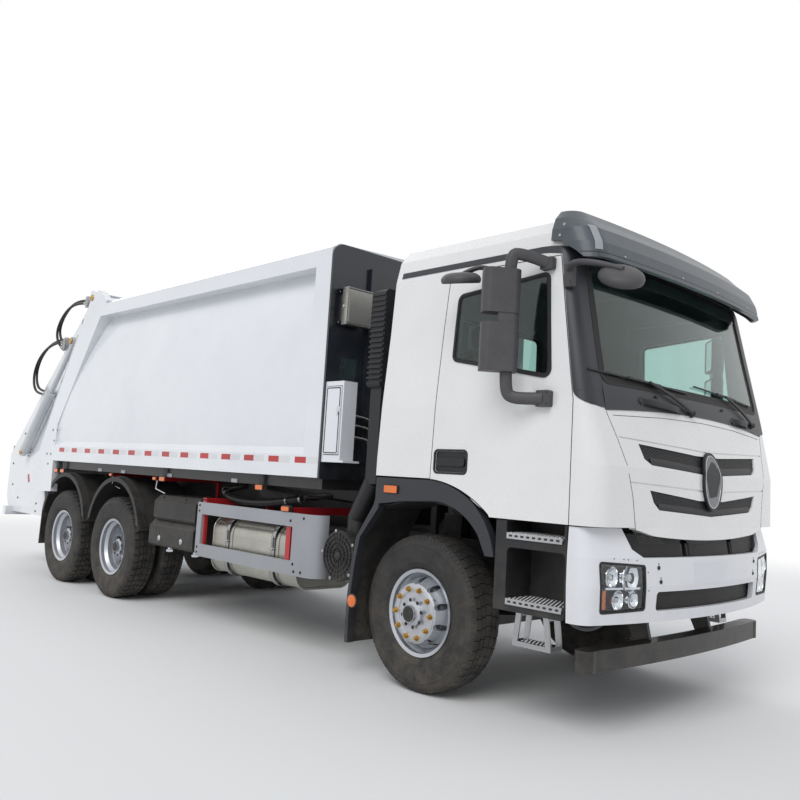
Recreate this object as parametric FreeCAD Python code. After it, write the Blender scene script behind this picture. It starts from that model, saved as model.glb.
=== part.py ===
import FreeCAD
import Part
import math
import os

# Rear-loading garbage truck on a three-axle chassis, in millimetres.
# +X is forward, +Y is the truck's left, +Z is up and Z = 0 is the ground.
# Shapes are drawn with the front axle at X = 0 and moved by front_axle_x when they are written.

# Overall lengths
front_reach = 1690.0
rear_reach = 8640.0
front_axle_x = (rear_reach - front_reach) / 2.0
half_width = 1250.0
fit_gap = 0.3
seam_gap = 6.0

# Wheels and axles
wheelbase = 4626.0
bogie_spacing = 1350.0
tyre_radius = 537.0
tyre_width = 285.0
rim_radius = 298.0
rim_half_width = 122.0
rim_wall = 10.0
disc_outset = 160.0
disc_thickness = 10.0
hand_hole_count = 10
hand_hole_radius = 23.0
front_track_half = 1005.0
rear_track_half = 1100.0
hub_radius = 84.0
drum_radius = 205.0
drum_wall = 20.0
spindle_radius = 42.0
gearbox_end_x = -1550.0
gearbox_flange_z = 730.0
kingpin_y = 850.0
axle_z = tyre_radius
middle_axle_x = -wheelbase
rear_axle_x = -wheelbase - bogie_spacing
twin_spacing = 2.0 * (disc_outset + disc_thickness)

# Chassis rails
rail_outer_y = 430.0
rail_flange = 80.0
rail_web = 12.0
rail_bottom_z = 750.0
rail_top_z = 1020.0
rail_front_x = 1300.0
rail_rear_x = -6480.0

# Cab
cab_wall = 60.0
cab_nose_radius = 9000.0
cab_floor_z = 1467.0
cab_skirt_z = 1245.0
panel_low_z = 1160.0
cab_floor_thickness = 50.0
cab_roof_z = 3195.0
tilt_pivot_x = 1440.0
tilt_pivot_z = 980.0
tilt_arm_y = 315.0
tilt_arm_width = 30.0
door_front_x = 1300.0
door_rear_x = 161.0
door_top_z = 2885.0
door_hinge_y = 1243.0
glass_thickness = 8.0
visor_rear_x = 1060.0
panel_thickness = 45.0

# Refuse body
body_front_x = -1084.0
body_bottom_z = 1420.0
body_floor_z = 1500.0
body_wall = 45.0
rail_band_top_z = 1600.0
top_rail_bottom_z = 3145.0
top_rail_top_z = 3288.0
roof_crown_z = 3375.0
front_frame_width = 200.0
post_front_x = -6392.0
bulkhead_face_x = -1064.0
cabinet_front_x = -840.0
cabinet_low_z = 1563.0
cabinet_high_z = 2183.0
cabinet_frame = 14.0

# Tailgate, its seam with the body and its hinge
hinge_x = -5720.0
hinge_z = 3420.0
seam_slope = 0.628
hinge_room_radius = 112.0
tailgate_half_width = 1100.0
tailgate_wall = 50.0
lift_pin_radius = 400.0
lift_offset = 80.0
lift_base_z = 1420.0
lift_cylinder_y = 1190.0
lift_barrel_radius = 36.0
lift_rod_radius = 22.0

# Packer: carriage, blade and their cylinders
packer_lean = 43.5
packer_stroke = 650.0
packer_cylinder_y = 1180.0
packer_barrel_radius = 66.0
packer_rod_radius = 32.0
ear_x = -6290.0
ear_z = 2920.0
blade_length = 580.0
blade_side_gap = 30.0
lifter_x = -8420.0
lifter_z = 1540.0
lifter_half = 990.0
trough_radius = 680.0
trough_wall = 50.0


def vec(x, y, z):
    return FreeCAD.Vector(x, y, z)


def block(x0, x1, y0, y1, z0, z1):
    return Part.makeBox(x1 - x0, y1 - y0, z1 - z0, vec(x0, y0, z0))


def rod(start, end, radius):
    along = vec(*end) - vec(*start)
    return Part.makeCylinder(radius, along.Length, vec(*start), along)


def bent_tube(points, radius, bend):
    """Round tube along a bent line whose corners have the given bend radius."""
    spots = [vec(*point) for point in points]
    edges = []
    here = spots[0]
    for before, corner, after in zip(spots[:-2], spots[1:-1], spots[2:]):
        back = (before - corner).normalize()
        ahead = (after - corner).normalize()
        half = back.getAngle(ahead) / 2.0
        start = corner + back * (bend / math.tan(half))
        end = corner + ahead * (bend / math.tan(half))
        middle = corner + (back + ahead).normalize() * (bend / math.sin(half) - bend)
        edges.append(Part.makeLine(here, start))
        edges.append(Part.Arc(start, middle, end).toShape())
        here = end
    edges.append(Part.makeLine(here, spots[-1]))
    mouth = Part.Wire(Part.makeCircle(radius, spots[0], spots[1] - spots[0]))
    return Part.Wire(edges).makePipeShell([mouth], True, True)


def loop(path, lift):
    """Closed wire through flat points; an arc step is the pair (point on the arc, end point)."""
    edges = []
    here = lift(*path[0])
    for step in path[1:] + [path[0]]:
        if isinstance(step[0], tuple):
            middle = lift(*step[0])
            there = lift(*step[1])
            edges.append(Part.Arc(here, middle, there).toShape())
        else:
            there = lift(*step)
            if there.distanceToPoint(here) > 0.001:
                edges.append(Part.makeLine(here, there))
        here = there
    return Part.Wire(edges)


def side_plate(path, y0, y1):
    """Outline in the X-Z plane, thick along Y."""
    wire = loop(path, lambda x, z: vec(x, y0, z))
    return Part.Face(wire).extrude(vec(0, y1 - y0, 0))


def front_plate(path, x0, x1):
    """Outline in the Y-Z plane, thick along X."""
    wire = loop(path, lambda y, z: vec(x0, y, z))
    return Part.Face(wire).extrude(vec(x1 - x0, 0, 0))


def plan_plate(path, z0, z1):
    """Outline in the X-Y plane, thick along Z."""
    wire = loop(path, lambda x, y: vec(x, y, z0))
    return Part.Face(wire).extrude(vec(0, 0, z1 - z0))


def rounded(corners, radius):
    """Polygon with its corners rounded; a corner's third value is its own radius."""
    path = []
    count = len(corners)
    for index, corner in enumerate(corners):
        size = corner[2] if len(corner) == 3 else radius
        here = vec(corner[0], corner[1], 0)
        if size == 0:
            path.append((here.x, here.y))
            continue
        before = corners[index - 1]
        after = corners[(index + 1) % count]
        back = (vec(before[0], before[1], 0) - here).normalize()
        ahead = (vec(after[0], after[1], 0) - here).normalize()
        half = back.getAngle(ahead) / 2.0
        start = here + back * (size / math.tan(half))
        end = here + ahead * (size / math.tan(half))
        inward = (back + ahead).normalize()
        middle = here + inward * (size / math.sin(half) - size)
        path.append((start.x, start.y))
        path.append(((middle.x, middle.y), (end.x, end.y)))
    return path


def rectangle(a0, a1, b0, b1, radius):
    return rounded([(a0, b0), (a1, b0), (a1, b1), (a0, b1)], radius)


def mirrored(shape):
    return shape.mirror(vec(0, 0, 0), vec(0, 1, 0))


def joined(shapes):
    whole = shapes[0].multiFuse(shapes[1:])
    return whole.removeSplitter()


def both_sides(shape):
    return [shape, mirrored(shape)]


def turned_about_y(path, x, z):
    """Ring turned about the Y line through (x, z), from an outline of (radius, y) points."""
    wire = loop(path, lambda radius, y: vec(x + radius, y, z))
    return Part.Face(wire).revolve(vec(x, 0, z), vec(0, 1, 0), 360)


def nose_outline(rear_x, width, nose_x, nose_radius, corner):
    """Plan outline with a bowed front whose corners are tangent to the bow and the sides."""
    centre_x = nose_x - nose_radius
    corner_y = width - corner
    corner_x = centre_x + math.sqrt((nose_radius - corner) ** 2 - corner_y ** 2)
    reach = nose_radius / (nose_radius - corner)
    touch_x = centre_x + (corner_x - centre_x) * reach
    touch_y = corner_y * reach
    lean = math.atan2(corner_y, corner_x - centre_x)
    turn = (lean + math.pi / 2.0) / 2.0
    middle_x = corner_x + corner * math.cos(turn)
    middle_y = corner_y + corner * math.sin(turn)
    return [
        (rear_x, -width),
        (corner_x, -width),
        ((middle_x, -middle_y), (touch_x, -touch_y)),
        ((nose_x, 0.0), (touch_x, touch_y)),
        ((middle_x, middle_y), (corner_x, width)),
        (rear_x, width),
    ]


def nose_loft(levels, inset, nose_radius):
    """Solid through plan outlines; a level is (z, width, rear x, nose x, corner)."""
    wires = []
    for z, width, rear_x, nose_x, corner in levels:
        path = nose_outline(rear_x + inset, width - inset, nose_x - inset, nose_radius - inset,
                            max(corner - inset, 12.0))
        wires.append(loop(path, lambda x, y, z=z: vec(x, y, z)))
    return Part.makeLoft(wires, True, True)


def seam_x(z):
    """X of the seam between body and tailgate at a height."""
    return hinge_x - (hinge_z - z) * seam_slope


def gate_x(z):
    """X of the tailgate's front face at a height."""
    return seam_x(z) - seam_gap * 1.2


def lift_ends():
    """Base pin and closed eye of the lift cylinders, which lie parallel to the seam behind it."""
    angle = math.pi + math.atan(1.0 / seam_slope) - math.asin(lift_offset / lift_pin_radius)
    eye = vec(hinge_x + lift_pin_radius * math.cos(angle), 0.0, hinge_z + lift_pin_radius * math.sin(angle))
    base = vec(seam_x(lift_base_z) - lift_offset * math.sqrt(1.0 + seam_slope ** 2), 0.0, lift_base_z)
    return base, eye, (eye - base).normalize()


# Wheels

def tyre(x, y):
    """Tyre with rounded shoulders around the plane at y."""
    half = tyre_width / 2.0
    bead = rim_half_width - rim_wall - 6.0
    inner = rim_radius - rim_wall - 4.0 + fit_gap
    belly = (tyre_radius + rim_radius) / 2.0
    profile = [
        (inner, bead), (rim_radius + 8.0, bead + 6.0), (rim_radius + 46.0, half - 7.0),
            (belly - 28.0, half),
        (belly + 22.0, half), (tyre_radius - 46.0, half - 8.0), (tyre_radius - 14.0, half - 24.0),
        (tyre_radius, half - 48.0),
    ]
    far = [(radius, y + offset) for radius, offset in reversed(profile)]
    return turned_about_y([(radius, y - offset) for radius, offset in profile] + far, x, axle_z)


def rim(x, y, side):
    """Steel rim whose disc stands out towards side (+1 or -1) of the plane at y."""
    outer = rim_radius
    seat = rim_radius - rim_wall - 4.0
    well = seat - 28.0
    edge = rim_half_width
    barrel = [
        (outer, y - edge), (outer, y - edge + rim_wall), (seat, y - edge + rim_wall + 4.0),
        (seat, y - 70.0), (well, y - 45.0), (well, y + 20.0), (seat, y + 45.0),
        (seat, y + edge - rim_wall - 4.0), (outer, y + edge - rim_wall), (outer, y + edge),
        (seat - rim_wall, y + edge - 8.0), (seat - rim_wall, y + 52.0), (well - rim_wall, y + 26.0),
        (well - rim_wall, y - 50.0), (seat - rim_wall, y - 78.0), (seat - rim_wall, y - edge + 8.0),
    ]
    flat = y + side * disc_outset
    face = y + side * (disc_outset + disc_thickness)
    disc = [
        (well - 4.0, y + side * 8.0), (well - 4.0, y + side * 24.0), (well - 24.0, y + side * 95.0),
        (well - 54.0, face - side * 8.0), (well - 70.0, face), (hub_radius - 6.0, face),
        (hub_radius - 6.0, flat), (well - 74.0, flat), (well - 66.0, flat - side * 10.0),
        (well - 36.0, y + side * 88.0), (well - 16.0, y + side * 8.0),
    ]
    ring = turned_about_y(barrel, x, axle_z)
    dish = turned_about_y(disc, x, axle_z)
    holes = []
    pitch_radius = well - 36.0
    for index in range(hand_hole_count):
        angle = 2.0 * math.pi * (index + 0.5) / hand_hole_count
        hole_x = x + pitch_radius * math.cos(angle)
        hole_z = axle_z + pitch_radius * math.sin(angle)
        holes.append(rod((hole_x, y, hole_z), (hole_x, face + side * 10.0, hole_z), hand_hole_radius))
    dish = dish.cut(Part.makeCompound(holes))
    return ring.fuse(dish)


def hub_and_drum(x, drum_y, disc_y, end_y, side):
    """Hub from the brake drum's open end out past the disc, bored for the spindle."""
    drum_depth = 190.0
    mouth = drum_y
    back = drum_y + side * drum_depth
    cap_radius = hub_radius - 26.0
    path = [
        (drum_radius, mouth), (drum_radius, back), (hub_radius, back + side * 12.0),
        (hub_radius, end_y - side * 34.0), (cap_radius, end_y - side * 24.0), (cap_radius, end_y),
        (0.0, end_y), (0.0, disc_y + side * 10.0),
        (spindle_radius + fit_gap, disc_y + side * 10.0), (spindle_radius + fit_gap,
            back - side * drum_wall),
        (drum_radius - drum_wall, back - side * drum_wall), (drum_radius - drum_wall, mouth),
    ]
    return turned_about_y(path, x, axle_z)


def front_wheel(side):
    y = side * front_track_half
    disc_y = y + side * disc_outset
    hub = hub_and_drum(0.0, y - side * 95.0, disc_y, y + side * 222.0, side)
    return tyre(0.0, y), joined([rim(0.0, y, side), hub])


def twin_wheel(x, side):
    outer_y = side * rear_track_half
    inner_y = side * (rear_track_half - twin_spacing)
    middle_y = (outer_y + inner_y) / 2.0
    tyres = Part.makeCompound([tyre(x, outer_y), tyre(x, inner_y)])
    hub = hub_and_drum(x, middle_y - side * 250.0, middle_y, outer_y + side * 85.0, side)
    return tyres, joined([rim(x, outer_y, -side), rim(x, inner_y, side), hub])


def steering_knuckle(side):
    """Kingpin boss, stub axle and brake plate, turning about the kingpin."""
    y = side * kingpin_y
    mouth = side * (front_track_half - 95.0)
    stub_end = side * (front_track_half + disc_outset)
    pin_half = 120.0
    boss = rod((0.0, y, axle_z - pin_half), (0.0, y, axle_z + pin_half), 46.0)
    boss = boss.cut(rod((0.0, y, axle_z - 62.0), (0.0, y, axle_z + 62.0), 60.0))
    web = block(-46.0, 46.0, min(y, mouth), max(y, mouth), axle_z - pin_half, axle_z + pin_half)
    eye_room = rod((0.0, y, axle_z - 62.0), (0.0, y, axle_z + 62.0), 66.0)
    plate = rod((0.0, mouth - side * 10.0, axle_z), (0.0, mouth, axle_z), drum_radius)
    stub = rod((0.0, mouth - side * 10.0, axle_z), (0.0, stub_end, axle_z), spindle_radius)
    pin = rod((0.0, y, axle_z - pin_half), (0.0, y, axle_z + pin_half), 24.0)
    mouth_gap = rod((0.0, mouth - side * 4.0, axle_z), (0.0, mouth + side * 1.0, axle_z), drum_radius + 5.0)
    plate = plate.cut(mouth_gap)
    body = joined([boss, web, plate]).cut(eye_room)
    return joined([body, stub, pin])


def front_axle():
    """Dropped beam between the kingpins on two leaf springs with their hangers."""
    eye_half = 58.0
    path = rounded([
        (-kingpin_y - 40.0, axle_z + eye_half, 0), (-kingpin_y - 40.0, axle_z - eye_half, 0),
        (-kingpin_y + 60.0, axle_z - eye_half, 20), (-560.0, 395.0, 60), (560.0, 395.0, 60),
        (kingpin_y - 60.0, axle_z - eye_half, 20), (kingpin_y + 40.0, axle_z - eye_half, 0),
        (kingpin_y + 40.0, axle_z + eye_half, 0), (kingpin_y - 110.0, axle_z + eye_half, 20),
        (520.0, 490.0, 60), (-520.0, 490.0, 60), (-kingpin_y + 110.0, axle_z + eye_half, 20),
    ], 20)
    beam = front_plate(path, -45.0, 45.0)
    for side in (-1, 1):
        y = side * kingpin_y
        end = block(-60.0, 60.0, min(y, y * 1.08), max(y, y * 1.08), axle_z - 70.0, axle_z + 70.0)
        beam = beam.cut(end.cut(rod((0.0, y, axle_z - 80.0), (0.0, y, axle_z + 80.0), 44.0)))
        beam = beam.cut(rod((0.0, y, axle_z - 70.0), (0.0, y, axle_z + 70.0), 24.0 + fit_gap))
    parts = [beam]
    for side in (-1, 1):
        outer = side * rail_outer_y
        inner = side * (rail_outer_y - rail_flange)
        low_y = min(outer, inner)
        high_y = max(outer, inner)
        spring = side_plate([
            (-780.0, 700.0), ((0.0, 488.0), (780.0, 700.0)), (780.0, 724.0),
            ((0.0, 560.0), (-780.0, 724.0)),
        ], low_y, high_y)
        seat = block(-90.0, 90.0, low_y, high_y, 470.0, 600.0)
        front_hanger = side_plate(rounded([(720.0, 670.0), (840.0, 670.0), (860.0, rail_bottom_z, 0),
                                           (700.0, rail_bottom_z, 0)], 25), low_y, high_y)
        rear_hanger = side_plate(rounded([(-840.0, 670.0), (-720.0, 670.0), (-700.0, rail_bottom_z, 0),
                                          (-860.0, rail_bottom_z, 0)], 25), low_y, high_y)
        parts += [spring, seat, front_hanger, rear_hanger]
    return joined(parts)


def drive_axles():
    """Two driven axles, the bogie springs between them and the propeller shafts."""
    spindle_end = rear_track_half - twin_spacing / 2.0
    mouth = rear_track_half - twin_spacing / 2.0 - 250.0
    centre_x = (middle_axle_x + rear_axle_x) / 2.0
    parts = []
    for x in (middle_axle_x, rear_axle_x):
        tube = [
            (75.0, -mouth), (75.0, mouth), (spindle_radius, mouth + 10.0), (spindle_radius, spindle_end),
            (0.0, spindle_end), (0.0, -spindle_end), (spindle_radius, -spindle_end),
            (spindle_radius, -mouth - 10.0),
        ]
        parts.append(turned_about_y(tube, x, axle_z))
        bowl = Part.makeSphere(205.0, vec(x, 60.0, axle_z))
        slab = block(x - 160.0, x + 160.0, -150.0, 270.0, axle_z - 220.0, axle_z + 160.0)
        parts.append(bowl.common(slab))
        for side in (-1, 1):
            parts.append(rod((x, side * (mouth - 22.0), axle_z), (x, side * (mouth - 6.0), axle_z),
                drum_radius))
    for side in (-1, 1):
        low_y = min(side * rail_outer_y, side * (rail_outer_y - rail_flange))
        spring = side_plate([
            (rear_axle_x - 40.0, 600.0), ((centre_x, 690.0), (middle_axle_x + 40.0, 600.0)),
            (middle_axle_x + 40.0, 640.0), ((centre_x, 760.0), (rear_axle_x - 40.0, 640.0)),
        ], low_y, low_y + rail_flange)
        trunnion = side_plate(rounded([(centre_x - 230.0, rail_bottom_z, 0),
            (centre_x + 230.0, rail_bottom_z, 0), (centre_x + 90.0, 520.0), (centre_x - 90.0, 520.0)], 50),
            low_y, low_y + rail_flange)
        parts += [spring.cut(block(-7000, 0, -500, 500, rail_bottom_z, 900)), trunnion]
    parts.append(rod((centre_x, -rail_outer_y, 560.0), (centre_x, rail_outer_y, 560.0), 45.0))
    parts.append(rod((gearbox_end_x - 8.0, 0.0, gearbox_flange_z), (middle_axle_x + 150.0, 60.0, 590.0),
        55.0))
    parts.append(rod((middle_axle_x - 150.0, 60.0, 600.0), (rear_axle_x + 150.0, 60.0, 570.0), 45.0))
    return joined(parts)


# Chassis

def chassis_frame():
    """Two channel rails, crossmembers, the cab's rear rest and its front tilt brackets."""
    parts = []
    for side in (-1, 1):
        outer = side * rail_outer_y
        inner = side * (rail_outer_y - rail_flange)
        web_in = side * (rail_outer_y - rail_web)
        web = block(rail_rear_x, rail_front_x, min(outer, web_in), max(outer, web_in), rail_bottom_z,
            rail_top_z)
        top = block(rail_rear_x, rail_front_x, min(outer, inner), max(outer, inner),
                    rail_top_z - rail_web, rail_top_z)
        bottom = block(rail_rear_x, rail_front_x, min(outer, inner), max(outer, inner),
                       rail_bottom_z, rail_bottom_z + rail_web)
        bracket = side_plate(rounded([(rail_front_x - 160.0, rail_bottom_z + 20.0),
            (rail_front_x + 40.0, 800.0), (tilt_pivot_x + 40.0, tilt_pivot_z - 50.0),
            (tilt_pivot_x + 40.0, tilt_pivot_z + 40.0), (tilt_pivot_x - 60.0, tilt_pivot_z + 40.0),
            (rail_front_x - 160.0, rail_top_z - 20.0)], 20), min(outer, web_in), max(outer, web_in))
        pin_in = side * (rail_outer_y - rail_web - 80.0)
        pin = rod((tilt_pivot_x, web_in, tilt_pivot_z), (tilt_pivot_x, pin_in, tilt_pivot_z), 22.0)
        post = block(-370.0, -270.0, min(outer, inner), max(outer, inner), rail_top_z, 1400.0)
        parts += [web, top, bottom, bracket, pin, post]
    parts.append(block(-370.0, -270.0, -560.0, 560.0, 1380.0, 1440.0))
    for side in (-1, 1):
        parts.append(rod((-320.0, side * 480.0, 1440.0), (-320.0, side * 480.0, cab_floor_z - fit_gap),
            45.0))
    inside = rail_outer_y - rail_web
    for x in (1180.0, -1650.0, -2500.0, -3300.0, -3950.0, -5300.0, -6380.0):
        channel = block(x - 45.0, x + 45.0, -inside, inside, 800.0, 980.0)
        recess = block(x - 33.0, x + 46.0, -inside + 1.0, inside - 1.0, 812.0, 968.0)
        parts.append(channel.cut(recess))
    return joined(parts)


def engine_block():
    """Plain engine with its sump and a tapering gearbox behind it."""
    engine = block(-560.0, 660.0, -320.0, 320.0, 700.0, 1190.0)
    covers = block(-480.0, 120.0, -180.0, 180.0, 1190.0, 1340.0)
    sump = block(-420.0, 420.0, -220.0, 220.0, 600.0, 700.0)
    bell = rod((-560.0, 0.0, 900.0), (-700.0, 0.0, 900.0), 290.0).common(block(-700.0, -560.0, -320.0,
        320.0, 640.0, 1170.0))
    gearbox = block(-1400.0, -700.0, -190.0, 190.0, 660.0, 1040.0)
    flange = rod((-1400.0, 0.0, gearbox_flange_z), (gearbox_end_x, 0.0, gearbox_flange_z), 60.0)
    radiator = block(780.0, 900.0, -340.0, 340.0, 700.0, 1200.0)
    hoses = rod((660.0, 150.0, 1120.0), (780.0, 150.0, 1120.0), 35.0)
    mounts = []
    for side in (-1, 1):
        inside = side * (rail_outer_y - rail_web)
        for x, y in ((150.0, side * 310.0), (-1150.0, side * 180.0)):
            mounts.append(block(x, x + 120.0, min(y, inside), max(y, inside), 800.0, 900.0))
    return joined([engine, covers, sump, bell, gearbox, flange, radiator, hoses] + mounts)


tow_eye_x = 1255.0
tow_eye_z = 640.0
tow_eye_radius = 20.0


def underrun_bar():
    """Low bar below the bumper on two drop brackets from the rails."""
    plan = [
        (1300.0, -1136.0), ((1383.0, -1140.0), (1400.0, -1068.0)), ((1455.0, 0.0), (1400.0, 1068.0)),
        ((1383.0, 1140.0), (1300.0, 1136.0)), (1290.0, 1068.0), ((1345.0, 0.0), (1290.0, -1068.0)),
    ]
    bar = plan_plate(plan, 405.0, 530.0)
    parts = [bar]
    for side in (-1, 1):
        y0 = side * 395.0
        y1 = side * 425.0
        drop = side_plate([(1150.0, rail_bottom_z), (1320.0, rail_bottom_z), (1390.0, 470.0),
            (1300.0, 430.0)], min(y0, y1), max(y0, y1))
        tow_bore = rod((tow_eye_x, y0, tow_eye_z), (tow_eye_x, y1, tow_eye_z), tow_eye_radius)
        parts.append(drop.cut(tow_bore))
    return joined(parts)


def bumper_levels():
    return [(687.0, half_width - 12.0, 1300.0, 1604.0, 90.0), (900.0, half_width - 2.0, 1300.0, 1620.0,
        110.0), (bumper_ledge_z, half_width - 2.0, 1300.0, 1616.0, 120.0),
        (cab_skirt_z - 8.0, half_width - 12.0, 1300.0, 1560.0, 60.0)]


bumper_nose_radius = 4200.0
bumper_ledge_z = 1068.0
bumper_wall = 36.0
plate_hole_y = 125.0
plate_hole_z = 940.0
plate_hole_radius = 4.0
lamp_outline = [(777.0, 762.0), (1128.0, 752.0), (1150.0, 1046.0), (790.0, 1024.0)]


def bumper_room(inset):
    """Space behind the bumper's skin, open above, below and to the rear."""
    levels = [(z + (z - 900.0) * 0.2, w, x - 120.0, n, c) for z, w, x, n, c in bumper_levels()]
    return nose_loft(levels, inset, bumper_nose_radius)


def front_bumper():
    """Bowed bumper with end towers, lamp pockets, a low slot and plate holes."""
    outer = nose_loft(bumper_levels(), 0.0, bumper_nose_radius)
    shell = outer.cut(bumper_room(bumper_wall))
    step = front_plate([(-935.0, 1260.0), (-885.0, bumper_ledge_z + 49.0), (-800.0, bumper_ledge_z),
        (800.0, bumper_ledge_z), (885.0, bumper_ledge_z + 49.0), (935.0, 1260.0)], 1280.0, 1700.0)
    slot = front_plate(rectangle(-680.0, 680.0, 752.0, 866.0, 25.0), 1280.0, 1700.0)
    shell = shell.cut(step).cut(slot)
    for pocket in both_sides(front_plate(rounded(lamp_outline, 18.0), 1340.0, 1700.0)):
        shell = shell.cut(pocket)
    for y in (-plate_hole_y, plate_hole_y):
        for z in (plate_hole_z - 40.0, plate_hole_z + 40.0):
            shell = shell.cut(rod((1500.0, y, z), (1700.0, y, z), plate_hole_radius))
    return shell


def headlamps():
    """Clear lamp blocks that follow the bumper's bow inside their pockets."""
    envelope = nose_loft(bumper_levels(), 5.0, bumper_nose_radius)
    inner = bumper_room(45.0)
    shrunk = [(784.0, 762.1), (1122.0, 752.5), (1143.0, 1039.0), (796.0, 1018.0)]
    frame = front_plate(rounded(shrunk, 14.0), 1300.0, 1700.0)
    lamp = envelope.common(frame).cut(inner)
    return Part.makeCompound(both_sides(lamp))


def bumper_grille():
    """Dark mesh carrier behind the bumper's slot and above its ledge."""
    levels = [(740.0, 905.0, 1300.0, 1560.0, 60.0), (1043.0, 905.0, 1300.0, 1562.0, 60.0),
              (1145.0, 900.0, 1300.0, 1545.0, 60.0)]
    sheet = nose_loft(levels, 0.0, bumper_nose_radius)
    room = nose_loft([(z, w + 30.0, x, n, c) for z, w, x, n, c in levels], 18.0, bumper_nose_radius)
    room = room.fuse(block(1200.0, 1400.0, -910.0, 910.0, 700.0, 1200.0))
    sheet = sheet.cut(room)
    stays = []
    for side in (-1, 1):
        lamp_y = side * 750.0
        edge_y = side * 950.0
        sheet = sheet.cut(block(1200.0, 1700.0, min(lamp_y, edge_y), max(lamp_y, edge_y), 700.0, 1058.0))
        arm_y = side * tilt_arm_y
        arm_room = tilt_arm_width / 2.0 + 8.0
        sheet = sheet.cut(block(1400.0, 1600.0, arm_y - arm_room, arm_y + arm_room, 1040.0, 1160.0))
        y0 = side * rail_outer_y
        y1 = side * (rail_outer_y + 30.0)
        stay = block(1290.0, 1650.0, min(y0, y1), max(y0, y1), 880.0, 960.0)
        stays.append(stay.common(bumper_room(bumper_wall + fit_gap)))
    return joined([sheet] + stays)


def cab_steps():
    """Step wells under the doors, open to the side, with a floor for each tread."""
    shell = side_plate(rounded([(700.0, 690.0), (1288.0, 690.0), (1288.0, 1236.0, 0), (700.0, 1236.0, 0)],
        40), -half_width + 14.0, -900.0)
    upper = block(836.0, 1270.0, -half_width, -985.0, 1145.0, 1240.0)
    lower = side_plate(rounded([(846.0, 748.0, 0), (1280.0, 748.0, 0), (1280.0, 1075.0), (846.0, 1075.0)],
        30.0), -half_width, -985.0)
    rear_cut = block(660.0, 752.0, -half_width, -1150.0, 680.0, 1240.0)
    shell = shell.cut(upper).cut(lower).cut(rear_cut)
    stay = block(760.0, 1000.0, -900.0, -rail_outer_y, 800.0, 860.0)
    well = joined([shell, stay])
    return Part.makeCompound(both_sides(well))


def step_treads():
    """Aluminium treads in the wells and a folding step hung below them."""
    parts = []
    for side in (-1, 1):
        outer = side * (half_width - 8.0)
        inner = side * 990.0
        y0 = min(outer, inner)
        y1 = max(outer, inner)
        parts.append(block(842.0, 1266.0, y0, y1, 1145.0 + fit_gap, 1163.0))
        parts.append(block(852.0, 1276.0, y0, y1, 748.0 + fit_gap, 766.0))
        hang_y = side * 1100.0
        frame = side_plate([(880.0, 690.0 - fit_gap), (1120.0, 690.0 - fit_gap), (1146.0, 500.0),
            (1146.0, 478.0), (856.0, 478.0), (856.0, 500.0)], min(hang_y - 60.0, hang_y + 60.0),
            hang_y + 60.0)
        window = side_plate([(920.0, 700.0), (1080.0, 700.0), (1106.0, 508.0), (896.0, 508.0)],
            hang_y - 70.0, hang_y + 70.0)
        middle = block(800.0, 1200.0, hang_y - 48.0, hang_y + 48.0, 510.0, 660.0)
        parts.append(frame.cut(window).cut(middle))
    return Part.makeCompound(parts)


# Wheel arches and chassis equipment

arch_trim_y = half_width - 5.0
front_guard = [(-612.0, 240.0), (-614.0, 570.0), (-566.0, 1000.0), (-430.0, 1228.0), (-112.0, 1297.0),
               (144.0, 1305.0), (406.0, 1270.0), (600.0, 1125.0), (672.0, 1000.0)]


def arch_trims():
    """Dark fascia over the front wheels and down the edge of each guard."""
    trim = side_plate([
        (-388.0, 1262.0), (-112.0, 1297.0), (144.0, 1313.0), ((420.0, 1268.0), (608.0, 1125.0)),
            (674.0, 1000.0),
        (745.0, 1000.0), ((640.0, 1235.0), (533.0, 1335.0)), ((360.0, 1418.0), (143.0, 1455.0)),
            (-388.0, 1455.0),
    ], -arch_trim_y, -arch_trim_y + 60.0)
    leg = side_plate([
        (-388.0, 1300.0), (-404.0, 1252.0), (-572.0, 1010.0), ((-628.0, 640.0), (-632.0, 240.0)),
            (-600.0, 240.0),
        ((-594.0, 640.0), (-532.0, 1010.0)), (-350.0, 1235.0), (-350.0, 1300.0),
    ], -arch_trim_y, -arch_trim_y + 60.0)
    return Part.makeCompound(both_sides(joined([trim, leg])))


def guard_sheet(path, thickness, y0, y1):
    """Bent sheet that follows an open path seen from the side, thickened upwards."""
    parts = []
    for start, end in zip(path[:-1], path[1:]):
        along = vec(end[0] - start[0], end[1] - start[1], 0).normalize()
        up = vec(-along.y, along.x, 0) * thickness
        corners = [start, end, (end[0] + up.x, end[1] + up.y), (start[0] + up.x, start[1] + up.y)]
        parts.append(side_plate(corners, y0, y1))
        parts.append(rod((end[0] + up.x / 2.0, y0, end[1] + up.y / 2.0),
            (end[0] + up.x / 2.0, y1, end[1] + up.y / 2.0), thickness / 2.0))
    return joined(parts)


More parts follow.
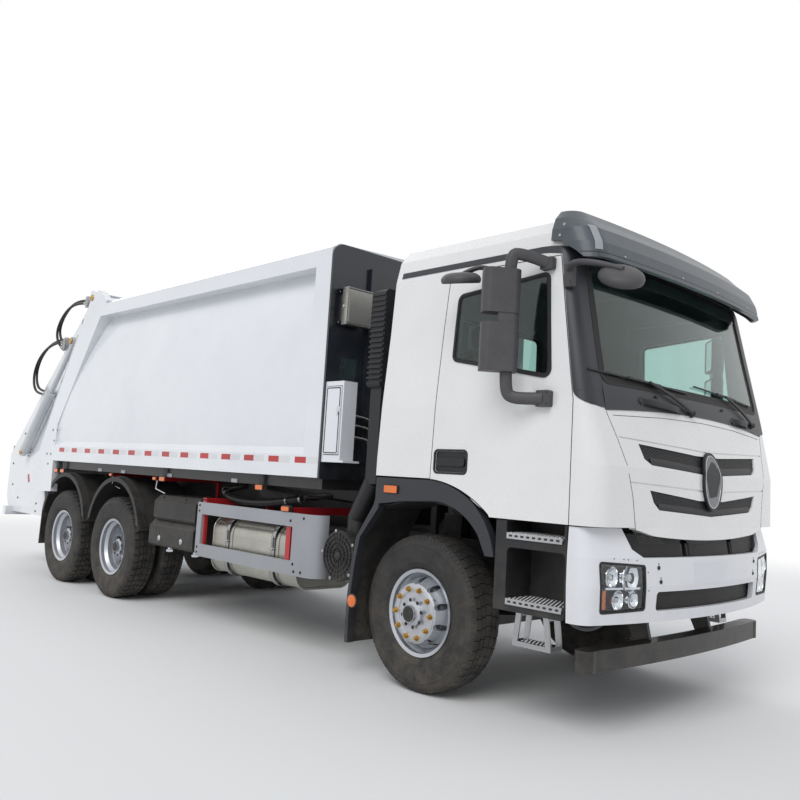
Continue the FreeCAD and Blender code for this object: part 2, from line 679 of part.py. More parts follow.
def rear_guard(axle_x, rear_leg_z, front_leg_z):
    """Mudguard arch over one driven wheel, with a raised rib and an outer lip."""
    y0 = -half_width + 4.0
    y1 = -610.0
    top_z = 1262.0
    path_outer = [(axle_x - 648.0, rear_leg_z), (axle_x - 632.0, 800.0),
        ((axle_x, top_z + 22.0), (axle_x + 605.0, 800.0)), (axle_x + 615.0, front_leg_z)]
    path_inner = [(axle_x + 605.0, front_leg_z), (axle_x + 595.0, 800.0),
        ((axle_x, top_z + 12.0), (axle_x - 622.0, 800.0)), (axle_x - 638.0, rear_leg_z)]
    sheet = side_plate(path_outer + path_inner, y0, y1)
    lip_outer = [(axle_x - 632.0, 800.0), ((axle_x, top_z + 22.0), (axle_x + 605.0, 800.0)),
        (axle_x + 560.0, 800.0), ((axle_x, top_z - 26.0), (axle_x - 584.0, 800.0))]
    lip = side_plate(lip_outer, y0, y0 + 12.0)
    rib_outer = [(axle_x - 640.0, 800.0), ((axle_x, top_z + 36.0), (axle_x + 613.0, 800.0)),
        (axle_x + 600.0, 800.0), ((axle_x, top_z + 16.0), (axle_x - 626.0, 800.0))]
    rib = side_plate(rib_outer, y0 + 70.0, y0 + 100.0)
    stay = rod((axle_x, -rail_outer_y, 1180.0), (axle_x, -900.0, 1180.0), 22.0)
    post = rod((axle_x, -880.0, 1180.0), (axle_x, -880.0, top_z + 18.0), 18.0)
    return joined([sheet, lip, rib]), joined([stay, post])


def mudguards():
    """Front wheel housings and the arches over the driven wheels, on stays from the rails."""
    parts = []
    front = guard_sheet(front_guard, 8.0, -arch_trim_y + 60.0 + fit_gap, -720.0)
    front_stay = rod((-612.0, -760.0, 740.0), (-612.0, -rail_outer_y - 10.0, 880.0), 18.0)
    front_foot = block(-640.0, -584.0, -rail_outer_y - 14.0, -rail_outer_y, 852.0, 908.0)
    parts.append(joined([front, front_stay, front_foot]))
    rear, rear_stay = rear_guard(rear_axle_x, 383.0, 749.0)
    post_room = block(rail_rear_x - 500.0, post_front_x + 6.0, -half_width - 10.0, -half_width + 86.0,
        1008.0, body_bottom_z)
    middle, middle_stay = rear_guard(middle_axle_x, 767.0, 756.0)
    parts.append(joined([rear, rear_stay, middle, middle_stay]).cut(post_room))
    return Part.makeCompound(parts + [mirrored(part) for part in parts])


guard_rear_x = -2880.0
guard_front_x = -1075.0
guard_low_z = 630.0
guard_high_z = 1125.0


def side_guards():
    """Framed side guards between the axles, with a window and a curved front end."""
    y0 = -half_width + 20.0
    plan = [(guard_rear_x, y0), (guard_front_x - 130.0, y0), ((guard_front_x - 38.0, y0 + 38.0),
        (guard_front_x, y0 + 130.0)), (guard_front_x - 25.0, y0 + 130.0),
        ((guard_front_x - 56.0, y0 + 56.0), (guard_front_x - 130.0, y0 + 25.0)), (guard_rear_x, y0 + 25.0)]
    sheet = plan_plate(plan, guard_low_z, guard_high_z)
    window = side_plate(rectangle(-2800.0, -1384.0, 742.0, 1015.0, 12.0), y0 - 10.0, y0 + 60.0)
    return Part.makeCompound(both_sides(sheet.cut(window)))


def guard_brackets():
    """Red posts and arms that carry the side guards and the mudguards' marker lamps."""
    parts = []
    y0 = -half_width + 45.0
    for x in (-2840.0, -1500.0):
        post = block(x, x + 60.0, y0, y0 + 30.0, guard_low_z + 20.0, 1165.0)
        arm = block(x + 10.0, x + 50.0, y0, -rail_outer_y, 1105.0, 1165.0)
        gusset = front_plate([(-rail_outer_y, 1165.0), (-rail_outer_y - 90.0, 1165.0),
            (-rail_outer_y - 90.0, 1105.0), (-rail_outer_y - 12.0, 960.0), (-rail_outer_y, 960.0)],
            x + 10.0, x + 50.0)
        parts.append(joined([post, arm, gusset]))
    for x in (-4880.0, -3860.0):
        arm = block(x, x + 45.0, -1180.0, -rail_outer_y, 1282.0, 1324.0)
        drop = block(x, x + 45.0, -rail_outer_y - 30.0, -rail_outer_y, 900.0, 1324.0)
        parts.append(joined([arm, drop]))
    return Part.makeCompound(parts + [mirrored(part) for part in parts])


def tank(y_side):
    """Rounded tank on two cradles with straps around it."""
    x0 = -2700.0
    x1 = -1400.0
    outline = rounded([(-1150.0, 500.0), (-560.0, 500.0), (-560.0, 1010.0), (-1150.0, 1010.0)], 150.0)
    drum = front_plate(outline, x0, x1)
    strap_outline = rounded([(-1156.0, 494.0), (-554.0, 494.0), (-554.0, 1016.0), (-1156.0, 1016.0)], 156.0)
    parts = [drum]
    for x in (x0 + 260.0, x1 - 330.0):
        parts.append(front_plate(strap_outline, x, x + 70.0))
        parts.append(front_plate([(-rail_outer_y, 980.0), (-rail_outer_y - 40.0, 980.0),
            (-rail_outer_y - 140.0, 740.0), (-rail_outer_y - 140.0, 660.0), (-rail_outer_y, 760.0)], x,
            x + 70.0))
    whole = joined(parts)
    if y_side > 0:
        return mirrored(whole)
    return whole


def tool_boxes():
    """Two-tier boxes with sloped lids behind the side guards."""
    x0 = -3800.0
    x1 = -2935.0
    upper = rounded([(-1215.0, 925.0), (-1215.0, 1085.0), (-1150.0, 1145.0), (-700.0, 1145.0),
        (-700.0, 900.0), (-1190.0, 900.0)], 12.0)
    lower = rounded([(-1225.0, 665.0), (-1225.0, 840.0), (-1170.0, 900.0), (-700.0, 900.0), (-700.0, 645.0),
        (-1205.0, 645.0)], 12.0)
    box = joined([front_plate(upper, x0 + 40.0, x1 - 10.0), front_plate(lower, x0, x1)])
    for x in (x0 + 150.0, x1 - 250.0):
        box = box.fuse(block(x, x + 60.0, -720.0, -rail_outer_y, 860.0, 940.0))
    return Part.makeCompound(both_sides(box.removeSplitter()))


intake_x = -540.0


def air_intake():
    """Snorkel with its lattice grille behind the cab, duct and round air cleaner."""
    panel = front_plate(rounded([(-1210.0, 2120.0), (-1040.0, 2120.0), (-1040.0, 2880.0),
        (-1195.0, 2880.0)], 45.0), intake_x - 75.0, intake_x + 75.0)
    slats = []
    for index in range(17):
        z = 2165.0 + index * 40.0
        slats.append(block(intake_x - 90.0, intake_x + 90.0, -1230.0, -1186.0, z, z + 24.0))
    panel = panel.cut(Part.makeCompound(slats))
    duct = block(intake_x - 60.0, intake_x + 60.0, -1170.0, -1050.0, 1400.0, 2130.0)
    stay = block(intake_x - 20.0, intake_x + 20.0, -1060.0, -700.0, 1530.0, 1570.0)
    elbow = rod((intake_x - 30.0, -1100.0, 1430.0), (-808.0, -1040.0, 1130.0), 75.0)
    centre = (-808.0, -1190.0, 842.0)
    can = rod(centre, (-808.0, -830.0, 842.0), 185.0)
    cover = rod((-808.0, -1205.0, 842.0), (-808.0, -1180.0, 842.0), 192.0)
    neck = rod((-808.0, -1040.0, 842.0), (-808.0, -1040.0, 1150.0), 75.0)
    ribs = []
    for index in range(24):
        angle = 2.0 * math.pi * index / 24
        start = (-808.0 + 70.0 * math.cos(angle), -1206.0, 842.0 + 70.0 * math.sin(angle))
        end = (-808.0 + 175.0 * math.cos(angle), -1206.0, 842.0 + 175.0 * math.sin(angle))
        ribs.append(rod(start, end, 5.0))
    arm = block(-850.0, -766.0, -840.0, -rail_outer_y, 800.0, 880.0)
    foot = block(intake_x - 30.0, intake_x + 30.0, -740.0, -rail_outer_y + 40.0, 1530.0, 1570.0)
    leg = block(intake_x - 30.0, intake_x + 30.0, -rail_outer_y - 40.0, -rail_outer_y, 960.0, 1570.0)
    return joined([panel, duct, stay, elbow, can, cover, neck, arm, foot, leg] + ribs)


def silencer():
    """Exhaust box on the left with its pipe to the engine."""
    can = rod((-1180.0, 820.0, 880.0), (-700.0, 820.0, 880.0), 190.0)
    pipe = rod((-740.0, 760.0, 900.0), (-590.0, 445.0, 1090.0), 50.0)
    arm = block(-980.0, -900.0, rail_outer_y, 700.0, 800.0, 860.0)
    return joined([can, pipe, arm])


# Refuse body

def body_outline(inset, floor_z, roof_drop):
    """Half outline of the body's section, mirrored into a closed one; sides bow outwards."""
    side = half_width - inset
    panel_low = half_width - 35.0 - inset
    panel_mid = half_width - 14.0 - inset
    panel_top = half_width - 137.0 - inset
    right = [(0.0, floor_z), (side, floor_z), (side, rail_band_top_z), (panel_low, rail_band_top_z + 60.0),
        ((panel_mid, 2330.0), (panel_top, top_rail_bottom_z)), (side, top_rail_bottom_z),
        (side, top_rail_top_z - roof_drop), (half_width - 70.0 - inset, 3330.0 - roof_drop),
        (0.0, roof_crown_z - roof_drop)]
    left = [(-half_width + 70.0 + inset, 3330.0 - roof_drop), (-side, top_rail_top_z - roof_drop),
        (-side, top_rail_bottom_z), (-panel_top, top_rail_bottom_z),
        ((-panel_mid, 2330.0), (-panel_low, rail_band_top_z + 60.0)), (-side, rail_band_top_z),
        (-side, floor_z)]
    return right + left


def cavity_outline(extra):
    """Section of the load space; extra shrinks it for what slides inside."""
    low = half_width - 35.0 - body_wall - extra
    mid = half_width - 14.0 - body_wall - extra
    top = half_width - 137.0 - body_wall - extra
    floor_z = body_floor_z + extra
    roof_z = roof_crown_z - body_wall - 10.0 - extra
    return [(-low, floor_z), (low, floor_z), (low, 1690.0), ((mid, 2330.0), (top, top_rail_bottom_z)),
        (top - 40.0, 3260.0 - extra), (0.0, roof_z), (-top + 40.0, 3260.0 - extra),
        (-top, top_rail_bottom_z), ((-mid, 2330.0), (-low, 1690.0))]


def refuse_body():
    """Load box with bowed sides between rails, a front frame and the slanted rear post frame."""
    main = front_plate(body_outline(0.0, body_bottom_z, 0.0), -7200.0, body_front_x)
    front = [(-half_width, body_bottom_z), (half_width, body_bottom_z), (half_width, top_rail_top_z),
        (half_width - 70.0, 3330.0), (0.0, roof_crown_z), (-half_width + 70.0, 3330.0),
        (-half_width, top_rail_top_z)]
    frame = front_plate(front, body_front_x - front_frame_width, body_front_x)
    foot_z = 1020.0
    post = [(-5287.0, 3324.0), (-6390.0, 1860.0), (-6410.0, 1420.0), (post_front_x, 1040.0),
        (-6920.0, foot_z), (seam_x(1240.0), 1240.0), (seam_x(3455.0), 3455.0), (-5520.0, 3470.0)]
    rear = side_plate(post, -half_width, half_width)
    rear = rear.cut(block(-8000.0, -5000.0, -half_width + 80.0, half_width - 80.0, 900.0, body_bottom_z))
    behind = side_plate([(seam_x(800.0), 800.0), (seam_x(3800.0), 3800.0), (-9000.0, 3800.0),
        (-9000.0, 800.0)], -1400.0, 1400.0)
    above = side_plate([(seam_x(3800.0) - 400.0, 3355.0), (-5250.0, 3380.0), (-5100.0, 3800.0),
        (-7000.0, 3800.0)], -half_width + 80.0, half_width - 80.0)
    rear_side = side_plate([(seam_x(800.0), 800.0), (seam_x(3800.0), 3800.0), (0.0, 3800.0), (0.0, 800.0)],
        -1400.0, 1400.0)
    base = lift_ends()[0]
    shell = joined([main.cut(behind), frame, rear.cut(above)])
    room = front_plate(cavity_outline(0.0), -7300.0, body_front_x - 60.0)
    shell = shell.cut(room)
    for side in (-1, 1):
        shell = shell.cut(rod((hinge_x, side * 1085.0, hinge_z), (hinge_x, side * 1203.0, hinge_z),
            hinge_room_radius))
    parts = [shell]
    for side in (-1, 1):
        y0 = side * (lift_cylinder_y - 58.0)
        y1 = side * half_width
        foot = side_plate(rounded([(seam_x(1330.0) + 60.0, 1330.0, 0), (base.x - 20.0, 1366.0),
            (base.x - 42.0, 1436.0), (base.x + 30.0, 1478.0), (seam_x(1560.0) + 60.0, 1560.0, 0)], 22.0),
            min(y0, y1), max(y0, y1))
        room_y0 = side * (lift_cylinder_y - 40.0)
        room_y1 = side * (lift_cylinder_y + 40.0)
        room_low = block(-8000.0, seam_x(1600.0) + 20.0, min(room_y0, room_y1), max(room_y0, room_y1),
            1300.0, 1600.0)
        pin = rod((base.x, y0, lift_base_z), (base.x, y1, lift_base_z), 20.0)
        parts += [foot.cut(room_low.cut(rear_side)), pin]
        ear = side_plate(rounded([(hinge_x + 60.0, hinge_z - 110.0, 0), (hinge_x - 60.0, hinge_z + 10.0),
            (hinge_x - 20.0, hinge_z + 75.0), (hinge_x + 60.0, hinge_z + 60.0), (-5450.0, 3400.0, 0)],
            25.0), min(side * 1205.0, y1), max(side * 1205.0, y1))
        parts.append(ear)
        parts.append(rod((hinge_x, side * 1130.0, hinge_z), (hinge_x, y1, hinge_z), 30.0))
    return joined(parts)


def bulkhead():
    """Dark front wall panel with rounded upper corners."""
    width = half_width - 2.0
    outline = rounded([(-width, 1412.0, 20), (width, 1412.0, 20), (width, 3326.0, 110),
        (-width, 3326.0, 110)], 20.0)
    panel = front_plate(outline, body_front_x, bulkhead_face_x)
    ribs = []
    for y in (-820.0, -410.0, 0.0, 410.0, 820.0):
        ribs.append(block(bulkhead_face_x - 5.0, bulkhead_face_x + 35.0, y - 40.0, y + 40.0, 1560.0,
            3180.0))
    return joined([panel] + ribs)


def cabinet():
    """Hose and valve cabinet on the bulkhead, its side opening framed for the door."""
    box = block(bulkhead_face_x, cabinet_front_x, -1235.0, -1100.0, cabinet_low_z, cabinet_high_z)
    shelf = block(bulkhead_face_x, cabinet_front_x + 40.0, -1235.0, -1070.0, cabinet_low_z - 15.0,
        cabinet_low_z + 1.0)
    recess = block(bulkhead_face_x + cabinet_frame, cabinet_front_x - cabinet_frame, -1290.0, -1114.0,
                   cabinet_low_z + 40.0, cabinet_high_z - 36.0)
    return joined([box, shelf]).cut(recess)


def cabinet_door():
    edge = cabinet_frame + seam_gap
    door = side_plate(rectangle(bulkhead_face_x + edge, cabinet_front_x - edge, cabinet_low_z + 46.0,
                                cabinet_high_z - 42.0, 8.0), -1243.0, -1215.0)
    latch_x = cabinet_front_x - edge - 25.0
    latch = rod((latch_x, -1250.0, 1960.0), (latch_x, -1240.0, 1960.0), 14.0)
    return joined([door, latch])


def control_box():
    """Small steel control box on the bulkhead."""
    box = side_plate(rectangle(-1014.0, -944.0, 2652.0, 2948.0, 6.0), -1172.0, -912.0)
    parts = [box, front_plate(rectangle(-1156.0, -928.0, 2668.0, 2932.0, 8.0), -945.0, -938.0)]
    for y in (-1140.0, -970.0):
        parts.append(block(bulkhead_face_x, -1012.0, y, y + 30.0, 2690.0, 2910.0))
    return joined(parts)


def body_subframe():
    """Long sills and cross members that carry the body on the rails."""
    parts = []
    for side in (-1, 1):
        y0 = min(side * rail_outer_y, side * (rail_outer_y - rail_flange))
        parts.append(block(-6380.0, -1150.0, y0, y0 + rail_flange, rail_top_z, 1340.0))
        outer = side * 1190.0
        parts.append(block(-6350.0, -1150.0, min(outer, outer - side * 60.0),
            max(outer, outer - side * 60.0), 1330.0, body_bottom_z))
    for index in range(9):
        x = -1200.0 - index * 640.0
        parts.append(block(x - 40.0, x + 40.0, -1190.0, 1190.0, 1330.0, body_bottom_z))
    apron = side_plate([(-1150.0, 1330.0), (-1090.0, 1330.0), (-1090.0, body_bottom_z),
        (-1150.0, body_bottom_z)], -1190.0, 1190.0)
    return joined(parts + [apron])


def ejector_plate():
    """Slanted pusher plate with its top and bottom guides."""
    face = 120.0
    lean = seam_slope * (3300.0 - body_floor_z)
    slab = side_plate([(-1340.0, 3300.0 - 20.0), (-1340.0 - face, 3280.0), (-1340.0 - face - lean, 1520.0),
        (-1340.0 - lean, 1520.0)], -1300.0, 1300.0)
    outline = front_plate(cavity_outline(18.0), -3000.0, -1100.0)
    plate = slab.common(outline)
    ribs = []
    for y in (-900.0, 900.0):
        ribs.append(block(-2560.0, -2300.0, y - 50.0, y + 50.0, body_floor_z + fit_gap, 1532.0))
    for y in (-700.0, 0.0, 700.0):
        ribs.append(side_plate([(-1340.0 - lean * 0.13 - 20.0, 3050.0), (-1360.0 - lean, 1520.0),
            (-1750.0, 1520.0), (-1440.0, 2900.0)], y - 30.0, y + 30.0))
    return joined([plate] + ribs)


# Cab

def cab_levels():
    """Plan sizes of the cab's skin at each height: z, width, rear x, nose x, corner."""
    return [
        (panel_low_z, 1250.0, -392.0, 1572.0, 170.0), (cab_skirt_z, 1250.0, -392.0, 1566.0, 170.0),
        (1600.0, 1250.0, -388.0, 1560.0, 150.0), (1955.0, 1250.0, -370.0, 1478.0, 100.0),
        (2060.0, 1246.0, -365.0, 1455.0, 96.0), (2500.0, 1222.0, -350.0, 1352.0, 86.0),
        (2900.0, 1193.0, -355.0, 1262.0, 76.0), (3060.0, 1150.0, -360.0, 1205.0, 90.0),
        (3150.0, 1085.0, -345.0, 1140.0, 110.0), (cab_roof_z, 950.0, -200.0, 1010.0, 160.0),
    ]


def cab_below():
    """What is cut away under the cab: the wheel arch and the raised rear floor."""
    return [(-500.0, 1100.0), (-500.0, cab_floor_z), (143.0, cab_floor_z),
        ((400.0, 1420.0), (560.0, 1335.0)), (640.0, 1290.0), (690.0, 1260.0), (700.0, cab_skirt_z),
        (1700.0, cab_skirt_z), (1700.0, 1100.0)]


def door_outline(gap):
    """Side view of the door; gap grows it into its opening."""
    return [(door_rear_x - gap, cab_floor_z - 4.0), (door_rear_x + 49.0 - gap, door_top_z + gap),
        (1135.0 + gap, door_top_z + gap), (door_front_x + gap, 1974.0),
        (door_front_x + gap, cab_skirt_z - 2.0 * gap), (700.0 - gap, cab_skirt_z - 2.0 * gap),
        (690.0 - gap, 1262.0 - gap), ((470.0 - gap, 1392.0 - gap), (180.0 - gap, cab_floor_z - 4.0 - gap))]


def window_outline(grow):
    return rounded([(313.0 - grow, 2722.0 + grow), (306.0 - grow, 2273.0 - grow),
        (1128.0 + grow, 2116.0 - grow), (1062.0 + grow, 2786.0 + grow)], 45.0)


def screen_outline(grow):
    return rounded([(-1085.0 - grow, 2100.0 - grow), (1085.0 + grow, 2100.0 - grow),
        (1040.0 + grow, 2950.0 + grow), (-1040.0 - grow, 2950.0 + grow)], 75.0)


def cab_skin():
    return nose_loft(cab_levels(), 0.0, cab_nose_radius)


def panel_outline():
    """Front view of the white front panel below the windscreen."""
    return [(-878.0, 1234.0), (-700.0, 1196.0), ((0.0, 1166.0), (700.0, 1196.0)), (878.0, 1234.0),
        (905.0, 1420.0), (960.0, 1610.0), (1010.0, 1763.0), (1074.0, 1925.0),
        ((0.0, 1972.0), (-1074.0, 1925.0)), (-1010.0, 1763.0), (-960.0, 1610.0), (-905.0, 1420.0)]


upper_slot = [(-819.0, 1747.0), (-784.0, 1658.0), (-714.0, 1623.0), (-127.0, 1592.0), (127.0, 1592.0),
              (714.0, 1623.0), (784.0, 1658.0), (819.0, 1747.0), (170.0, 1712.0), (-170.0, 1712.0)]
lower_slot = [(-740.0, 1470.0), (-700.0, 1395.0), (-640.0, 1352.0), (0.0, 1318.0), (640.0, 1352.0),
    (700.0, 1395.0), (740.0, 1470.0), (170.0, 1420.0), (-170.0, 1420.0)]


def cab_shell():
    """Hollow cab with its floor, pillars, roof, rear window and door openings."""
    skin = cab_skin()
    inner = nose_loft(cab_levels(), cab_wall, cab_nose_radius)
    room_profile = side_plate([(-360.0, cab_floor_z + cab_floor_thickness),
        (760.0, cab_floor_z + cab_floor_thickness), (800.0, cab_skirt_z + cab_floor_thickness),
        (1470.0, cab_skirt_z + cab_floor_thickness), (1400.0, 1980.0), (1200.0, 3000.0),
        (1000.0, cab_roof_z - 50.0), (-360.0, cab_roof_z - 50.0)], -1300.0, 1300.0)
    shell = skin.cut(inner.common(room_profile))
    shell = shell.cut(side_plate(cab_below(), -1400.0, 1400.0))
    for side in (-1, 1):
        far = side * 1400.0
        near = side * (half_width - 190.0)
        opening = side_plate(door_outline(seam_gap), min(near, far), max(near, far))
        shell = shell.cut(opening)
    shell = shell.cut(front_plate(screen_outline(0.0), 1000.0, 1700.0))
    shell = shell.cut(front_plate(rectangle(-560.0, 560.0, 2230.0, 2740.0, 60.0), -500.0, -100.0))
    step = nose_loft(cab_levels(), panel_thickness, cab_nose_radius)
    front_zone = front_plate(panel_outline(), 1200.0, 1700.0)
    shell = shell.cut(skin.common(front_zone).cut(step))
    for side in (-1, 1):
        y0 = side * (tilt_arm_y - tilt_arm_width / 2.0)
        y1 = side * (tilt_arm_y + tilt_arm_width / 2.0)
        arm = side_plate(rounded([(tilt_pivot_x - 40.0, tilt_pivot_z - 40.0),
            (tilt_pivot_x + 38.0, tilt_pivot_z - 30.0), (tilt_pivot_x + 30.0, tilt_pivot_z + 36.0),
            (1310.0, cab_skirt_z + 10.0, 0), (1120.0, cab_skirt_z + 10.0, 0)], 30.0), min(y0, y1),
            max(y0, y1))
        arm = arm.cut(rod((tilt_pivot_x, side * 250.0, tilt_pivot_z),
            (tilt_pivot_x, side * 400.0, tilt_pivot_z), 22.0 + fit_gap))
        shell = shell.fuse(arm)
    return shell.removeSplitter()


def cab_glass():
    skin = cab_skin()
    core = nose_loft(cab_levels(), glass_thickness, cab_nose_radius)
    sheet = skin.cut(core)
    screen = sheet.common(front_plate(screen_outline(-fit_gap), 1000.0, 1700.0))
    rear = sheet.common(front_plate(rectangle(-560.0 + fit_gap, 560.0 - fit_gap, 2230.0 + fit_gap,
        2740.0 - fit_gap, 60.0), -500.0, -100.0))
    return Part.makeCompound([screen, rear])


def front_panel():
    """White front panel with two slots and a round seat for a badge."""
    skin = cab_skin()
    core = nose_loft(cab_levels(), panel_thickness - fit_gap, cab_nose_radius)
    panel = skin.cut(core).common(front_plate(panel_outline(), 1200.0, 1700.0))
    panel = panel.cut(front_plate(upper_slot, 1200.0, 1700.0)).cut(front_plate(lower_slot, 1200.0, 1700.0))
    crease = skin.cut(nose_loft(cab_levels(), 6.0, cab_nose_radius))
    for z in (1500.0, 1760.0):
        groove = front_plate([(-1000.0, z + 10.0), (0.0, z - 26.0), (1000.0, z + 10.0), (1000.0, z + 20.0),
            (0.0, z - 16.0), (-1000.0, z + 20.0)], 1200.0, 1700.0)
        panel = panel.cut(groove.common(crease))
    return panel


def panel_grille():
    """Dark slats behind the panel's slots and the blank oval badge plate."""
    outer = nose_loft(cab_levels(), 16.0, cab_nose_radius)
    inner = nose_loft(cab_levels(), panel_thickness - fit_gap, cab_nose_radius)
    backing = outer.cut(inner)
    parts = []
    for outline in (upper_slot, lower_slot):
        parts.append(backing.common(front_plate(outline, 1200.0, 1700.0)))
    oval = Part.Face(Part.Wire(Part.Ellipse(vec(1500.0, 0.0, 1549.0), 192.0, 128.0).toShape()))
    turn = FreeCAD.Rotation(vec(0, 1, 0), 90)
    oval.Placement = FreeCAD.Placement(vec(0, 0, 0), turn, vec(1500.0, 0.0, 1549.0))
    badge = oval.extrude(vec(92.0, 0, 0))
    badge = badge.cut(nose_loft(cab_levels(), -14.0, cab_nose_radius).cut(nose_loft(cab_levels(), -400.0,
        cab_nose_radius)))
    badge = badge.common(nose_loft(cab_levels(), -14.0, cab_nose_radius))
    badge = badge.cut(nose_loft(cab_levels(), -fit_gap, cab_nose_radius))
    return Part.makeCompound([joined([parts[0], parts[1]]), badge])


def roof_visor():
    """Sun visor hood wrapped round the cab's front edge, open below and behind."""
    levels = [(2856.0, 1205.0, visor_rear_x + 5.0, 1462.0, 170.0),
        (2960.0, 1205.0, visor_rear_x, 1438.0, 170.0), (3060.0, 1195.0, visor_rear_x, 1385.0, 170.0),
        (3140.0, 1165.0, visor_rear_x, 1290.0, 150.0), (3200.0, 1110.0, visor_rear_x, 1230.0, 100.0)]
    hood = nose_loft(levels, 0.0, cab_nose_radius)
    room = nose_loft([(z - 24.0, w, x - 60.0, n, c) for z, w, x, n, c in levels], 26.0, cab_nose_radius)
    below = side_plate([(900.0, 2800.0), (900.0, 2990.0), (visor_rear_x, 2990.0), (1120.0, 2985.0),
        (1250.0, 2900.0), (1300.0, 2856.0), (1320.0, 2800.0)], -1400.0, 1400.0)
    hood = hood.cut(room).cut(below)
    grown = nose_loft([(z + fit_gap, w, x, n, c) for z, w, x, n, c in cab_levels()], -fit_gap,
        cab_nose_radius)
    hood = hood.cut(grown)
    pads = []
    for y in (-900.0, 0.0, 900.0):
        pads.append(block(visor_rear_x, visor_rear_x + 90.0, y - 60.0, y + 60.0, 3080.0, 3190.0))
    pads = joined(pads).common(nose_loft(levels, 4.0, cab_nose_radius)).cut(grown)
    return hood.fuse(pads).removeSplitter()


def cab_interior():
    """Dashboard with steering wheel, two seats and the bunk shelf on the cab's floor."""
    floor_z = cab_floor_z + cab_floor_thickness + fit_gap
    dash = side_plate(rounded([(1130.0, 1330.0), (1390.0, 1330.0), (1330.0, 2020.0), (1120.0, 2060.0),
        (1010.0, 1960.0), (1030.0, 1760.0)], 35.0), -1130.0, 1130.0)
    low = nose_loft(cab_levels(), cab_wall + 2.0, cab_nose_radius)
    dash = dash.common(low)
    legs = block(1150.0, 1380.0, -1100.0, -1000.0, cab_skirt_z + cab_floor_thickness + fit_gap, 1340.0)
    column = rod((1060.0, 560.0, 1880.0), (790.0, 560.0, 2010.0), 32.0)
    axis = vec(270.0, 0.0, -130.0).normalize()
    rim_ring = Part.makeTorus(225.0, 16.0, vec(800.0, 560.0, 2005.0), axis)
    spokes = []
    across = axis.cross(vec(0, 1, 0)).normalize()
    for turn in (0.0, 120.0, 240.0):
        way = vec(0, 1, 0) * math.cos(math.radians(turn + 90)) + across * math.sin(math.radians(turn + 90))
        end = vec(800.0, 560.0, 2005.0) + way * 225.0
        spokes.append(rod((800.0, 560.0, 2005.0), (end.x, end.y, end.z), 13.0))
    parts = [joined([dash, legs, mirrored(legs), column, rim_ring] + spokes)]
    for y in (-560.0, 560.0):
        base = block(180.0, 560.0, y - 200.0, y + 200.0, floor_z, 1720.0)
        cushion = side_plate(rounded([(90.0, 1720.0), (640.0, 1720.0), (650.0, 1850.0), (90.0, 1830.0)],
            40.0), y - 250.0, y + 250.0)
        back = side_plate(rounded([(60.0, 1800.0), (190.0, 1800.0), (90.0, 2440.0), (-50.0, 2440.0)], 45.0),
            y - 240.0, y + 240.0)
        head = side_plate(rounded([(-50.0, 2430.0), (80.0, 2430.0), (60.0, 2640.0), (-50.0, 2640.0)], 35.0),
            y - 140.0, y + 140.0)
        parts.append(joined([base, cushion, back, head]))
    return Part.makeCompound(parts)


def cab_door(side):
    """Door cut from the cab's skin, as thick as the wall, with its window open."""
    skin = cab_skin()
    inner = nose_loft(cab_levels(), cab_wall, cab_nose_radius)
    far = side * 1400.0
    near = side * 1000.0
    slab = side_plate(door_outline(0.0), min(near, far), max(near, far))
    door = skin.cut(inner).common(slab)
    door = door.cut(side_plate(window_outline(0.0), min(near, far), max(near, far)))
    pocket = side_plate(rectangle(193.0, 487.0, 1509.0, 1660.0, 28.0), min(side * 1236.0, far),
        max(side * 1236.0, far))
    handle = side_plate(rectangle(215.0, 465.0, 1562.0, 1608.0, 16.0), min(side * 1234.0, side * 1248.0),
        max(side * 1234.0, side * 1248.0))
    return door.cut(pocket).fuse(handle).removeSplitter()


def door_glass(side):
    skin = cab_skin()
    core = nose_loft(cab_levels(), glass_thickness, cab_nose_radius)
    far = side * 1400.0
    near = side * 1000.0
    return skin.cut(core).common(side_plate(window_outline(-fit_gap), min(near, far), max(near, far)))


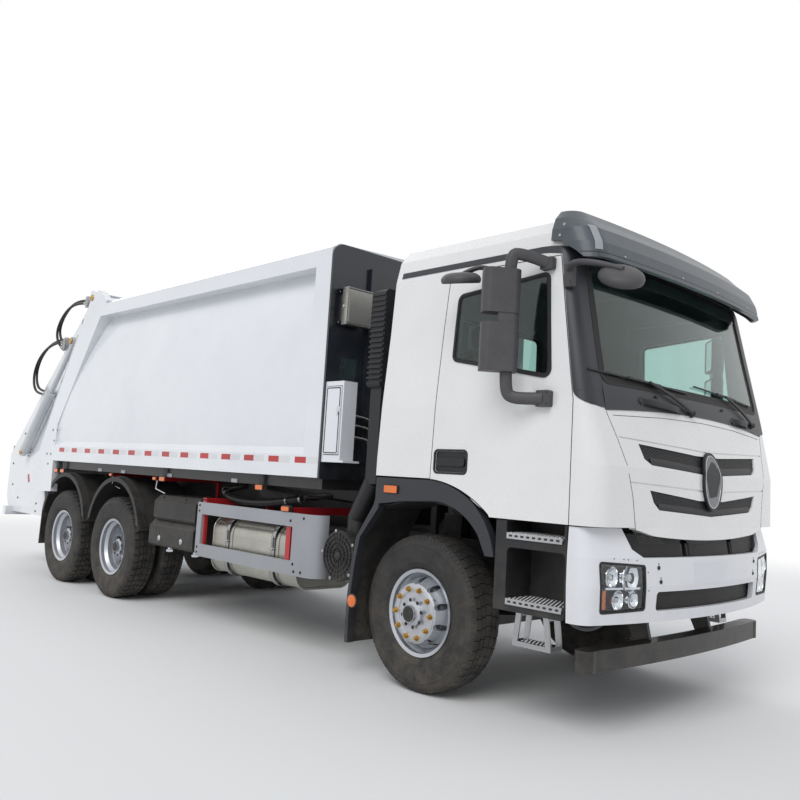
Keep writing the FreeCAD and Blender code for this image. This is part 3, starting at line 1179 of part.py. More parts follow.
def door_mirrors(side):
    """Large two-part mirror on its bent arm and, on the right, the round kerb mirror."""
    lean = 40.0
    centre = vec(875.0, side * 1440.0, 2460.0)
    plan = rounded([(-55.0, -117.0), (40.0, -112.0), (62.0, 0.0), (40.0, 112.0), (-55.0, 117.0)], 22.0)
    upper = plan_plate(plan, 30.0, 320.0)
    lower = plan_plate(plan, -320.0, -5.0)
    spine = plan_plate(rounded([(-50.0, -20.0), (35.0, -20.0), (35.0, 105.0), (-50.0, 105.0)], 15.0), -40.0,
        60.0)
    housing = joined([upper, lower, spine])
    if side > 0:
        housing = mirrored(housing)
    turn = FreeCAD.Rotation(vec(0, 0, 1), -side * lean)
    housing.Placement = FreeCAD.Placement(centre, turn)
    elbow_y = side * 1330.0
    y_in = side * 1196.0
    y_out = side * 1430.0
    top = bent_tube([(1035.0, y_in, 2835.0), (960.0, elbow_y, 2850.0), (890.0, y_out, 2840.0),
        (880.0, y_out, 2700.0)], 24.0, 45.0)
    low = bent_tube([(1145.0, side * 1245.0, 1985.0), (1020.0, side * 1310.0, 1985.0),
        (900.0, y_out, 2040.0), (885.0, y_out, 2180.0)], 22.0, 45.0)
    low_foot = side_plate(rectangle(1110.0, 1195.0, 1945.0, 2025.0, 14.0),
        min(side * (half_width + fit_gap), side * 1275.0), max(side * (half_width + fit_gap),
        side * 1275.0))
    top_foot = side_plate(rectangle(985.0, 1085.0, 2800.0, 2872.0, 12.0), min(side * 1207.0, side * 1232.0),
        max(side * 1207.0, side * 1232.0))
    foot_seat = cab_skin()
    arms = joined([top, top_foot]).cut(foot_seat)
    low_arm = joined([low, low_foot]).cut(foot_seat)
    parts = [joined([housing, arms, low_arm])]
    if side < 0:
        dish = Part.makeSphere(126.0, vec(490.0, -1420.0, 2720.0)).common(block(200.0, 800.0, -1700.0,
            -1200.0, 2756.0, 2860.0))
        stem = rod((490.0, -1420.0, 2805.0), (580.0, -1190.0, 2850.0), 16.0)
        foot = side_plate(rectangle(540.0, 630.0, 2828.0, 2872.0, 10.0), -1232.0, -1205.0)
        parts.append(joined([dish, stem, foot]).cut(foot_seat))
    return Part.makeCompound(parts)


def front_mirror():
    """Saucer mirror on an arm from the right windscreen pillar."""
    foot = side_plate(rectangle(1186.0, 1246.0, 2690.0, 2830.0, 12.0), -1226.0, -1120.0)
    arm = bent_tube([(1215.0, -1200.0, 2775.0), (1340.0, -1250.0, 2800.0), (1550.0, -1180.0, 2735.0)], 20.0,
        60.0)
    dish = Part.makeSphere(150.0, vec(1550.0, -1180.0, 2590.0)).common(block(1300.0, 1800.0, -1400.0,
        -1000.0, 2655.0, 2760.0))
    grown = nose_loft(cab_levels(), -fit_gap, cab_nose_radius)
    return joined([foot, arm, dish]).cut(grown)


# Tailgate and packer

slide_along = vec(math.sin(math.radians(packer_lean)), 0.0, math.cos(math.radians(packer_lean)))
slide_across = vec(-math.cos(math.radians(packer_lean)), 0.0, math.sin(math.radians(packer_lean)))


def slide_point(u, v):
    """X and Z of a point u up the packer's slide and v out from it, from the ear pin."""
    return (ear_x + slide_along.x * u + slide_across.x * v, ear_z + slide_along.z * u + slide_across.z * v)


pivot_up = slide_point(-1100.0, -50.0)
pivot_down = slide_point(-1100.0 - packer_stroke, -50.0)


def trough_point(angle, radius):
    turn = math.radians(angle)
    return (pivot_down[0] + radius * math.cos(turn), pivot_down[1] + radius * math.sin(turn))


def tailgate():
    """Side walls with slots, hood, seal flanges, hinge ears, cylinder lugs and the lamp bar."""
    wall_path = [(gate_x(3300.0), 3300.0), (gate_x(3470.0) + 0.0, 3470.0), (-6010.0, 3470.0),
        (-7250.0, 2430.0), (-8330.0, 1470.0), (-8330.0, 980.0), ((-8240.0, 760.0), (-8000.0, 690.0)),
        (-6880.0, 690.0), (-6960.0, 970.0), (gate_x(1245.0), 1245.0)]
    wall = side_plate(wall_path, -tailgate_half_width, -tailgate_half_width + tailgate_wall)
    slot_path = [slide_point(80.0, -45.0), slide_point(80.0, 45.0),
        slide_point(-packer_stroke - 80.0, 45.0), slide_point(-packer_stroke - 80.0, -45.0)]
    wall = wall.cut(side_plate(rounded(slot_path, 44.0), -1200.0, -900.0))
    inner = tailgate_half_width - tailgate_wall
    hood = side_plate([(gate_x(3470.0), 3470.0), (-6010.0, 3470.0), (-7250.0, 2430.0), (-7212.0, 2384.0),
        (-5992.0, 3410.0), (gate_x(3410.0), 3410.0)], -inner, inner)
    parts = [hood]
    for side in (-1, 1):
        parts.append(wall if side < 0 else mirrored(wall))
        y0 = side * inner
        y1 = side * 1125.0
        flange = side_plate([(gate_x(1245.0), 1245.0), (gate_x(3300.0), 3300.0),
            (gate_x(3300.0) - 65.0, 3300.0), (gate_x(1245.0) - 65.0, 1245.0)], min(y0, y1), max(y0, y1))
        parts.append(flange)
        ear_y0 = side * (tailgate_half_width - 10.0)
        ear_y1 = side * 1199.0
        ear = side_plate(rounded([(hinge_x + 62.0, hinge_z - 40.0), (hinge_x + 50.0, hinge_z + 60.0),
            (hinge_x - 90.0, hinge_z + 50.0), (hinge_x - 160.0, hinge_z - 40.0),
            (hinge_x - 110.0, hinge_z - 110.0)], 35.0), min(ear_y0, ear_y1), max(ear_y0, ear_y1))
        pin_room = rod((hinge_x, side * 1000.0, hinge_z), (hinge_x, side * 1300.0, hinge_z), 30.0 + fit_gap)
        parts.append(ear)
        eye = lift_ends()[1]
        lug_y0 = side * (tailgate_half_width - 10.0)
        lug_y1 = side * (lift_cylinder_y - 38.0)
        lug = side_plate(rounded([(eye.x - 62.0, eye.z - 66.0), (eye.x + 30.0, eye.z - 72.0),
            (eye.x + 84.0, eye.z + 10.0), (eye.x + 84.0, eye.z + 60.0), (eye.x - 62.0, eye.z + 60.0)],
            22.0), min(lug_y0, lug_y1), max(lug_y0, lug_y1))
        parts.append(lug)
        barrel_low = slide_point(-1955.0, 0.0)
        foot_y0 = side * (tailgate_half_width - 10.0)
        foot_y1 = side * (packer_cylinder_y + 40.0)
        pin = rod((barrel_low[0], foot_y0, barrel_low[1]), (barrel_low[0], foot_y1, barrel_low[1]), 26.0)
        boss = rod((barrel_low[0], foot_y0, barrel_low[1]), (barrel_low[0],
            side * (tailgate_half_width + 10.0), barrel_low[1]), 70.0)
        parts += [pin, boss]
        lamp_box = side_plate(rectangle(-8130.0, -8030.0, 640.0, 760.0, 10.0),
            min(side * 860.0, side * 1200.0), max(side * 860.0, side * 1200.0))
        parts.append(lamp_box)
    bar = side_plate(rectangle(-8110.0, -8050.0, 650.0, 750.0, 8.0), -900.0, 900.0)
    parts.append(bar)
    whole = joined(parts)
    for side in (-1, 1):
        whole = whole.cut(rod((hinge_x, side * 1100.0, hinge_z), (hinge_x, side * 1300.0, hinge_z),
            30.0 + fit_gap))
    return whole


def hopper_trough():
    """Curved hopper floor that the blade sweeps, its rear sill and back plate."""
    inner = tailgate_half_width - tailgate_wall
    start = trough_point(195.0, trough_radius)
    middle = trough_point(247.0, trough_radius)
    end = trough_point(300.0, trough_radius)
    out_start = trough_point(195.0, trough_radius + trough_wall)
    out_middle = trough_point(247.0, trough_radius + trough_wall)
    out_end = trough_point(300.0, trough_radius + trough_wall)
    trough = side_plate([start, (middle, end), (-7075.0, 1340.0), (-7025.0, 1330.0), out_end,
                         (out_middle, out_start)], -inner, inner)
    sill = side_plate([start, (start[0] + 10.0, start[1] + 50.0), (-8330.0, 1480.0), (-8330.0, 1380.0),
        out_start], -inner, inner)
    back = block(-8330.0, -8300.0, -inner, inner, 980.0, 1400.0)
    bearing = side_plate(rounded([(-8300.0, 1290.0, 0), (-8300.0, 1480.0, 0),
        (lifter_x + 40.0, lifter_z + 50.0), (lifter_x - 50.0, lifter_z + 50.0),
        (lifter_x - 50.0, lifter_z - 50.0), (-8330.0, 1290.0, 0)], 20.0), lifter_half, lifter_half + 40.0)
    return joined([trough, sill, back] + both_sides(bearing))


def packer_cylinders():
    """Barrels of the two packer cylinders on their lower pins."""
    parts = []
    for side in (-1, 1):
        y = side * packer_cylinder_y
        low = slide_point(-1955.0, 0.0)
        base = slide_point(-1900.0, 0.0)
        top = slide_point(-860.0, 0.0)
        gland = slide_point(-900.0, 0.0)
        barrel = rod((base[0], y, base[1]), (top[0], y, top[1]), packer_barrel_radius - 4.0)
        collar = rod((gland[0], y, gland[1]), (top[0], y, top[1]), packer_barrel_radius)
        foot_end = slide_point(-1870.0, 0.0)
        foot = rod((base[0], y, base[1]), (foot_end[0], y, foot_end[1]), packer_barrel_radius)
        eye = rod((low[0], y - 28.0, low[1]), (low[0], y + 28.0, low[1]), 52.0)
        neck = rod((low[0], y, low[1]), (base[0], y, base[1]), 38.0)
        bore_start = slide_point(-1820.0, 0.0)
        bore = rod((bore_start[0], y, bore_start[1]), (top[0] + 20.0 * slide_along.x, y,
            top[1] + 20.0 * slide_along.z), packer_rod_radius + 1.0)
        pin_room = rod((low[0], y - 40.0, low[1]), (low[0], y + 40.0, low[1]), 26.0 + fit_gap)
        parts.append(joined([barrel, collar, foot, eye, neck]).cut(bore).cut(pin_room))
    return Part.makeCompound(parts)


def carriage():
    """Box plate that slides inside the tailgate, with ears through the slots and both rods."""
    half = tailgate_half_width - tailgate_wall - 12.0
    plate = side_plate(rounded([slide_point(120.0, -100.0), slide_point(120.0, 80.0),
        slide_point(-1000.0, 80.0), slide_point(-1000.0, -100.0)], 25.0), -half, half)
    parts = [plate]
    for side in (-1, 1):
        y = side * packer_cylinder_y
        parts.append(rod((ear_x, side * (half - 30.0), ear_z), (ear_x, y + side * 45.0, ear_z), 30.0))
        start = slide_point(-20.0, 0.0)
        end = slide_point(-1810.0 + packer_stroke, 0.0)
        parts.append(rod((start[0], y, start[1]), (end[0], y, end[1]), packer_rod_radius))
        parts.append(rod((ear_x, y - 37.0, ear_z), (ear_x, y + 37.0, ear_z), 56.0))
        lug_y0 = side * 560.0
        lug_y1 = side * 620.0
        lug = side_plate(rounded([slide_point(-940.0, 60.0), slide_point(-940.0, -100.0),
            slide_point(-1150.0, -100.0), slide_point(-1150.0, 0.0)], 30.0), min(lug_y0, lug_y1),
            max(lug_y0, lug_y1))
        pin = rod((pivot_up[0], side * 500.0, pivot_up[1]), (pivot_up[0], side * 680.0, pivot_up[1]), 28.0)
        parts += [lug, pin]
    return joined(parts)


def sweep_blade():
    """Curved sweep blade with a toothed edge, hung from the carriage."""
    half = tailgate_half_width - tailgate_wall - blade_side_gap
    turn = math.radians(215.0)
    along = vec(math.cos(turn), 0.0, math.sin(turn))
    across = vec(-math.sin(turn), 0.0, math.cos(turn))

    def at(u, v):
        return (pivot_up[0] + along.x * u + across.x * v, pivot_up[1] + along.z * u + across.z * v)

    path = [at(60.0, -80.0), (at(380.0, -50.0), at(blade_length, -60.0)), at(blade_length, 10.0),
        (at(380.0, 70.0), at(60.0, 90.0)), at(-50.0, 40.0), at(-50.0, -60.0)]
    blade = side_plate(path, -half, half)
    teeth = []
    for index in range(8):
        y = -half + 60.0 + index * (2.0 * half - 120.0) / 7.0
        notch = side_plate([at(blade_length - 60.0, -120.0), at(blade_length + 20.0, -120.0),
            at(blade_length + 20.0, 80.0), at(blade_length - 60.0, 80.0)], y - 45.0, y + 45.0)
        if 0 < index < 7:
            teeth.append(notch)
    blade = blade.cut(Part.makeCompound(teeth))
    for side in (-1, 1):
        lug_room = rod((pivot_up[0], side * 545.0, pivot_up[1]), (pivot_up[0], side * 635.0, pivot_up[1]),
            150.0)
        pin_room = rod((pivot_up[0], side * 490.0, pivot_up[1]), (pivot_up[0], side * 690.0, pivot_up[1]),
            28.0 + fit_gap)
        blade = blade.cut(lug_room).cut(pin_room)
    clear = rod((pivot_up[0], -half - 5.0, pivot_up[1]), (pivot_up[0], half + 5.0, pivot_up[1]), 95.0)
    keep = side_plate([at(-200.0, -200.0), at(-200.0, 200.0), at(0.0, 200.0), at(0.0, -200.0)], -half - 5.0,
        half + 5.0)
    return blade.cut(keep.cut(clear))


def bin_lifter():
    """Cross shaft with a toothed comb and two arms, hung behind the hopper's sill."""
    shaft_x = lifter_x
    shaft_z = lifter_z
    half = lifter_half - fit_gap
    shaft = rod((shaft_x, -half, shaft_z), (shaft_x, half, shaft_z), 38.0)
    plate = block(shaft_x - 80.0, shaft_x - 40.0, -half + 60.0, half - 60.0, shaft_z - 480.0,
        shaft_z - 10.0)
    teeth = []
    for index in range(12):
        y = -half + 100.0 + index * (2.0 * half - 200.0) / 11.0
        teeth.append(side_plate([(shaft_x - 60.0, shaft_z - 10.0), (shaft_x - 170.0, shaft_z + 30.0),
            (shaft_x - 170.0, shaft_z + 62.0), (shaft_x - 60.0, shaft_z + 30.0), (shaft_x, shaft_z + 20.0),
            (shaft_x, shaft_z - 10.0)], y - 28.0, y + 28.0))
    foot = block(shaft_x - 150.0, shaft_x - 40.0, -half + 60.0, half - 60.0, shaft_z - 500.0,
        shaft_z - 450.0)
    arms = []
    for y in (-700.0, 0.0, 700.0):
        arms.append(side_plate([(shaft_x - 60.0, shaft_z - 450.0), (shaft_x - 20.0, shaft_z - 400.0),
            (shaft_x + 20.0, shaft_z), (shaft_x - 60.0, shaft_z)], y - 20.0, y + 20.0))
    return joined([shaft, plate, foot] + teeth + arms)


def lift_barrels():
    """Barrels of the tailgate cylinders, swinging on the body's lower pins."""
    base, eye, along = lift_ends()
    closed = (eye - base).Length
    parts = []
    for side in (-1, 1):
        y = side * lift_cylinder_y
        start = base + along * 60.0
        top = base + along * (closed - 190.0)
        barrel = rod((start.x, y, start.z), (top.x, y, top.z), lift_barrel_radius)
        eye_ring = rod((base.x, y - 24.0, base.z), (base.x, y + 24.0, base.z), 40.0)
        neck = rod((base.x, y, base.z), (start.x, y, start.z), 22.0)
        bore_start = base + along * 260.0
        bore_end = top + along * 10.0
        bore = rod((bore_start.x, y, bore_start.z), (bore_end.x, y, bore_end.z), lift_rod_radius + 0.6)
        pin_room = rod((base.x, y - 40.0, base.z), (base.x, y + 40.0, base.z), 20.0 + fit_gap)
        parts.append(joined([barrel, eye_ring, neck]).cut(bore).cut(pin_room))
    return Part.makeCompound(parts)


def lift_rods():
    base, eye, along = lift_ends()
    parts = []
    for side in (-1, 1):
        y = side * lift_cylinder_y
        inner_end = base + along * 300.0
        shaft_end = eye - along * 15.0
        shaft = rod((inner_end.x, y, inner_end.z), (shaft_end.x, y, shaft_end.z), lift_rod_radius)
        ring = rod((eye.x, y - 24.0, eye.z), (eye.x, y + 24.0, eye.z), 42.0)
        pin = rod((eye.x, y - side * 32.0, eye.z), (eye.x, y + 30.0 * side, eye.z), 20.0)
        parts.append(joined([shaft, ring, pin]))
    return Part.makeCompound(parts)


def build_parts():
    parts = {
        "chassis_frame": chassis_frame(), "engine_block": engine_block(), "front_axle": front_axle(),
        "drive_axles": drive_axles(), "front_bumper": front_bumper(), "bumper_grille": bumper_grille(),
        "headlamps": headlamps(), "underrun_bar": underrun_bar(), "cab_steps": cab_steps(),
        "step_treads": step_treads(), "arch_trims": arch_trims(), "mudguards": mudguards(),
        "side_guards": side_guards(), "guard_brackets": guard_brackets(), "fuel_tank": tank(-1),
        "tool_boxes": tool_boxes(), "air_intake": air_intake(), "silencer": silencer(),
        "body_subframe": body_subframe(), "refuse_body": refuse_body(), "bulkhead": bulkhead(),
        "cabinet": cabinet(), "cabinet_door": cabinet_door(), "control_box": control_box(),
        "ejector_plate": ejector_plate(), "cab_shell": cab_shell(), "cab_glass": cab_glass(),
        "front_panel": front_panel(), "panel_grille": panel_grille(), "roof_visor": roof_visor(),
        "cab_interior": cab_interior(), "front_mirror": front_mirror(), "tailgate": tailgate(),
        "hopper_trough": hopper_trough(),
        "packer_cylinders": packer_cylinders(), "carriage": carriage(), "sweep_blade": sweep_blade(),
        "bin_lifter": bin_lifter(), "lift_barrels": lift_barrels(), "lift_rods": lift_rods(),
    }
    for name, side in (("right", -1), ("left", 1)):
        parts["door_" + name] = cab_door(side)
        parts["door_glass_" + name] = door_glass(side)
        parts["mirrors_" + name] = door_mirrors(side)
        parts["knuckle_" + name] = steering_knuckle(side)
        parts["front_tyre_" + name], parts["front_rim_" + name] = front_wheel(side)
        parts["middle_tyres_" + name], parts["middle_rims_" + name] = twin_wheel(middle_axle_x, side)
        parts["rear_tyres_" + name], parts["rear_rims_" + name] = twin_wheel(rear_axle_x, side)
    return parts


os.makedirs("parts", exist_ok=True)
for name, shape in build_parts().items():
    shape.translate(vec(front_axle_x, 0, 0))
    shape.exportStep("parts/" + name + ".step")
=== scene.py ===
from math import acos, asin, copysign, cos, exp, hypot, pi, radians, sin, sqrt, tan
import bpy
import bmesh
from mathutils import Matrix, Vector


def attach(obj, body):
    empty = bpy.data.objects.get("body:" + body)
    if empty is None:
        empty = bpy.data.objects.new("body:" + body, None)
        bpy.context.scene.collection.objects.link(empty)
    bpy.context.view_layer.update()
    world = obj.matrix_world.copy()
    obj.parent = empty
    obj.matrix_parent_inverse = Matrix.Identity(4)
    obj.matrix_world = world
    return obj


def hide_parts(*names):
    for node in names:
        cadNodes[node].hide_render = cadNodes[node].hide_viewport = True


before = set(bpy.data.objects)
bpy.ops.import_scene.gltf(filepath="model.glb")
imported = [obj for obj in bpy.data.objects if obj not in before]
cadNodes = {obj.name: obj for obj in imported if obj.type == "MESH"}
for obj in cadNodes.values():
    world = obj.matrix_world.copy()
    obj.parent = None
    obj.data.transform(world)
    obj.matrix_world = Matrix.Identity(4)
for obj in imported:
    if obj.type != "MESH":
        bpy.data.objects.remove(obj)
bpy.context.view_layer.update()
frontAxleX = 3.475  # pieces are drawn with the front axle at X = 0 and moved here when they are done
sides = (("right", -1), ("left", 1))
print("frame loaded:", len(cadNodes), "nodes")


# Node helpers

def setInput(tree, node, label, value):
    # an input takes a plain value or another node's output
    if isinstance(value, bpy.types.NodeSocket):
        tree.links.new(value, node.inputs[label])
    else:
        node.inputs[label].default_value = value


def addNode(tree, kind, inputs, **settings):
    node = tree.nodes.new(kind)
    for label, value in settings.items():
        setattr(node, label, value)
    for label, value in inputs.items():
        setInput(tree, node, label, value)
    return node


def mathNode(tree, operation, *values):
    return addNode(tree, "ShaderNodeMath", dict(enumerate(values)), operation=operation).outputs[0]


def rangeNode(tree, value, low, high, **settings):
    inputs = {"Value": value, "From Min": low, "From Max": high}
    return addNode(tree, "ShaderNodeMapRange", inputs, **settings).outputs["Result"]


def noiseNode(tree, vector, scale, detail=2, rough=0.5):
    inputs = {"Vector": vector, "Scale": scale, "Detail": detail, "Roughness": rough}
    return addNode(tree, "ShaderNodeTexNoise", inputs).outputs[0]


def mixNode(tree, share, before, after):
    return addNode(tree, "ShaderNodeMix", {0: share, 6: before, 7: after}, data_type="RGBA").outputs[2]


def objectPlace(tree):
    return tree.nodes.new("ShaderNodeTexCoord").outputs["Object"]


def linkObject(name, data):
    thing = bpy.data.objects.new(name, data)
    bpy.context.scene.collection.objects.link(thing)
    return thing


# Camera and stage

cameraLook = {
    "place": (4.1229, -5.2953, 1.4714),
    "yaw": 45.5,
    "pitch": 5.952,
    "roll": 3.268,
    "focalPixels": 827.124,
    "centre": (419.1, 390.7),
    "frameSize": 800,
}


def makeCamera(look):
    yaw, pitch, roll = (radians(look[key]) for key in ("yaw", "pitch", "roll"))
    ahead = Vector((-sin(yaw) * cos(pitch), cos(yaw) * cos(pitch), sin(pitch)))
    right = Vector((cos(yaw), sin(yaw), 0))
    up = right.cross(ahead)
    turnedRight = right * cos(roll) + up * sin(roll)
    turnedUp = up * cos(roll) - right * sin(roll)
    data = bpy.data.cameras.new("photoCamera")
    data.sensor_width = 36
    data.lens = 36 * look["focalPixels"] / look["frameSize"]
    data.shift_x = (look["frameSize"] / 2 - look["centre"][0]) / look["frameSize"]
    data.shift_y = (look["centre"][1] - look["frameSize"] / 2) / look["frameSize"]
    data.clip_end = 200
    camera = linkObject("photoCamera", data)
    turn = Matrix((turnedRight, turnedUp, -ahead)).transposed().to_4x4()
    camera.matrix_world = Matrix.Translation(Vector(look["place"]) + Vector((frontAxleX, 0, 0))) @ turn
    bpy.context.scene.camera = camera


stageLook = {
    "skyFill": 0.55,
    "skyTint": (0.93, 0.96, 1),
    "keySun": 1.46,
    "keyTurn": (48, 0, 24),
    "sideSun": 0.55,
    "sideTurn": (62, 0, -110),
    "softness": 40,
    "floorShade": 0.86,
    "floorSize": 90,
    "floorClear": 9,
    "floorFade": 16,
}


def makeSun(name, strength, turn, softness):
    data = bpy.data.lights.new(name, "SUN")
    data.energy = strength
    data.angle = radians(softness)
    lamp = linkObject(name, data)
    lamp.rotation_euler = [radians(value) for value in turn]


def seenDirectly(tree):
    # 1 for what the camera, a reflection or a pane looks at, 0 for light that falls on the object
    path = tree.nodes.new("ShaderNodeLightPath").outputs
    both = mathNode(tree, "MAXIMUM", path["Is Camera Ray"], path["Is Glossy Ray"])
    return mathNode(tree, "MAXIMUM", both, path["Is Transmission Ray"])


def makeStage(look):
    world = bpy.data.worlds.new("studio")
    bpy.context.scene.world = world
    world.use_nodes = True
    tree = world.node_tree
    fill = [channel * look["skyFill"] for channel in look["skyTint"]]
    shown = mixNode(tree, seenDirectly(tree), (*fill, 1), (1, 1, 1, 1))
    setInput(tree, tree.nodes["Background"], "Color", shown)
    makeSun("keySun", look["keySun"], look["keyTurn"], look["softness"])
    makeSun("sideSun", look["sideSun"], look["sideTurn"], look["softness"])

    finish = bpy.data.materials.new("paleFloor")
    finish.use_nodes = True
    tree = finish.node_tree
    shader = tree.nodes["Principled BSDF"]
    shade = look["floorShade"]
    plain = {"Base Color": (shade, shade, shade, 1), "Roughness": 0.9, "Specular IOR Level": 0.1}
    for label, value in plain.items():
        setInput(tree, shader, label, value)
    reach = addNode(tree, "ShaderNodeVectorMath", {0: objectPlace(tree)}, operation="LENGTH").outputs["Value"]
    fade = rangeNode(tree, reach, look["floorClear"], look["floorFade"], interpolation_type="SMOOTHSTEP")
    clear = tree.nodes.new("ShaderNodeBsdfTransparent").outputs[0]
    mixed = addNode(tree, "ShaderNodeMixShader", {0: fade, 1: shader.outputs["BSDF"], 2: clear}).outputs[0]
    setInput(tree, tree.nodes["Material Output"], "Surface", mixed)
    half = look["floorSize"] / 2
    mesh = bpy.data.meshes.new("floor")
    corners = [(-half, -half, 0), (half, -half, 0), (half, half, 0), (-half, half, 0)]
    mesh.from_pydata(corners, [], [(0, 1, 2, 3)])
    mesh.materials.append(finish)
    floor = linkObject("floor", mesh)
    floor.location.z = -0.002
    bpy.context.scene.view_settings.view_transform = "Standard"


makeCamera(cameraLook)
makeStage(stageLook)
print("camera and stage made")


# Shader groups that several finishes share

def newGroup(name, inputs, outputs):
    tree = bpy.data.node_groups.new(name, "ShaderNodeTree")
    for label, value in inputs:
        kind = "NodeSocketVector" if isinstance(value, tuple) else "NodeSocketFloat"
        tree.interface.new_socket(name=label, in_out="INPUT", socket_type=kind).default_value = value
    for label in outputs:
        tree.interface.new_socket(name=label, in_out="OUTPUT", socket_type="NodeSocketFloat")
    return tree, tree.nodes.new("NodeGroupInput").outputs, tree.nodes.new("NodeGroupOutput")


def buildCloudGroup():
    # slow light and dark areas, as in paint and moulded plastic
    tree, given, result = newGroup("softClouds", [("Scale", 1.5), ("Contrast", 0.5)], ["Mask"])
    cloud = noiseNode(tree, objectPlace(tree), given["Scale"], 4, 0.6)
    low = mathNode(tree, "MULTIPLY", given["Contrast"], 0.5)
    setInput(tree, result, "Mask", rangeNode(tree, cloud, low, mathNode(tree, "SUBTRACT", 1, low)))
    return tree


def buildGrainGroup():
    # fine moulded or cast grain, stretched along one axis for rolled and brushed metal
    tree, given, result = newGroup("fineGrain", [("Stretch", (1.0, 1.0, 1.0)), ("Scale", 300.0)],
        ["Height", "Mask"])
    place = addNode(tree, "ShaderNodeVectorMath", {0: objectPlace(tree), 1: given["Stretch"]},
        operation="MULTIPLY")
    grain = noiseNode(tree, place.outputs[0], given["Scale"], 3, 0.55)
    setInput(tree, result, "Height", grain)
    setInput(tree, result, "Mask", rangeNode(tree, grain, 0.35, 0.65))
    return tree


def buildDustGroup():
    # road dust that thins out from the Low height to the High one and gathers on what faces up
    tree, given, result = newGroup("roadDust", [("Low", 0.2), ("High", 1.6), ("Upward", 0.3)], ["Mask"])
    place = objectPlace(tree)
    split = addNode(tree, "ShaderNodeSeparateXYZ", {0: place}).outputs["Z"]
    height = rangeNode(tree, split, given["High"], given["Low"])
    normal = tree.nodes.new("ShaderNodeNewGeometry").outputs["Normal"]
    facing = addNode(tree, "ShaderNodeSeparateXYZ", {0: normal}).outputs["Z"]
    top = mathNode(tree, "MULTIPLY", mathNode(tree, "MAXIMUM", facing, 0), given["Upward"])
    patches = mathNode(tree, "MULTIPLY", rangeNode(tree, noiseNode(tree, place, 7, 6, 0.65), 0.38, 0.72), 0.7)
    specks = mathNode(tree, "MULTIPLY", rangeNode(tree, noiseNode(tree, place, 140), 0.4, 0.7), 0.3)
    loose = mathNode(tree, "ADD", patches, specks)
    total = mathNode(tree, "MULTIPLY", mathNode(tree, "ADD", height, top), loose)
    setInput(tree, result, "Mask", mathNode(tree, "MINIMUM", total, 1))
    return tree


def buildWearGroup():
    # bare or pale edges where the normal turns sharply
    tree, given, result = newGroup("edgeWear", [("Width", 0.004), ("Scale", 60.0)], ["Mask"])
    bevel = addNode(tree, "ShaderNodeBevel", {"Radius": given["Width"]}, samples=2).outputs["Normal"]
    normal = tree.nodes.new("ShaderNodeNewGeometry").outputs["Normal"]
    dot = addNode(tree, "ShaderNodeVectorMath", {0: bevel, 1: normal}, operation="DOT_PRODUCT")
    edge = rangeNode(tree, dot.outputs["Value"], 0.97, 0.75)
    broken = rangeNode(tree, noiseNode(tree, objectPlace(tree), given["Scale"], 4, 0.6), 0.42, 0.6)
    setInput(tree, result, "Mask", mathNode(tree, "MULTIPLY", edge, broken))
    return tree


shaderGroups = {
    "clouds": buildCloudGroup(),
    "grain": buildGrainGroup(),
    "dust": buildDustGroup(),
    "wear": buildWearGroup(),
}


# Finishes

def tone(red, green, blue):
    values = []
    for channel in (red, green, blue):
        value = channel / 255
        values.append(value / 12.92 if value <= 0.04045 else ((value + 0.055) / 1.055) ** 2.4)
    return (*values, 1)


def placeGroup(tree, group, **values):
    return addNode(tree, "ShaderNodeGroup", values, node_tree=shaderGroups[group]).outputs


def tint(tree, mask, amount, before, after):
    return mixNode(tree, mathNode(tree, "MULTIPLY", mask, amount), before, after)


dustTone = tone(150, 140, 124)
bareTone = tone(168, 166, 160)


def makeFinish(name, look):
    finish = bpy.data.materials.new(name)
    finish.use_nodes = True
    tree = finish.node_tree
    shader = tree.nodes["Principled BSDF"]
    plain = {"Metallic": "metal", "Coat Weight": "coat", "Transmission Weight": "clear",
        "Sheen Weight": "sheen"}
    for label, key in plain.items():
        setInput(tree, shader, label, look[key])
    setInput(tree, shader, "Coat Roughness", 0.04)
    setInput(tree, shader, "IOR", 1.45)
    clouds = placeGroup(tree, "clouds", Scale=look["cloudScale"], Contrast=0.62)
    colour = tint(tree, clouds["Mask"], 1, look["colour"], look["second"])
    grain = placeGroup(tree, "grain", Scale=look["grainScale"], Stretch=look["stretch"])
    if "speck" in look:
        colour = tint(tree, grain["Mask"], look["speck"], colour, look["second"])
    low = look["rough"] - look["roughSpread"] / 2
    rough = mathNode(tree, "MULTIPLY_ADD", grain["Mask"], look["roughSpread"], low)
    if "dust" in look:
        dust = placeGroup(tree, "dust", Low=look["dustLow"], High=look["dustHigh"], Upward=look["dustTop"])
        colour = tint(tree, dust["Mask"], look["dust"], colour, dustTone)
        rough = mathNode(tree, "MULTIPLY_ADD", dust["Mask"], look["dust"] * 0.5, rough)
    if "wear" in look:
        wear = placeGroup(tree, "wear", Width=0.004, Scale=70)
        colour = tint(tree, wear["Mask"], look["wear"], colour, bareTone)
    setInput(tree, shader, "Base Color", colour)
    setInput(tree, shader, "Roughness", rough)
    if "bump" in look:
        bump = addNode(tree, "ShaderNodeBump", {"Strength": look["bump"], "Distance": 0.0006,
            "Height": grain["Height"]})
        setInput(tree, shader, "Normal", bump.outputs["Normal"])
    return finish


plainFinish = {
    "metal": 0, "coat": 0, "clear": 0, "sheen": 0, "roughSpread": 0.06,
    "cloudScale": 1.3, "grainScale": 320, "stretch": (1, 1, 1),
    "dustLow": 0.1, "dustHigh": 1.3, "dustTop": 0.3,
}


def madeOf(colour, second, rough, **more):
    return {**plainFinish, "colour": tone(*colour), "second": tone(*second), "rough": rough, **more}


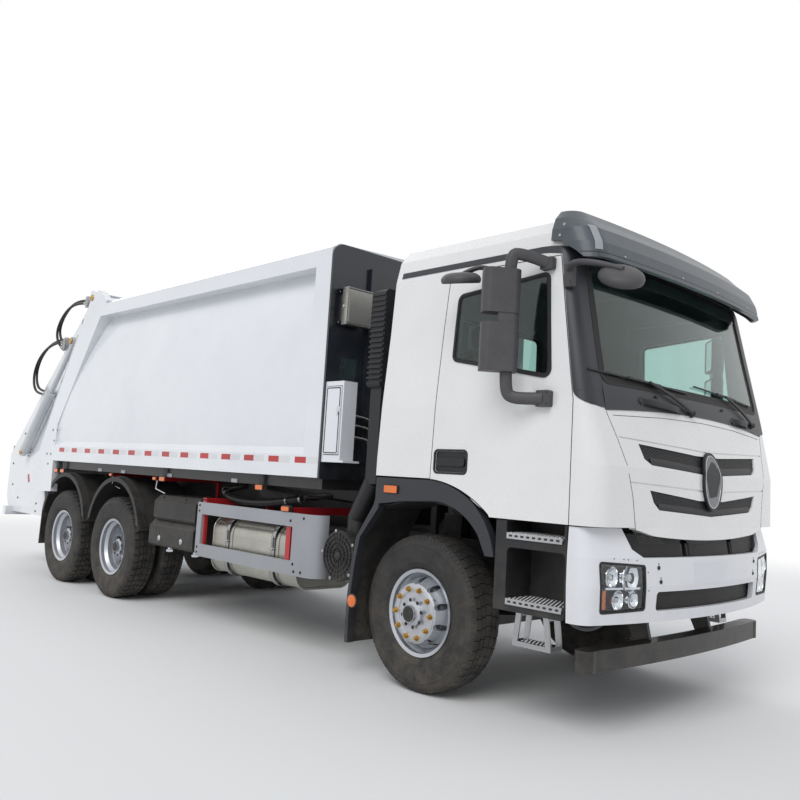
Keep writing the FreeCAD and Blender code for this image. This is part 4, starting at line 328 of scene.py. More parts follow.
finishLooks = {
    "bodyPaint": madeOf((229, 231, 235), (221, 224, 229), 0.24, coat=0.8, bump=0.02, grainScale=90, dust=0.12,
        dustLow=0.9, dustHigh=2),
    "cabPaint": madeOf((230, 230, 229), (223, 223, 223), 0.26, coat=0.8, bump=0.02, grainScale=110, dust=0.14,
        dustLow=0.6, dustHigh=1.7),
    "bumperPaint": madeOf((226, 227, 231), (219, 220, 225), 0.34, coat=0.45, bump=0.06, grainScale=150,
        dust=0.2, dustLow=0.5, dustHigh=1.2),
    "visorPlastic": madeOf((66, 76, 84), (58, 67, 75), 0.38, bump=0.25, grainScale=900, coat=0.15, dust=0.18,
        dustLow=2.6, dustHigh=3.4, dustTop=0.5),
    "pillarPlastic": madeOf((46, 48, 54), (40, 42, 47), 0.4, bump=0.3, grainScale=900, dust=0.12,
        dustHigh=1.5),
    "mirrorPlastic": madeOf((68, 67, 72), (60, 60, 64), 0.5, bump=0.4, grainScale=1000, dust=0.2, dustLow=1,
        dustHigh=4),
    "blackPlastic": madeOf((30, 31, 35), (24, 25, 28), 0.48, bump=0.4, grainScale=800, dust=0.28,
        dustHigh=1.4),
    "navyPaint": madeOf((26, 30, 41), (21, 25, 35), 0.3, coat=0.5, bump=0.06, grainScale=110, dust=0.12,
        dustLow=1.2, dustHigh=3.2),
    "chassisPaint": madeOf((24, 25, 28), (18, 19, 21), 0.42, coat=0.15, bump=0.25, grainScale=260, dust=0.32,
        dustHigh=1.5, wear=0.25),
    "guardBlack": madeOf((34, 35, 38), (28, 29, 32), 0.55, bump=0.35, grainScale=500, dust=0.4, dustLow=0.2,
        dustHigh=1.45),
    "tyreRubber": madeOf((40, 40, 42), (32, 32, 34), 0.72, bump=0.4, grainScale=420, dust=0.5, dustLow=-0.4,
        dustHigh=1.3, cloudScale=5),
    "rimPaint": madeOf((196, 199, 205), (182, 186, 192), 0.36, metal=0.75, bump=0.1, grainScale=400,
        dust=0.22, dustLow=0, dustHigh=1.2),
    "hubPaint": madeOf((46, 47, 50), (38, 39, 42), 0.5, metal=0.3, bump=0.3, grainScale=240, dust=0.35,
        dustHigh=1.1),
    "brassPlate": madeOf((196, 160, 92), (176, 140, 78), 0.34, metal=0.9, bump=0.1, grainScale=500),
    "guardGrey": madeOf((158, 161, 166), (148, 151, 157), 0.42, metal=0.15, bump=0.08, grainScale=200,
        dust=0.25, dustLow=0.4, dustHigh=1.3),
    "redPaint": madeOf((190, 34, 42), (170, 28, 36), 0.36, coat=0.3, bump=0.08, grainScale=180, dust=0.2,
        dustHigh=1.3),
    "brushedSteel": madeOf((200, 198, 192), (178, 177, 172), 0.3, metal=1, bump=0.12,
        stretch=(1, 1, 30), grainScale=60, speck=0.3, roughSpread=0.16),
    "tankMetal": madeOf((198, 196, 186), (168, 167, 160), 0.34, metal=1, bump=0.12, stretch=(1, 24, 24),
        grainScale=14, speck=0.35, roughSpread=0.2, dust=0.18),
    "treadMetal": madeOf((186, 188, 190), (160, 162, 165), 0.32, metal=1, bump=0.2, grainScale=160,
        dust=0.3, dustHigh=1.4),
    "bareSteel": madeOf((176, 176, 176), (150, 150, 152), 0.3, metal=1, bump=0.1, grainScale=300, dust=0.1),
    "darkSteel": madeOf((66, 68, 72), (52, 54, 58), 0.35, metal=0.8, bump=0.1, grainScale=300, dust=0.1),
    "chromeTrim": madeOf((214, 216, 220), (200, 202, 206), 0.1, metal=1, roughSpread=0.03),
    "packerGrey": madeOf((206, 209, 213), (192, 196, 201), 0.34, coat=0.4, bump=0.08, grainScale=140,
        dust=0.15, dustLow=0.6, dustHigh=2.2),
    "hopperSteel": madeOf((150, 153, 157), (128, 131, 136), 0.45, metal=0.4, bump=0.2, grainScale=90,
        dust=0.2, wear=0.2),
    "hoseRubber": madeOf((22, 22, 24), (30, 30, 33), 0.46, bump=0.3, grainScale=700),
    "sealRubber": madeOf((20, 20, 22), (26, 26, 28), 0.6, bump=0.2, grainScale=900),
    "dashPlastic": madeOf((58, 59, 63), (50, 51, 55), 0.6, bump=0.5, grainScale=900),
    "trimFabric": madeOf((120, 122, 126), (108, 110, 114), 0.85, bump=0.5, grainScale=1200, sheen=0.2),
    "seatFabric": madeOf((62, 64, 70), (46, 48, 54), 0.9, bump=0.7, grainScale=1400, speck=0.4, sheen=0.35),
    "amberLens": madeOf((232, 118, 32), (214, 98, 22), 0.16, coat=0.6, grainScale=260, bump=0.3),
    "redLens": madeOf((176, 22, 26), (150, 16, 20), 0.18, coat=0.6, grainScale=260, bump=0.3),
    "paleLens": madeOf((226, 228, 230), (205, 208, 212), 0.2, coat=0.6, grainScale=200, bump=0.4),
    "tapeRed": madeOf((186, 28, 34), (168, 20, 28), 0.3, coat=0.4, grainScale=500, bump=0.3),
    "tapeWhite": madeOf((222, 223, 225), (206, 208, 211), 0.3, coat=0.4, grainScale=500, bump=0.3),
    "reflector": madeOf((236, 238, 242), (220, 223, 228), 0.07, metal=1, roughSpread=0.02),
    "mirrorGlass": madeOf((214, 220, 224), (206, 212, 216), 0.04, metal=1, roughSpread=0.01),
    "lampGlass": madeOf((250, 252, 253), (244, 247, 249), 0.02, clear=1, roughSpread=0.01),
    "badgeDisc": madeOf((52, 60, 70), (44, 52, 62), 0.08, coat=1, metal=0.3),
    "plateSeat": madeOf((220, 221, 226), (214, 216, 221), 0.4, coat=0.3, bump=0.06, grainScale=150),
    # painted shade: dark tint that stands in for the visor's shadow across the screen's top
    "paintedVisorShade": madeOf((70, 84, 84), (64, 78, 78), 0.08, clear=0.6, roughSpread=0.01),
    "screenGlass": madeOf((196, 222, 216), (190, 217, 212), 0.02, clear=1, roughSpread=0.01),
}
finishes = {name: makeFinish(name, look) for name, look in finishLooks.items()}
print("finishes made:", len(finishes))


# CAD nodes take their finishes

finishNodes = {
    "chassisPaint": "chassis_frame engine_block front_axle drive_axles underrun_bar body_subframe",
    "bumperPaint": "front_bumper",
    "blackPlastic": "bumper_grille cab_steps air_intake panel_grille",
    "lampGlass": "headlamps",
    "treadMetal": "step_treads",
    "pillarPlastic": "arch_trims",
    "guardBlack": "mudguards tool_boxes",
    "guardGrey": "side_guards",
    "redPaint": "guard_brackets",
    "tankMetal": "fuel_tank",
    "hubPaint": "silencer",
    "bodyPaint": "refuse_body cabinet cabinet_door tailgate",
    "navyPaint": "bulkhead",
    "brushedSteel": "control_box",
    "hopperSteel": "ejector_plate hopper_trough",
    "cabPaint": "cab_shell front_panel",
    "screenGlass": "cab_glass",
    "visorPlastic": "roof_visor",
    "dashPlastic": "cab_interior",
    "mirrorPlastic": "front_mirror",
    "packerGrey": "packer_cylinders carriage sweep_blade bin_lifter lift_barrels",
    "bareSteel": "lift_rods",
}
sideNodes = {
    "cabPaint": "door",
    "screenGlass": "door_glass",
    "mirrorPlastic": "mirrors",
    "chassisPaint": "knuckle",
    "tyreRubber": "front_tyre middle_tyres rear_tyres",
    "rimPaint": "front_rim middle_rims rear_rims",
}
nodeFinish = {node: finish for finish, nodes in finishNodes.items() for node in nodes.split()}
for finish, nodes in sideNodes.items():
    for node in nodes.split():
        nodeFinish[node + "_right"] = nodeFinish[node + "_left"] = finish
for node, finish in nodeFinish.items():
    mesh = cadNodes[node].data
    mesh.materials.clear()
    mesh.materials.append(finishes[finish])
print("nodes without a finish:", sorted(set(cadNodes) - set(nodeFinish)))


# Shaping helpers

def roundLoop(corners, radius, arcSteps, edgeSteps=1):
    # closed outline with rounded corners; a corner's third value is its own radius
    loop = []
    count = len(corners)
    for index, corner in enumerate(corners):
        size = corner[2] if len(corner) == 3 else radius
        here = Vector(corner[:2])
        back = (Vector(corners[index - 1][:2]) - here).normalized()
        ahead = (Vector(corners[(index + 1) % count][:2]) - here).normalized()
        half = back.angle(ahead) / 2
        if size <= 0 or half > pi / 2 - 0.01:
            loop += [here.copy() for _ in range(arcSteps + 1)]
            continue
        centre = here + (back + ahead).normalized() * (size / sin(half))
        start = here + back * (size / tan(half)) - centre
        end = here + ahead * (size / tan(half)) - centre
        turn = pi - 2 * half
        if start.x * end.y - start.y * end.x < 0:
            turn = -turn
        for step in range(arcSteps + 1):
            angle = turn * step / arcSteps
            loop.append(centre + Vector((start.x * cos(angle) - start.y * sin(angle),
                start.x * sin(angle) + start.y * cos(angle))))
    if edgeSteps == 1:
        return loop
    fine = []
    for index, point in enumerate(loop):
        after = loop[(index + 1) % len(loop)]
        steps = edgeSteps if (index + 1) % (arcSteps + 1) == 0 else 1
        fine += [point.lerp(after, step / steps) for step in range(steps)]
    return fine


def rectLoop(a0, a1, b0, b1, radius, arcSteps=6, edgeSteps=1):
    return roundLoop([(a0, b0), (a1, b0), (a1, b1), (a0, b1)], radius, arcSteps, edgeSteps)


def grownLoop(loop, grow):
    # the same outline moved outwards, point for point
    count = len(loop)
    area = sum(loop[i].x * loop[(i + 1) % count].y - loop[(i + 1) % count].x * loop[i].y for i in range(count))
    way = 1 if area > 0 else -1
    moved = []
    for index, point in enumerate(loop):
        before = after = point
        step = 1
        while (before - point).length < 1e-5:
            before = loop[index - step]
            step += 1
        step = 1
        while (after - point).length < 1e-5:
            after = loop[(index + step) % count]
            step += 1
        one = (point - before).normalized()
        two = (after - point).normalized()
        normal = Vector((one.y + two.y, -one.x - two.x)).normalized()
        reach = max(0.5, normal.dot(Vector((one.y, -one.x))))
        moved.append(point + normal * (way * grow / reach))
    return moved


flat = {
    "x": lambda a, b, depth: Vector((depth, a, b)),
    "y": lambda a, b, depth: Vector((a, depth, b)),
    "z": lambda a, b, depth: Vector((a, b, depth)),
}
latheBasis = {
    "x": Matrix(((0, 0, 1), (1, 0, 0), (0, 1, 0))),
    "y": Matrix(((1, 0, 0), (0, 0, 1), (0, 1, 0))),
    "z": Matrix.Identity(3),
}


def moved(place):
    return Matrix.Translation(Vector(place))


def rotated(angle, axis):
    return Matrix.Rotation(radians(angle), 4, axis)


def spread(start, end, steps):
    return [start + (end - start) * step / steps for step in range(steps + 1)]


def joinRings(made, one, two):
    # faces between two closed rings of vertices; a ring of one vertex is a tip
    count = max(len(one), len(two))
    for step in range(count if count > 1 else 0):
        after = (step + 1) % count
        if len(one) == 1:
            made.faces.new((one[0], two[step], two[after]))
        elif len(two) == 1:
            made.faces.new((one[step], one[after], two[0]))
        else:
            made.faces.new((one[step], one[after], two[after], two[step]))


class Shape:
    # gathers the faces of one piece; finish picks the material slot of what is added next
    def __init__(self):
        self.bm = bmesh.new()
        self.finish = 0

    def merge(self, made, finish):
        for face in made.faces:
            face.material_index = finish
        mesh = bpy.data.meshes.new("part")
        made.to_mesh(mesh)
        made.free()
        self.bm.from_mesh(mesh)
        bpy.data.meshes.remove(mesh)

    def add(self, made, bevel=0, segments=2, angle=30):
        if bevel > 0:
            sharp = [edge for edge in made.edges
                     if len(edge.link_faces) == 2 and edge.calc_face_angle(0) > radians(angle)]
            bmesh.ops.bevel(made, geom=sharp, offset=bevel, segments=segments, affect="EDGES", profile=0.5,
                clamp_overlap=True)
        bmesh.ops.recalc_face_normals(made, faces=made.faces)
        self.merge(made, self.finish)

    def box(self, low, high, bevel, segments=2, lean=0):
        made = bmesh.new()
        bmesh.ops.create_cube(made, size=1)
        size = [abs(b - a) for a, b in zip(low, high)]
        matrix = moved((Vector(low) + Vector(high)) / 2) @ rotated(lean, "Y") @ Matrix.Diagonal((*size, 1))
        bmesh.ops.transform(made, matrix=matrix, verts=made.verts)
        self.add(made, bevel, segments)

    def prism(self, loop, axis, start, end, bevel=0, segments=2, angle=30):
        # outline in the plane across an axis, thick along it
        made = bmesh.new()
        place = flat[axis] if isinstance(axis, str) else axis
        tidy = [p for i, p in enumerate(loop) if (Vector(p) - Vector(loop[i - 1])).length > 1e-5]
        rings = [[made.verts.new(place(p[0], p[1], depth)) for p in tidy] for depth in (start, end)]
        for ring in rings:
            made.faces.new(ring)
        joinRings(made, *rings)
        self.add(made, bevel, segments, angle)

    def band(self, outer, inner, place, back, front, bevel=0):
        # closed ring between two outlines of as many points; place(a, b, depth) puts a point on its surface
        made = bmesh.new()
        levels = ((outer, back), (outer, front), (inner, front), (inner, back))
        rings = [[made.verts.new(place(p[0], p[1], depth)) for p in loop] for loop, depth in levels]
        for index in range(4):
            joinRings(made, rings[index], rings[(index + 1) % 4])
        bmesh.ops.remove_doubles(made, verts=made.verts, dist=1e-6)
        self.add(made, bevel, 1, 50)

    def edging(self, loop, outer, inner, *more):
        # ring along an outline, between two distances from it
        self.band(grownLoop(loop, outer), grownLoop(loop, inner), *more)

    def plate(self, front, back):
        # closed plate between two grids of as many points
        made = bmesh.new()
        one, two = ([[made.verts.new(point) for point in row] for row in grid] for grid in (front, back))
        high, wide = len(front), len(front[0])
        for i in range(high - 1):
            for j in range(wide - 1):
                made.faces.new((one[i][j], one[i + 1][j], one[i + 1][j + 1], one[i][j + 1]))
                made.faces.new((two[i][j], two[i][j + 1], two[i + 1][j + 1], two[i + 1][j]))
        for i in range(high - 1):
            for j in (0, wide - 1):
                made.faces.new((one[i][j], one[i + 1][j], two[i + 1][j], two[i][j]))
        for j in range(wide - 1):
            for i in (0, high - 1):
                made.faces.new((one[i][j], one[i][j + 1], two[i][j + 1], two[i][j]))
        self.add(made)

    def sheet(self, rows, place, front, back):
        # closed plate over rows of (a, b) points, between two depths of a surface
        self.plate(*([[place(*point, depth) for point in row] for row in rows] for depth in (front, back)))

    def lathe(self, profile, centre, axis, steps, closed=False):
        # profile of (radius, along) turned about a line through centre
        made = bmesh.new()
        if isinstance(axis, str):
            basis = latheBasis[axis]
        else:
            basis = Vector(axis).normalized().to_track_quat("Z", "Y").to_matrix()
        angles = [2 * pi * step / steps for step in range(steps)]
        rings = []
        for radius, along in profile:
            spots = [Vector((radius * cos(a), radius * sin(a), along))
                for a in (angles if radius > 1e-6 else [0])]
            rings.append([made.verts.new(basis @ spot + Vector(centre)) for spot in spots])
        for one, two in zip(rings, rings[1:] + (rings[:1] if closed else [])):
            joinRings(made, one, two)
        self.add(made)

    def disc(self, profile, centre, axis, steps):
        # turned profile closed by flat ends
        self.lathe([(0, profile[0][1]), *profile, (0, profile[-1][1])], centre, axis, steps)

    def rod(self, start, end, radius, steps=20, bevel=0):
        along = Vector(end) - Vector(start)
        cut = min(bevel, radius * 0.5)
        length = along.length
        profile = [(0, 0), (radius, 0), (radius, length), (0, length)]
        if cut > 0:
            profile[1:3] = [(radius - cut, 0), (radius, cut), (radius, length - cut), (radius - cut, length)]
        self.lathe(profile, start, along, steps)

    def pipe(self, points, radius, sides=3, resolution=5):
        # round pipe or hose on a smooth curve through a few given points
        data = bpy.data.curves.new("pipe", "CURVE")
        data.dimensions = "3D"
        spline = data.splines.new("NURBS")
        spline.points.add(len(points) - 1)
        for point, place in zip(spline.points, points):
            point.co = (*place, 1)
        spline.use_endpoint_u = True
        spline.order_u = 3
        data.resolution_u = resolution
        data.bevel_depth = radius
        data.bevel_resolution = sides
        data.use_fill_caps = True
        holder = linkObject("pipe", data)
        bpy.context.view_layer.update()
        mesh = bpy.data.meshes.new_from_object(holder.evaluated_get(bpy.context.evaluated_depsgraph_get()))
        bpy.data.objects.remove(holder)
        bpy.data.curves.remove(data)
        made = bmesh.new()
        made.from_mesh(mesh)
        bmesh.ops.remove_doubles(made, verts=made.verts, dist=1e-5)
        bpy.data.meshes.remove(mesh)
        self.add(made)

    def copyOf(self, mesh, matrix, finish=None):
        made = bmesh.new()
        made.from_mesh(mesh)
        bmesh.ops.transform(made, matrix=matrix, verts=made.verts)
        if matrix.to_3x3().determinant() < 0:
            bmesh.ops.reverse_faces(made, faces=made.faces)
        self.merge(made, self.finish if finish is None else finish)

    def mirrorOver(self):
        # adds the same again on the other side of the truck
        geometry = self.bm.verts[:] + self.bm.edges[:] + self.bm.faces[:]
        copied = bmesh.ops.duplicate(self.bm, geom=geometry)["geom"]
        verts = [item for item in copied if isinstance(item, bmesh.types.BMVert)]
        faces = [item for item in copied if isinstance(item, bmesh.types.BMFace)]
        for vert in verts:
            vert.co.y = -vert.co.y
        bmesh.ops.reverse_faces(self.bm, faces=faces)

    def done(self, name, body, *looks, replaces=(), smooth=38):
        for vert in self.bm.verts:
            vert.co.x += frontAxleX
        mesh = bpy.data.meshes.new(name)
        self.bm.to_mesh(mesh)
        self.bm.free()
        for look in looks:
            mesh.materials.append(finishes[look])
        mesh.polygons.foreach_set("use_smooth", [True] * len(mesh.polygons))
        mesh.set_sharp_from_angle(angle=radians(smooth))
        piece = linkObject(name, mesh)
        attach(piece, body)
        if replaces:
            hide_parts(*replaces)
        return piece


# Geometry Nodes trees for what repeats

def newTree(name, inputs):
    tree = bpy.data.node_groups.new(name, "GeometryNodeTree")
    tree.interface.new_socket(name="Geometry", in_out="OUTPUT", socket_type="NodeSocketGeometry")
    kinds = {int: "NodeSocketInt", float: "NodeSocketFloat"}
    shared = [("Part", "NodeSocketObject"), ("Finish", "NodeSocketMaterial")]
    for label, value in shared + inputs:
        tree.interface.new_socket(name=label, in_out="INPUT", socket_type=kinds.get(type(value), value))
    return tree, tree.nodes.new("NodeGroupInput").outputs, tree.nodes.new("NodeGroupOutput")


def scatterOn(tree, given, points, turn=None):
    part = addNode(tree, "GeometryNodeObjectInfo", {"Object": given["Part"]}).outputs["Geometry"]
    inputs = {"Points": points, "Instance": part}
    if turn is not None:
        inputs["Rotation"] = turn
    return addNode(tree, "GeometryNodeInstanceOnPoints", inputs).outputs[0]


def closeTree(tree, given, result, geometry):
    # every tree ends in real geometry with its finish set
    real = addNode(tree, "GeometryNodeRealizeInstances", {0: geometry}).outputs[0]
    inputs = {"Geometry": real, "Material": given["Finish"]}
    tree.links.new(addNode(tree, "GeometryNodeSetMaterial", inputs).outputs[0], result.inputs[0])
    return tree


def buildRingTree():
    # copies of a shape on a circle about Z, each turned to face outwards
    tree, given, result = newTree("ringOfParts", [("Count", 8), ("Radius", 0.1), ("Phase", 0.0)])
    circle = addNode(tree, "GeometryNodeCurvePrimitiveCircle", {"Radius": given["Radius"]}).outputs[0]
    points = addNode(tree, "GeometryNodeCurveToPoints", {0: circle, "Count": given["Count"]}).outputs["Points"]
    index = tree.nodes.new("GeometryNodeInputIndex").outputs[0]
    angle = mathNode(tree, "MULTIPLY", index, mathNode(tree, "DIVIDE", 2 * pi, given["Count"]))
    turn = addNode(tree, "ShaderNodeCombineXYZ", {"Z": angle}).outputs[0]
    phase = addNode(tree, "ShaderNodeCombineXYZ", {"Z": given["Phase"]}).outputs[0]
    ring = scatterOn(tree, given, points, turn)
    turned = addNode(tree, "GeometryNodeTransform", {"Geometry": ring, "Rotation": phase}).outputs[0]
    return closeTree(tree, given, result, turned)


def buildGridTree():
    # copies of a shape in rows and columns on the XY plane; every other row moves by Stagger
    tree, given, result = newTree("gridOfParts", [("Columns", 8), ("Rows", 8), ("Column Step", 0.01),
        ("Row Step", 0.01), ("Stagger", 0.0)])
    total = mathNode(tree, "MULTIPLY", given["Columns"], given["Rows"])
    line = addNode(tree, "GeometryNodeMeshLine", {"Count": total}).outputs[0]
    index = tree.nodes.new("GeometryNodeInputIndex").outputs[0]
    share = mathNode(tree, "ADD", mathNode(tree, "DIVIDE", index, given["Columns"]), 0.0001)
    row = mathNode(tree, "FLOOR", share)
    column = mathNode(tree, "SUBTRACT", index, mathNode(tree, "MULTIPLY", row, given["Columns"]))
    shift = mathNode(tree, "MULTIPLY", mathNode(tree, "MODULO", row, 2.0), given["Stagger"])
    along = mathNode(tree, "ADD", mathNode(tree, "MULTIPLY", column, given["Column Step"]), shift)
    up = mathNode(tree, "MULTIPLY", row, given["Row Step"])
    place = addNode(tree, "ShaderNodeCombineXYZ", {"X": along, "Y": up}).outputs[0]
    points = addNode(tree, "GeometryNodeSetPosition", {"Geometry": line, "Position": place}).outputs[0]
    return closeTree(tree, given, result, scatterOn(tree, given, points))


repeatTrees = {"ring": buildRingTree(), "grid": buildGridTree()}


def grow(treeName, **values):
    # runs a tree with these inputs and gives its plain mesh
    tree = repeatTrees[treeName]
    holder = linkObject("holder", bpy.data.meshes.new("holder"))
    modifier = holder.modifiers.new("repeat", "NODES")
    modifier.node_group = tree
    for item in tree.interface.items_tree:
        if item.in_out == "INPUT" and item.name.replace(" ", "") in values:
            modifier[item.identifier] = values[item.name.replace(" ", "")]
    bpy.context.view_layer.update()
    mesh = bpy.data.meshes.new_from_object(holder.evaluated_get(bpy.context.evaluated_depsgraph_get()))
    holder.modifiers.clear()
    bpy.data.objects.remove(holder)
    return mesh


def unitPart(name, build):
    # a small shape about its own origin that the trees repeat; it is never shown itself
    shape = Shape()
    build(shape)
    mesh = bpy.data.meshes.new(name)
    shape.bm.to_mesh(mesh)
    shape.bm.free()
    return bpy.data.objects.new(name, mesh)


def hexLoop(radius):
    angles = [radians(60 * i) for i in range(6)]
    return [(radius * cos(angle), radius * sin(angle)) for angle in angles]


def wheelNut(shape):
    shape.prism(hexLoop(0.0175), "z", 0, 0.022, bevel=0.002)
    shape.lathe([(0.015, 0), (0.021, 0), (0.021, 0.004), (0.0165, 0.006)], (0, 0, 0), "z", 16, closed=True)
    shape.disc([(0.011, 0.02), (0.011, 0.032), (0.009, 0.035)], (0, 0, 0), "z", 12)


def smallBolt(shape):
    shape.prism(hexLoop(0.009), "z", 0, 0.007, bevel=0.001)
    shape.lathe([(0.006, 0), (0.013, 0), (0.013, 0.002), (0.006, 0.002)], (0, 0, 0), "z", 14, closed=True)


unitParts = {"nut": unitPart("unitNut", wheelNut), "bolt": unitPart("unitBolt", smallBolt)}
wayTo = {
    "-x": rotated(-90, "Y"),
    "y": rotated(-90, "X"),
    "-y": rotated(90, "X"),
}


def ringOf(part, count, radius, centre, way, phase=0.0):
    mesh = grow("ring", Part=unitParts[part], Count=count, Radius=radius, Phase=phase)
    return mesh, moved(centre) @ wayTo[way]


def gridOf(part, columns, rows, columnStep, rowStep, stagger=0):
    return grow("grid", Part=unitParts[part], Columns=columns, Rows=rows, ColumnStep=columnStep,
        RowStep=rowStep, Stagger=stagger)


def boltsAt(shape, places, way, size=1):
    for place in places:
        shape.copyOf(unitParts["bolt"].data, moved(place) @ wayTo[way] @ Matrix.Scale(size, 4))


def sideBolts(shape, places, face, size):
    # bolts at (x, z) on a face of the right side
    boltsAt(shape, [(x, -face, z) for x, z in places], "-y", size)



print("helpers ready")


# Outsides that pieces are laid on

class Skin:
    # outside given by levels of (height, half width, nose, corner radius)
    # along runs round it from the nose's middle
    def __init__(self, bow, *levels):
        self.bow = bow
        self.levels = levels

    def at(self, z):
        z = min(max(z, self.levels[0][0]), self.levels[-1][0])
        for low, high in zip(self.levels, self.levels[1:]):
            if z <= high[0]:
                part = (z - low[0]) / (high[0] - low[0])
                return [a + (b - a) * part for a, b in zip(low[1:], high[1:])]

    def corner(self, z):
        half, nose, radius = self.at(z)
        reach = self.bow - radius
        turn = asin((half - radius) / reach)
        return half, nose, radius, turn, nose - self.bow + reach * cos(turn)

    def walk(self, z, along, out):
        half, nose, radius, turn, cornerX = self.corner(z)
        side = 1 if along >= 0 else -1
        rest = abs(along) - self.bow * turn
        arc = radius * (pi / 2 - turn)
        if rest <= 0:
            angle = abs(along) / self.bow
            x, y = nose - self.bow + (self.bow + out) * cos(angle), (self.bow + out) * sin(angle)
        elif rest <= arc:
            angle = turn + rest / radius
            x, y = cornerX + (radius + out) * cos(angle), half - radius + (radius + out) * sin(angle)
        else:
            x, y = cornerX - (rest - arc), half + out
        return Vector((x, side * y, z))

    def alongAtY(self, z, y):
        half, nose, radius, turn, cornerX = self.corner(z)
        if abs(y) <= self.bow * sin(turn):
            reach = self.bow * asin(abs(y) / self.bow)
        else:
            angle = asin(min(1, (abs(y) - half + radius) / radius))
            reach = self.bow * turn + radius * (angle - turn)
        return copysign(reach, y)

    def alongAtX(self, z, x, side):
        half, nose, radius, turn, cornerX = self.corner(z)
        if x >= cornerX:
            angle = max(turn, acos(min(1, (x - cornerX) / radius)))
            return side * (self.bow * turn + radius * (angle - turn))
        return side * (self.bow * turn + radius * (pi / 2 - turn) + cornerX - x)

    def front(self, y, z, out=0):
        return self.walk(z, self.alongAtY(z, y), out)

    def side(self, x, z, side, out):
        return self.walk(z, self.alongAtX(z, x, side), out)

    def onSide(self, side):
        return lambda x, z, out: self.side(x, z, side, out)


cabSkin = Skin(9, (1.16, 1.25, 1.572, 0.17), (1.245, 1.25, 1.566, 0.17), (1.6, 1.25, 1.56, 0.15),
    (1.955, 1.25, 1.478, 0.1), (2.06, 1.246, 1.455, 0.096), (2.5, 1.222, 1.352, 0.086),
    (2.9, 1.193, 1.262, 0.076), (3.06, 1.15, 1.205, 0.09), (3.15, 1.085, 1.14, 0.11), (3.195, 0.95, 1.01, 0.16))
bumperSkin = Skin(4.2, (0.687, 1.238, 1.604, 0.09), (0.9, 1.248, 1.62, 0.11), (1.068, 1.248, 1.616, 0.12),
    (1.237, 1.238, 1.56, 0.06))
visorSkin = Skin(9, (2.856, 1.205, 1.462, 0.17), (2.96, 1.205, 1.438, 0.17), (3.06, 1.195, 1.385, 0.17),
    (3.14, 1.165, 1.29, 0.15), (3.2, 1.11, 1.23, 0.1))


def layPatch(shape, surface, rows, out, thickness):
    # rows of (height, from, to) measured along the outside make a closed sheet
    grid = [[(z, along) for along in spread(start, end, 14)] for z, start, end in rows]
    shape.sheet(grid, surface.walk, out, out - thickness)


def layLine(shape, surface, path, width, out):
    # thin line on the front through points (y, z)
    for start, end in zip(path, path[1:]):
        one, two = Vector(start), Vector(end)
        steps = max(1, int((two - one).length / 0.05))
        across = Vector((one.y - two.y, two.x - one.x)).normalized() * width / 2
        rows = [[one.lerp(two, part) + across * s for s in (-1, 1)] for part in spread(0, 1, steps)]
        shape.sheet(rows, surface.front, out, out - 0.001)


# Tyres

tyreLook = {
    "radius": 0.537,
    "rib": ((-0.112, -0.076), (-0.066, -0.036), (-0.026, 0.026), (0.036, 0.066), (0.076, 0.112)),
    "block": ((-0.112, -0.07), (-0.058, -0.02), (-0.01, 0.01), (0.02, 0.058), (0.07, 0.112)),
    "ribPitches": 48,
    "blockPitches": 44,
    "grooveDepth": 0.014,
    "ribSlit": 0.1,
    "blockSlit": 0.2,
    "ribZigzag": 0.0035,
    "blockZigzag": 0.002,
}
carcass = [(0.285, 0.1045), (0.296, 0.1075), (0.304, 0.1125), (0.309, 0.119), (0.312, 0.12), (0.315, 0.123),
    (0.33, 0.13), (0.344, 0.1352), (0.346, 0.1368), (0.352, 0.1374), (0.354, 0.1362), (0.37, 0.1396),
    (0.3895, 0.1421), (0.4145, 0.1424), (0.4395, 0.1421), (0.46, 0.1402), (0.462, 0.1412), (0.468, 0.1404),
    (0.47, 0.1388), (0.491, 0.1343), (0.498, 0.1318), (0.505, 0.127), (0.519, 0.118), (0.5232, 0.113)]


def treadRow(rows, pitch, zigzag, slit):
    # one step of tread across the whole tyre, blocks standing on the groove's floor
    look = tyreLook

    def build(shape):
        step = 2 * pi / pitch
        for number, (start, end) in enumerate(rows):
            gap = slit if number in (0, len(rows) - 1) else slit * 0.8
            lag = (0, 0.25, 0.5, 0.25, 0)[number] * step * 0.6
            a0, a1 = -step / 2 * (1 - gap) + lag, step / 2 * (1 - gap) + lag
            outer0 = start if number == 0 else start - zigzag
            outer1 = end if number == len(rows) - 1 else end + zigzag
            middle = (a0 + a1) / 2
            loop = [(a0, start), (middle, outer0), (a1, start), (a1, end), (middle, outer1), (a0, end)]

            def place(a, y, depth):
                r = look["radius"] - max(0, abs(y) - 0.088) ** 2 * 12 - depth
                return Vector((r * cos(a), r * sin(a), y))

            shape.prism(loop, place, look["grooveDepth"] + 0.004, 0.0006, bevel=0.0022, segments=1, angle=50)
    return build


for kind in ("rib", "block"):
    build = treadRow(*(tyreLook[kind + key] for key in ("", "Pitches", "Zigzag", "Slit")))
    unitParts[kind + "Row"] = unitPart("unit" + kind.title() + "Row", build)


def shoulderLug(shape):
    # short bar on the tyre's shoulder, as moulded between the tread and the sidewall
    shape.box((0.4985, -0.0035, 0.119), (0.523, 0.0035, 0.1275), bevel=0.0015, segments=1, lean=32)


unitParts["lug"] = unitPart("unitShoulderLug", shoulderLug)


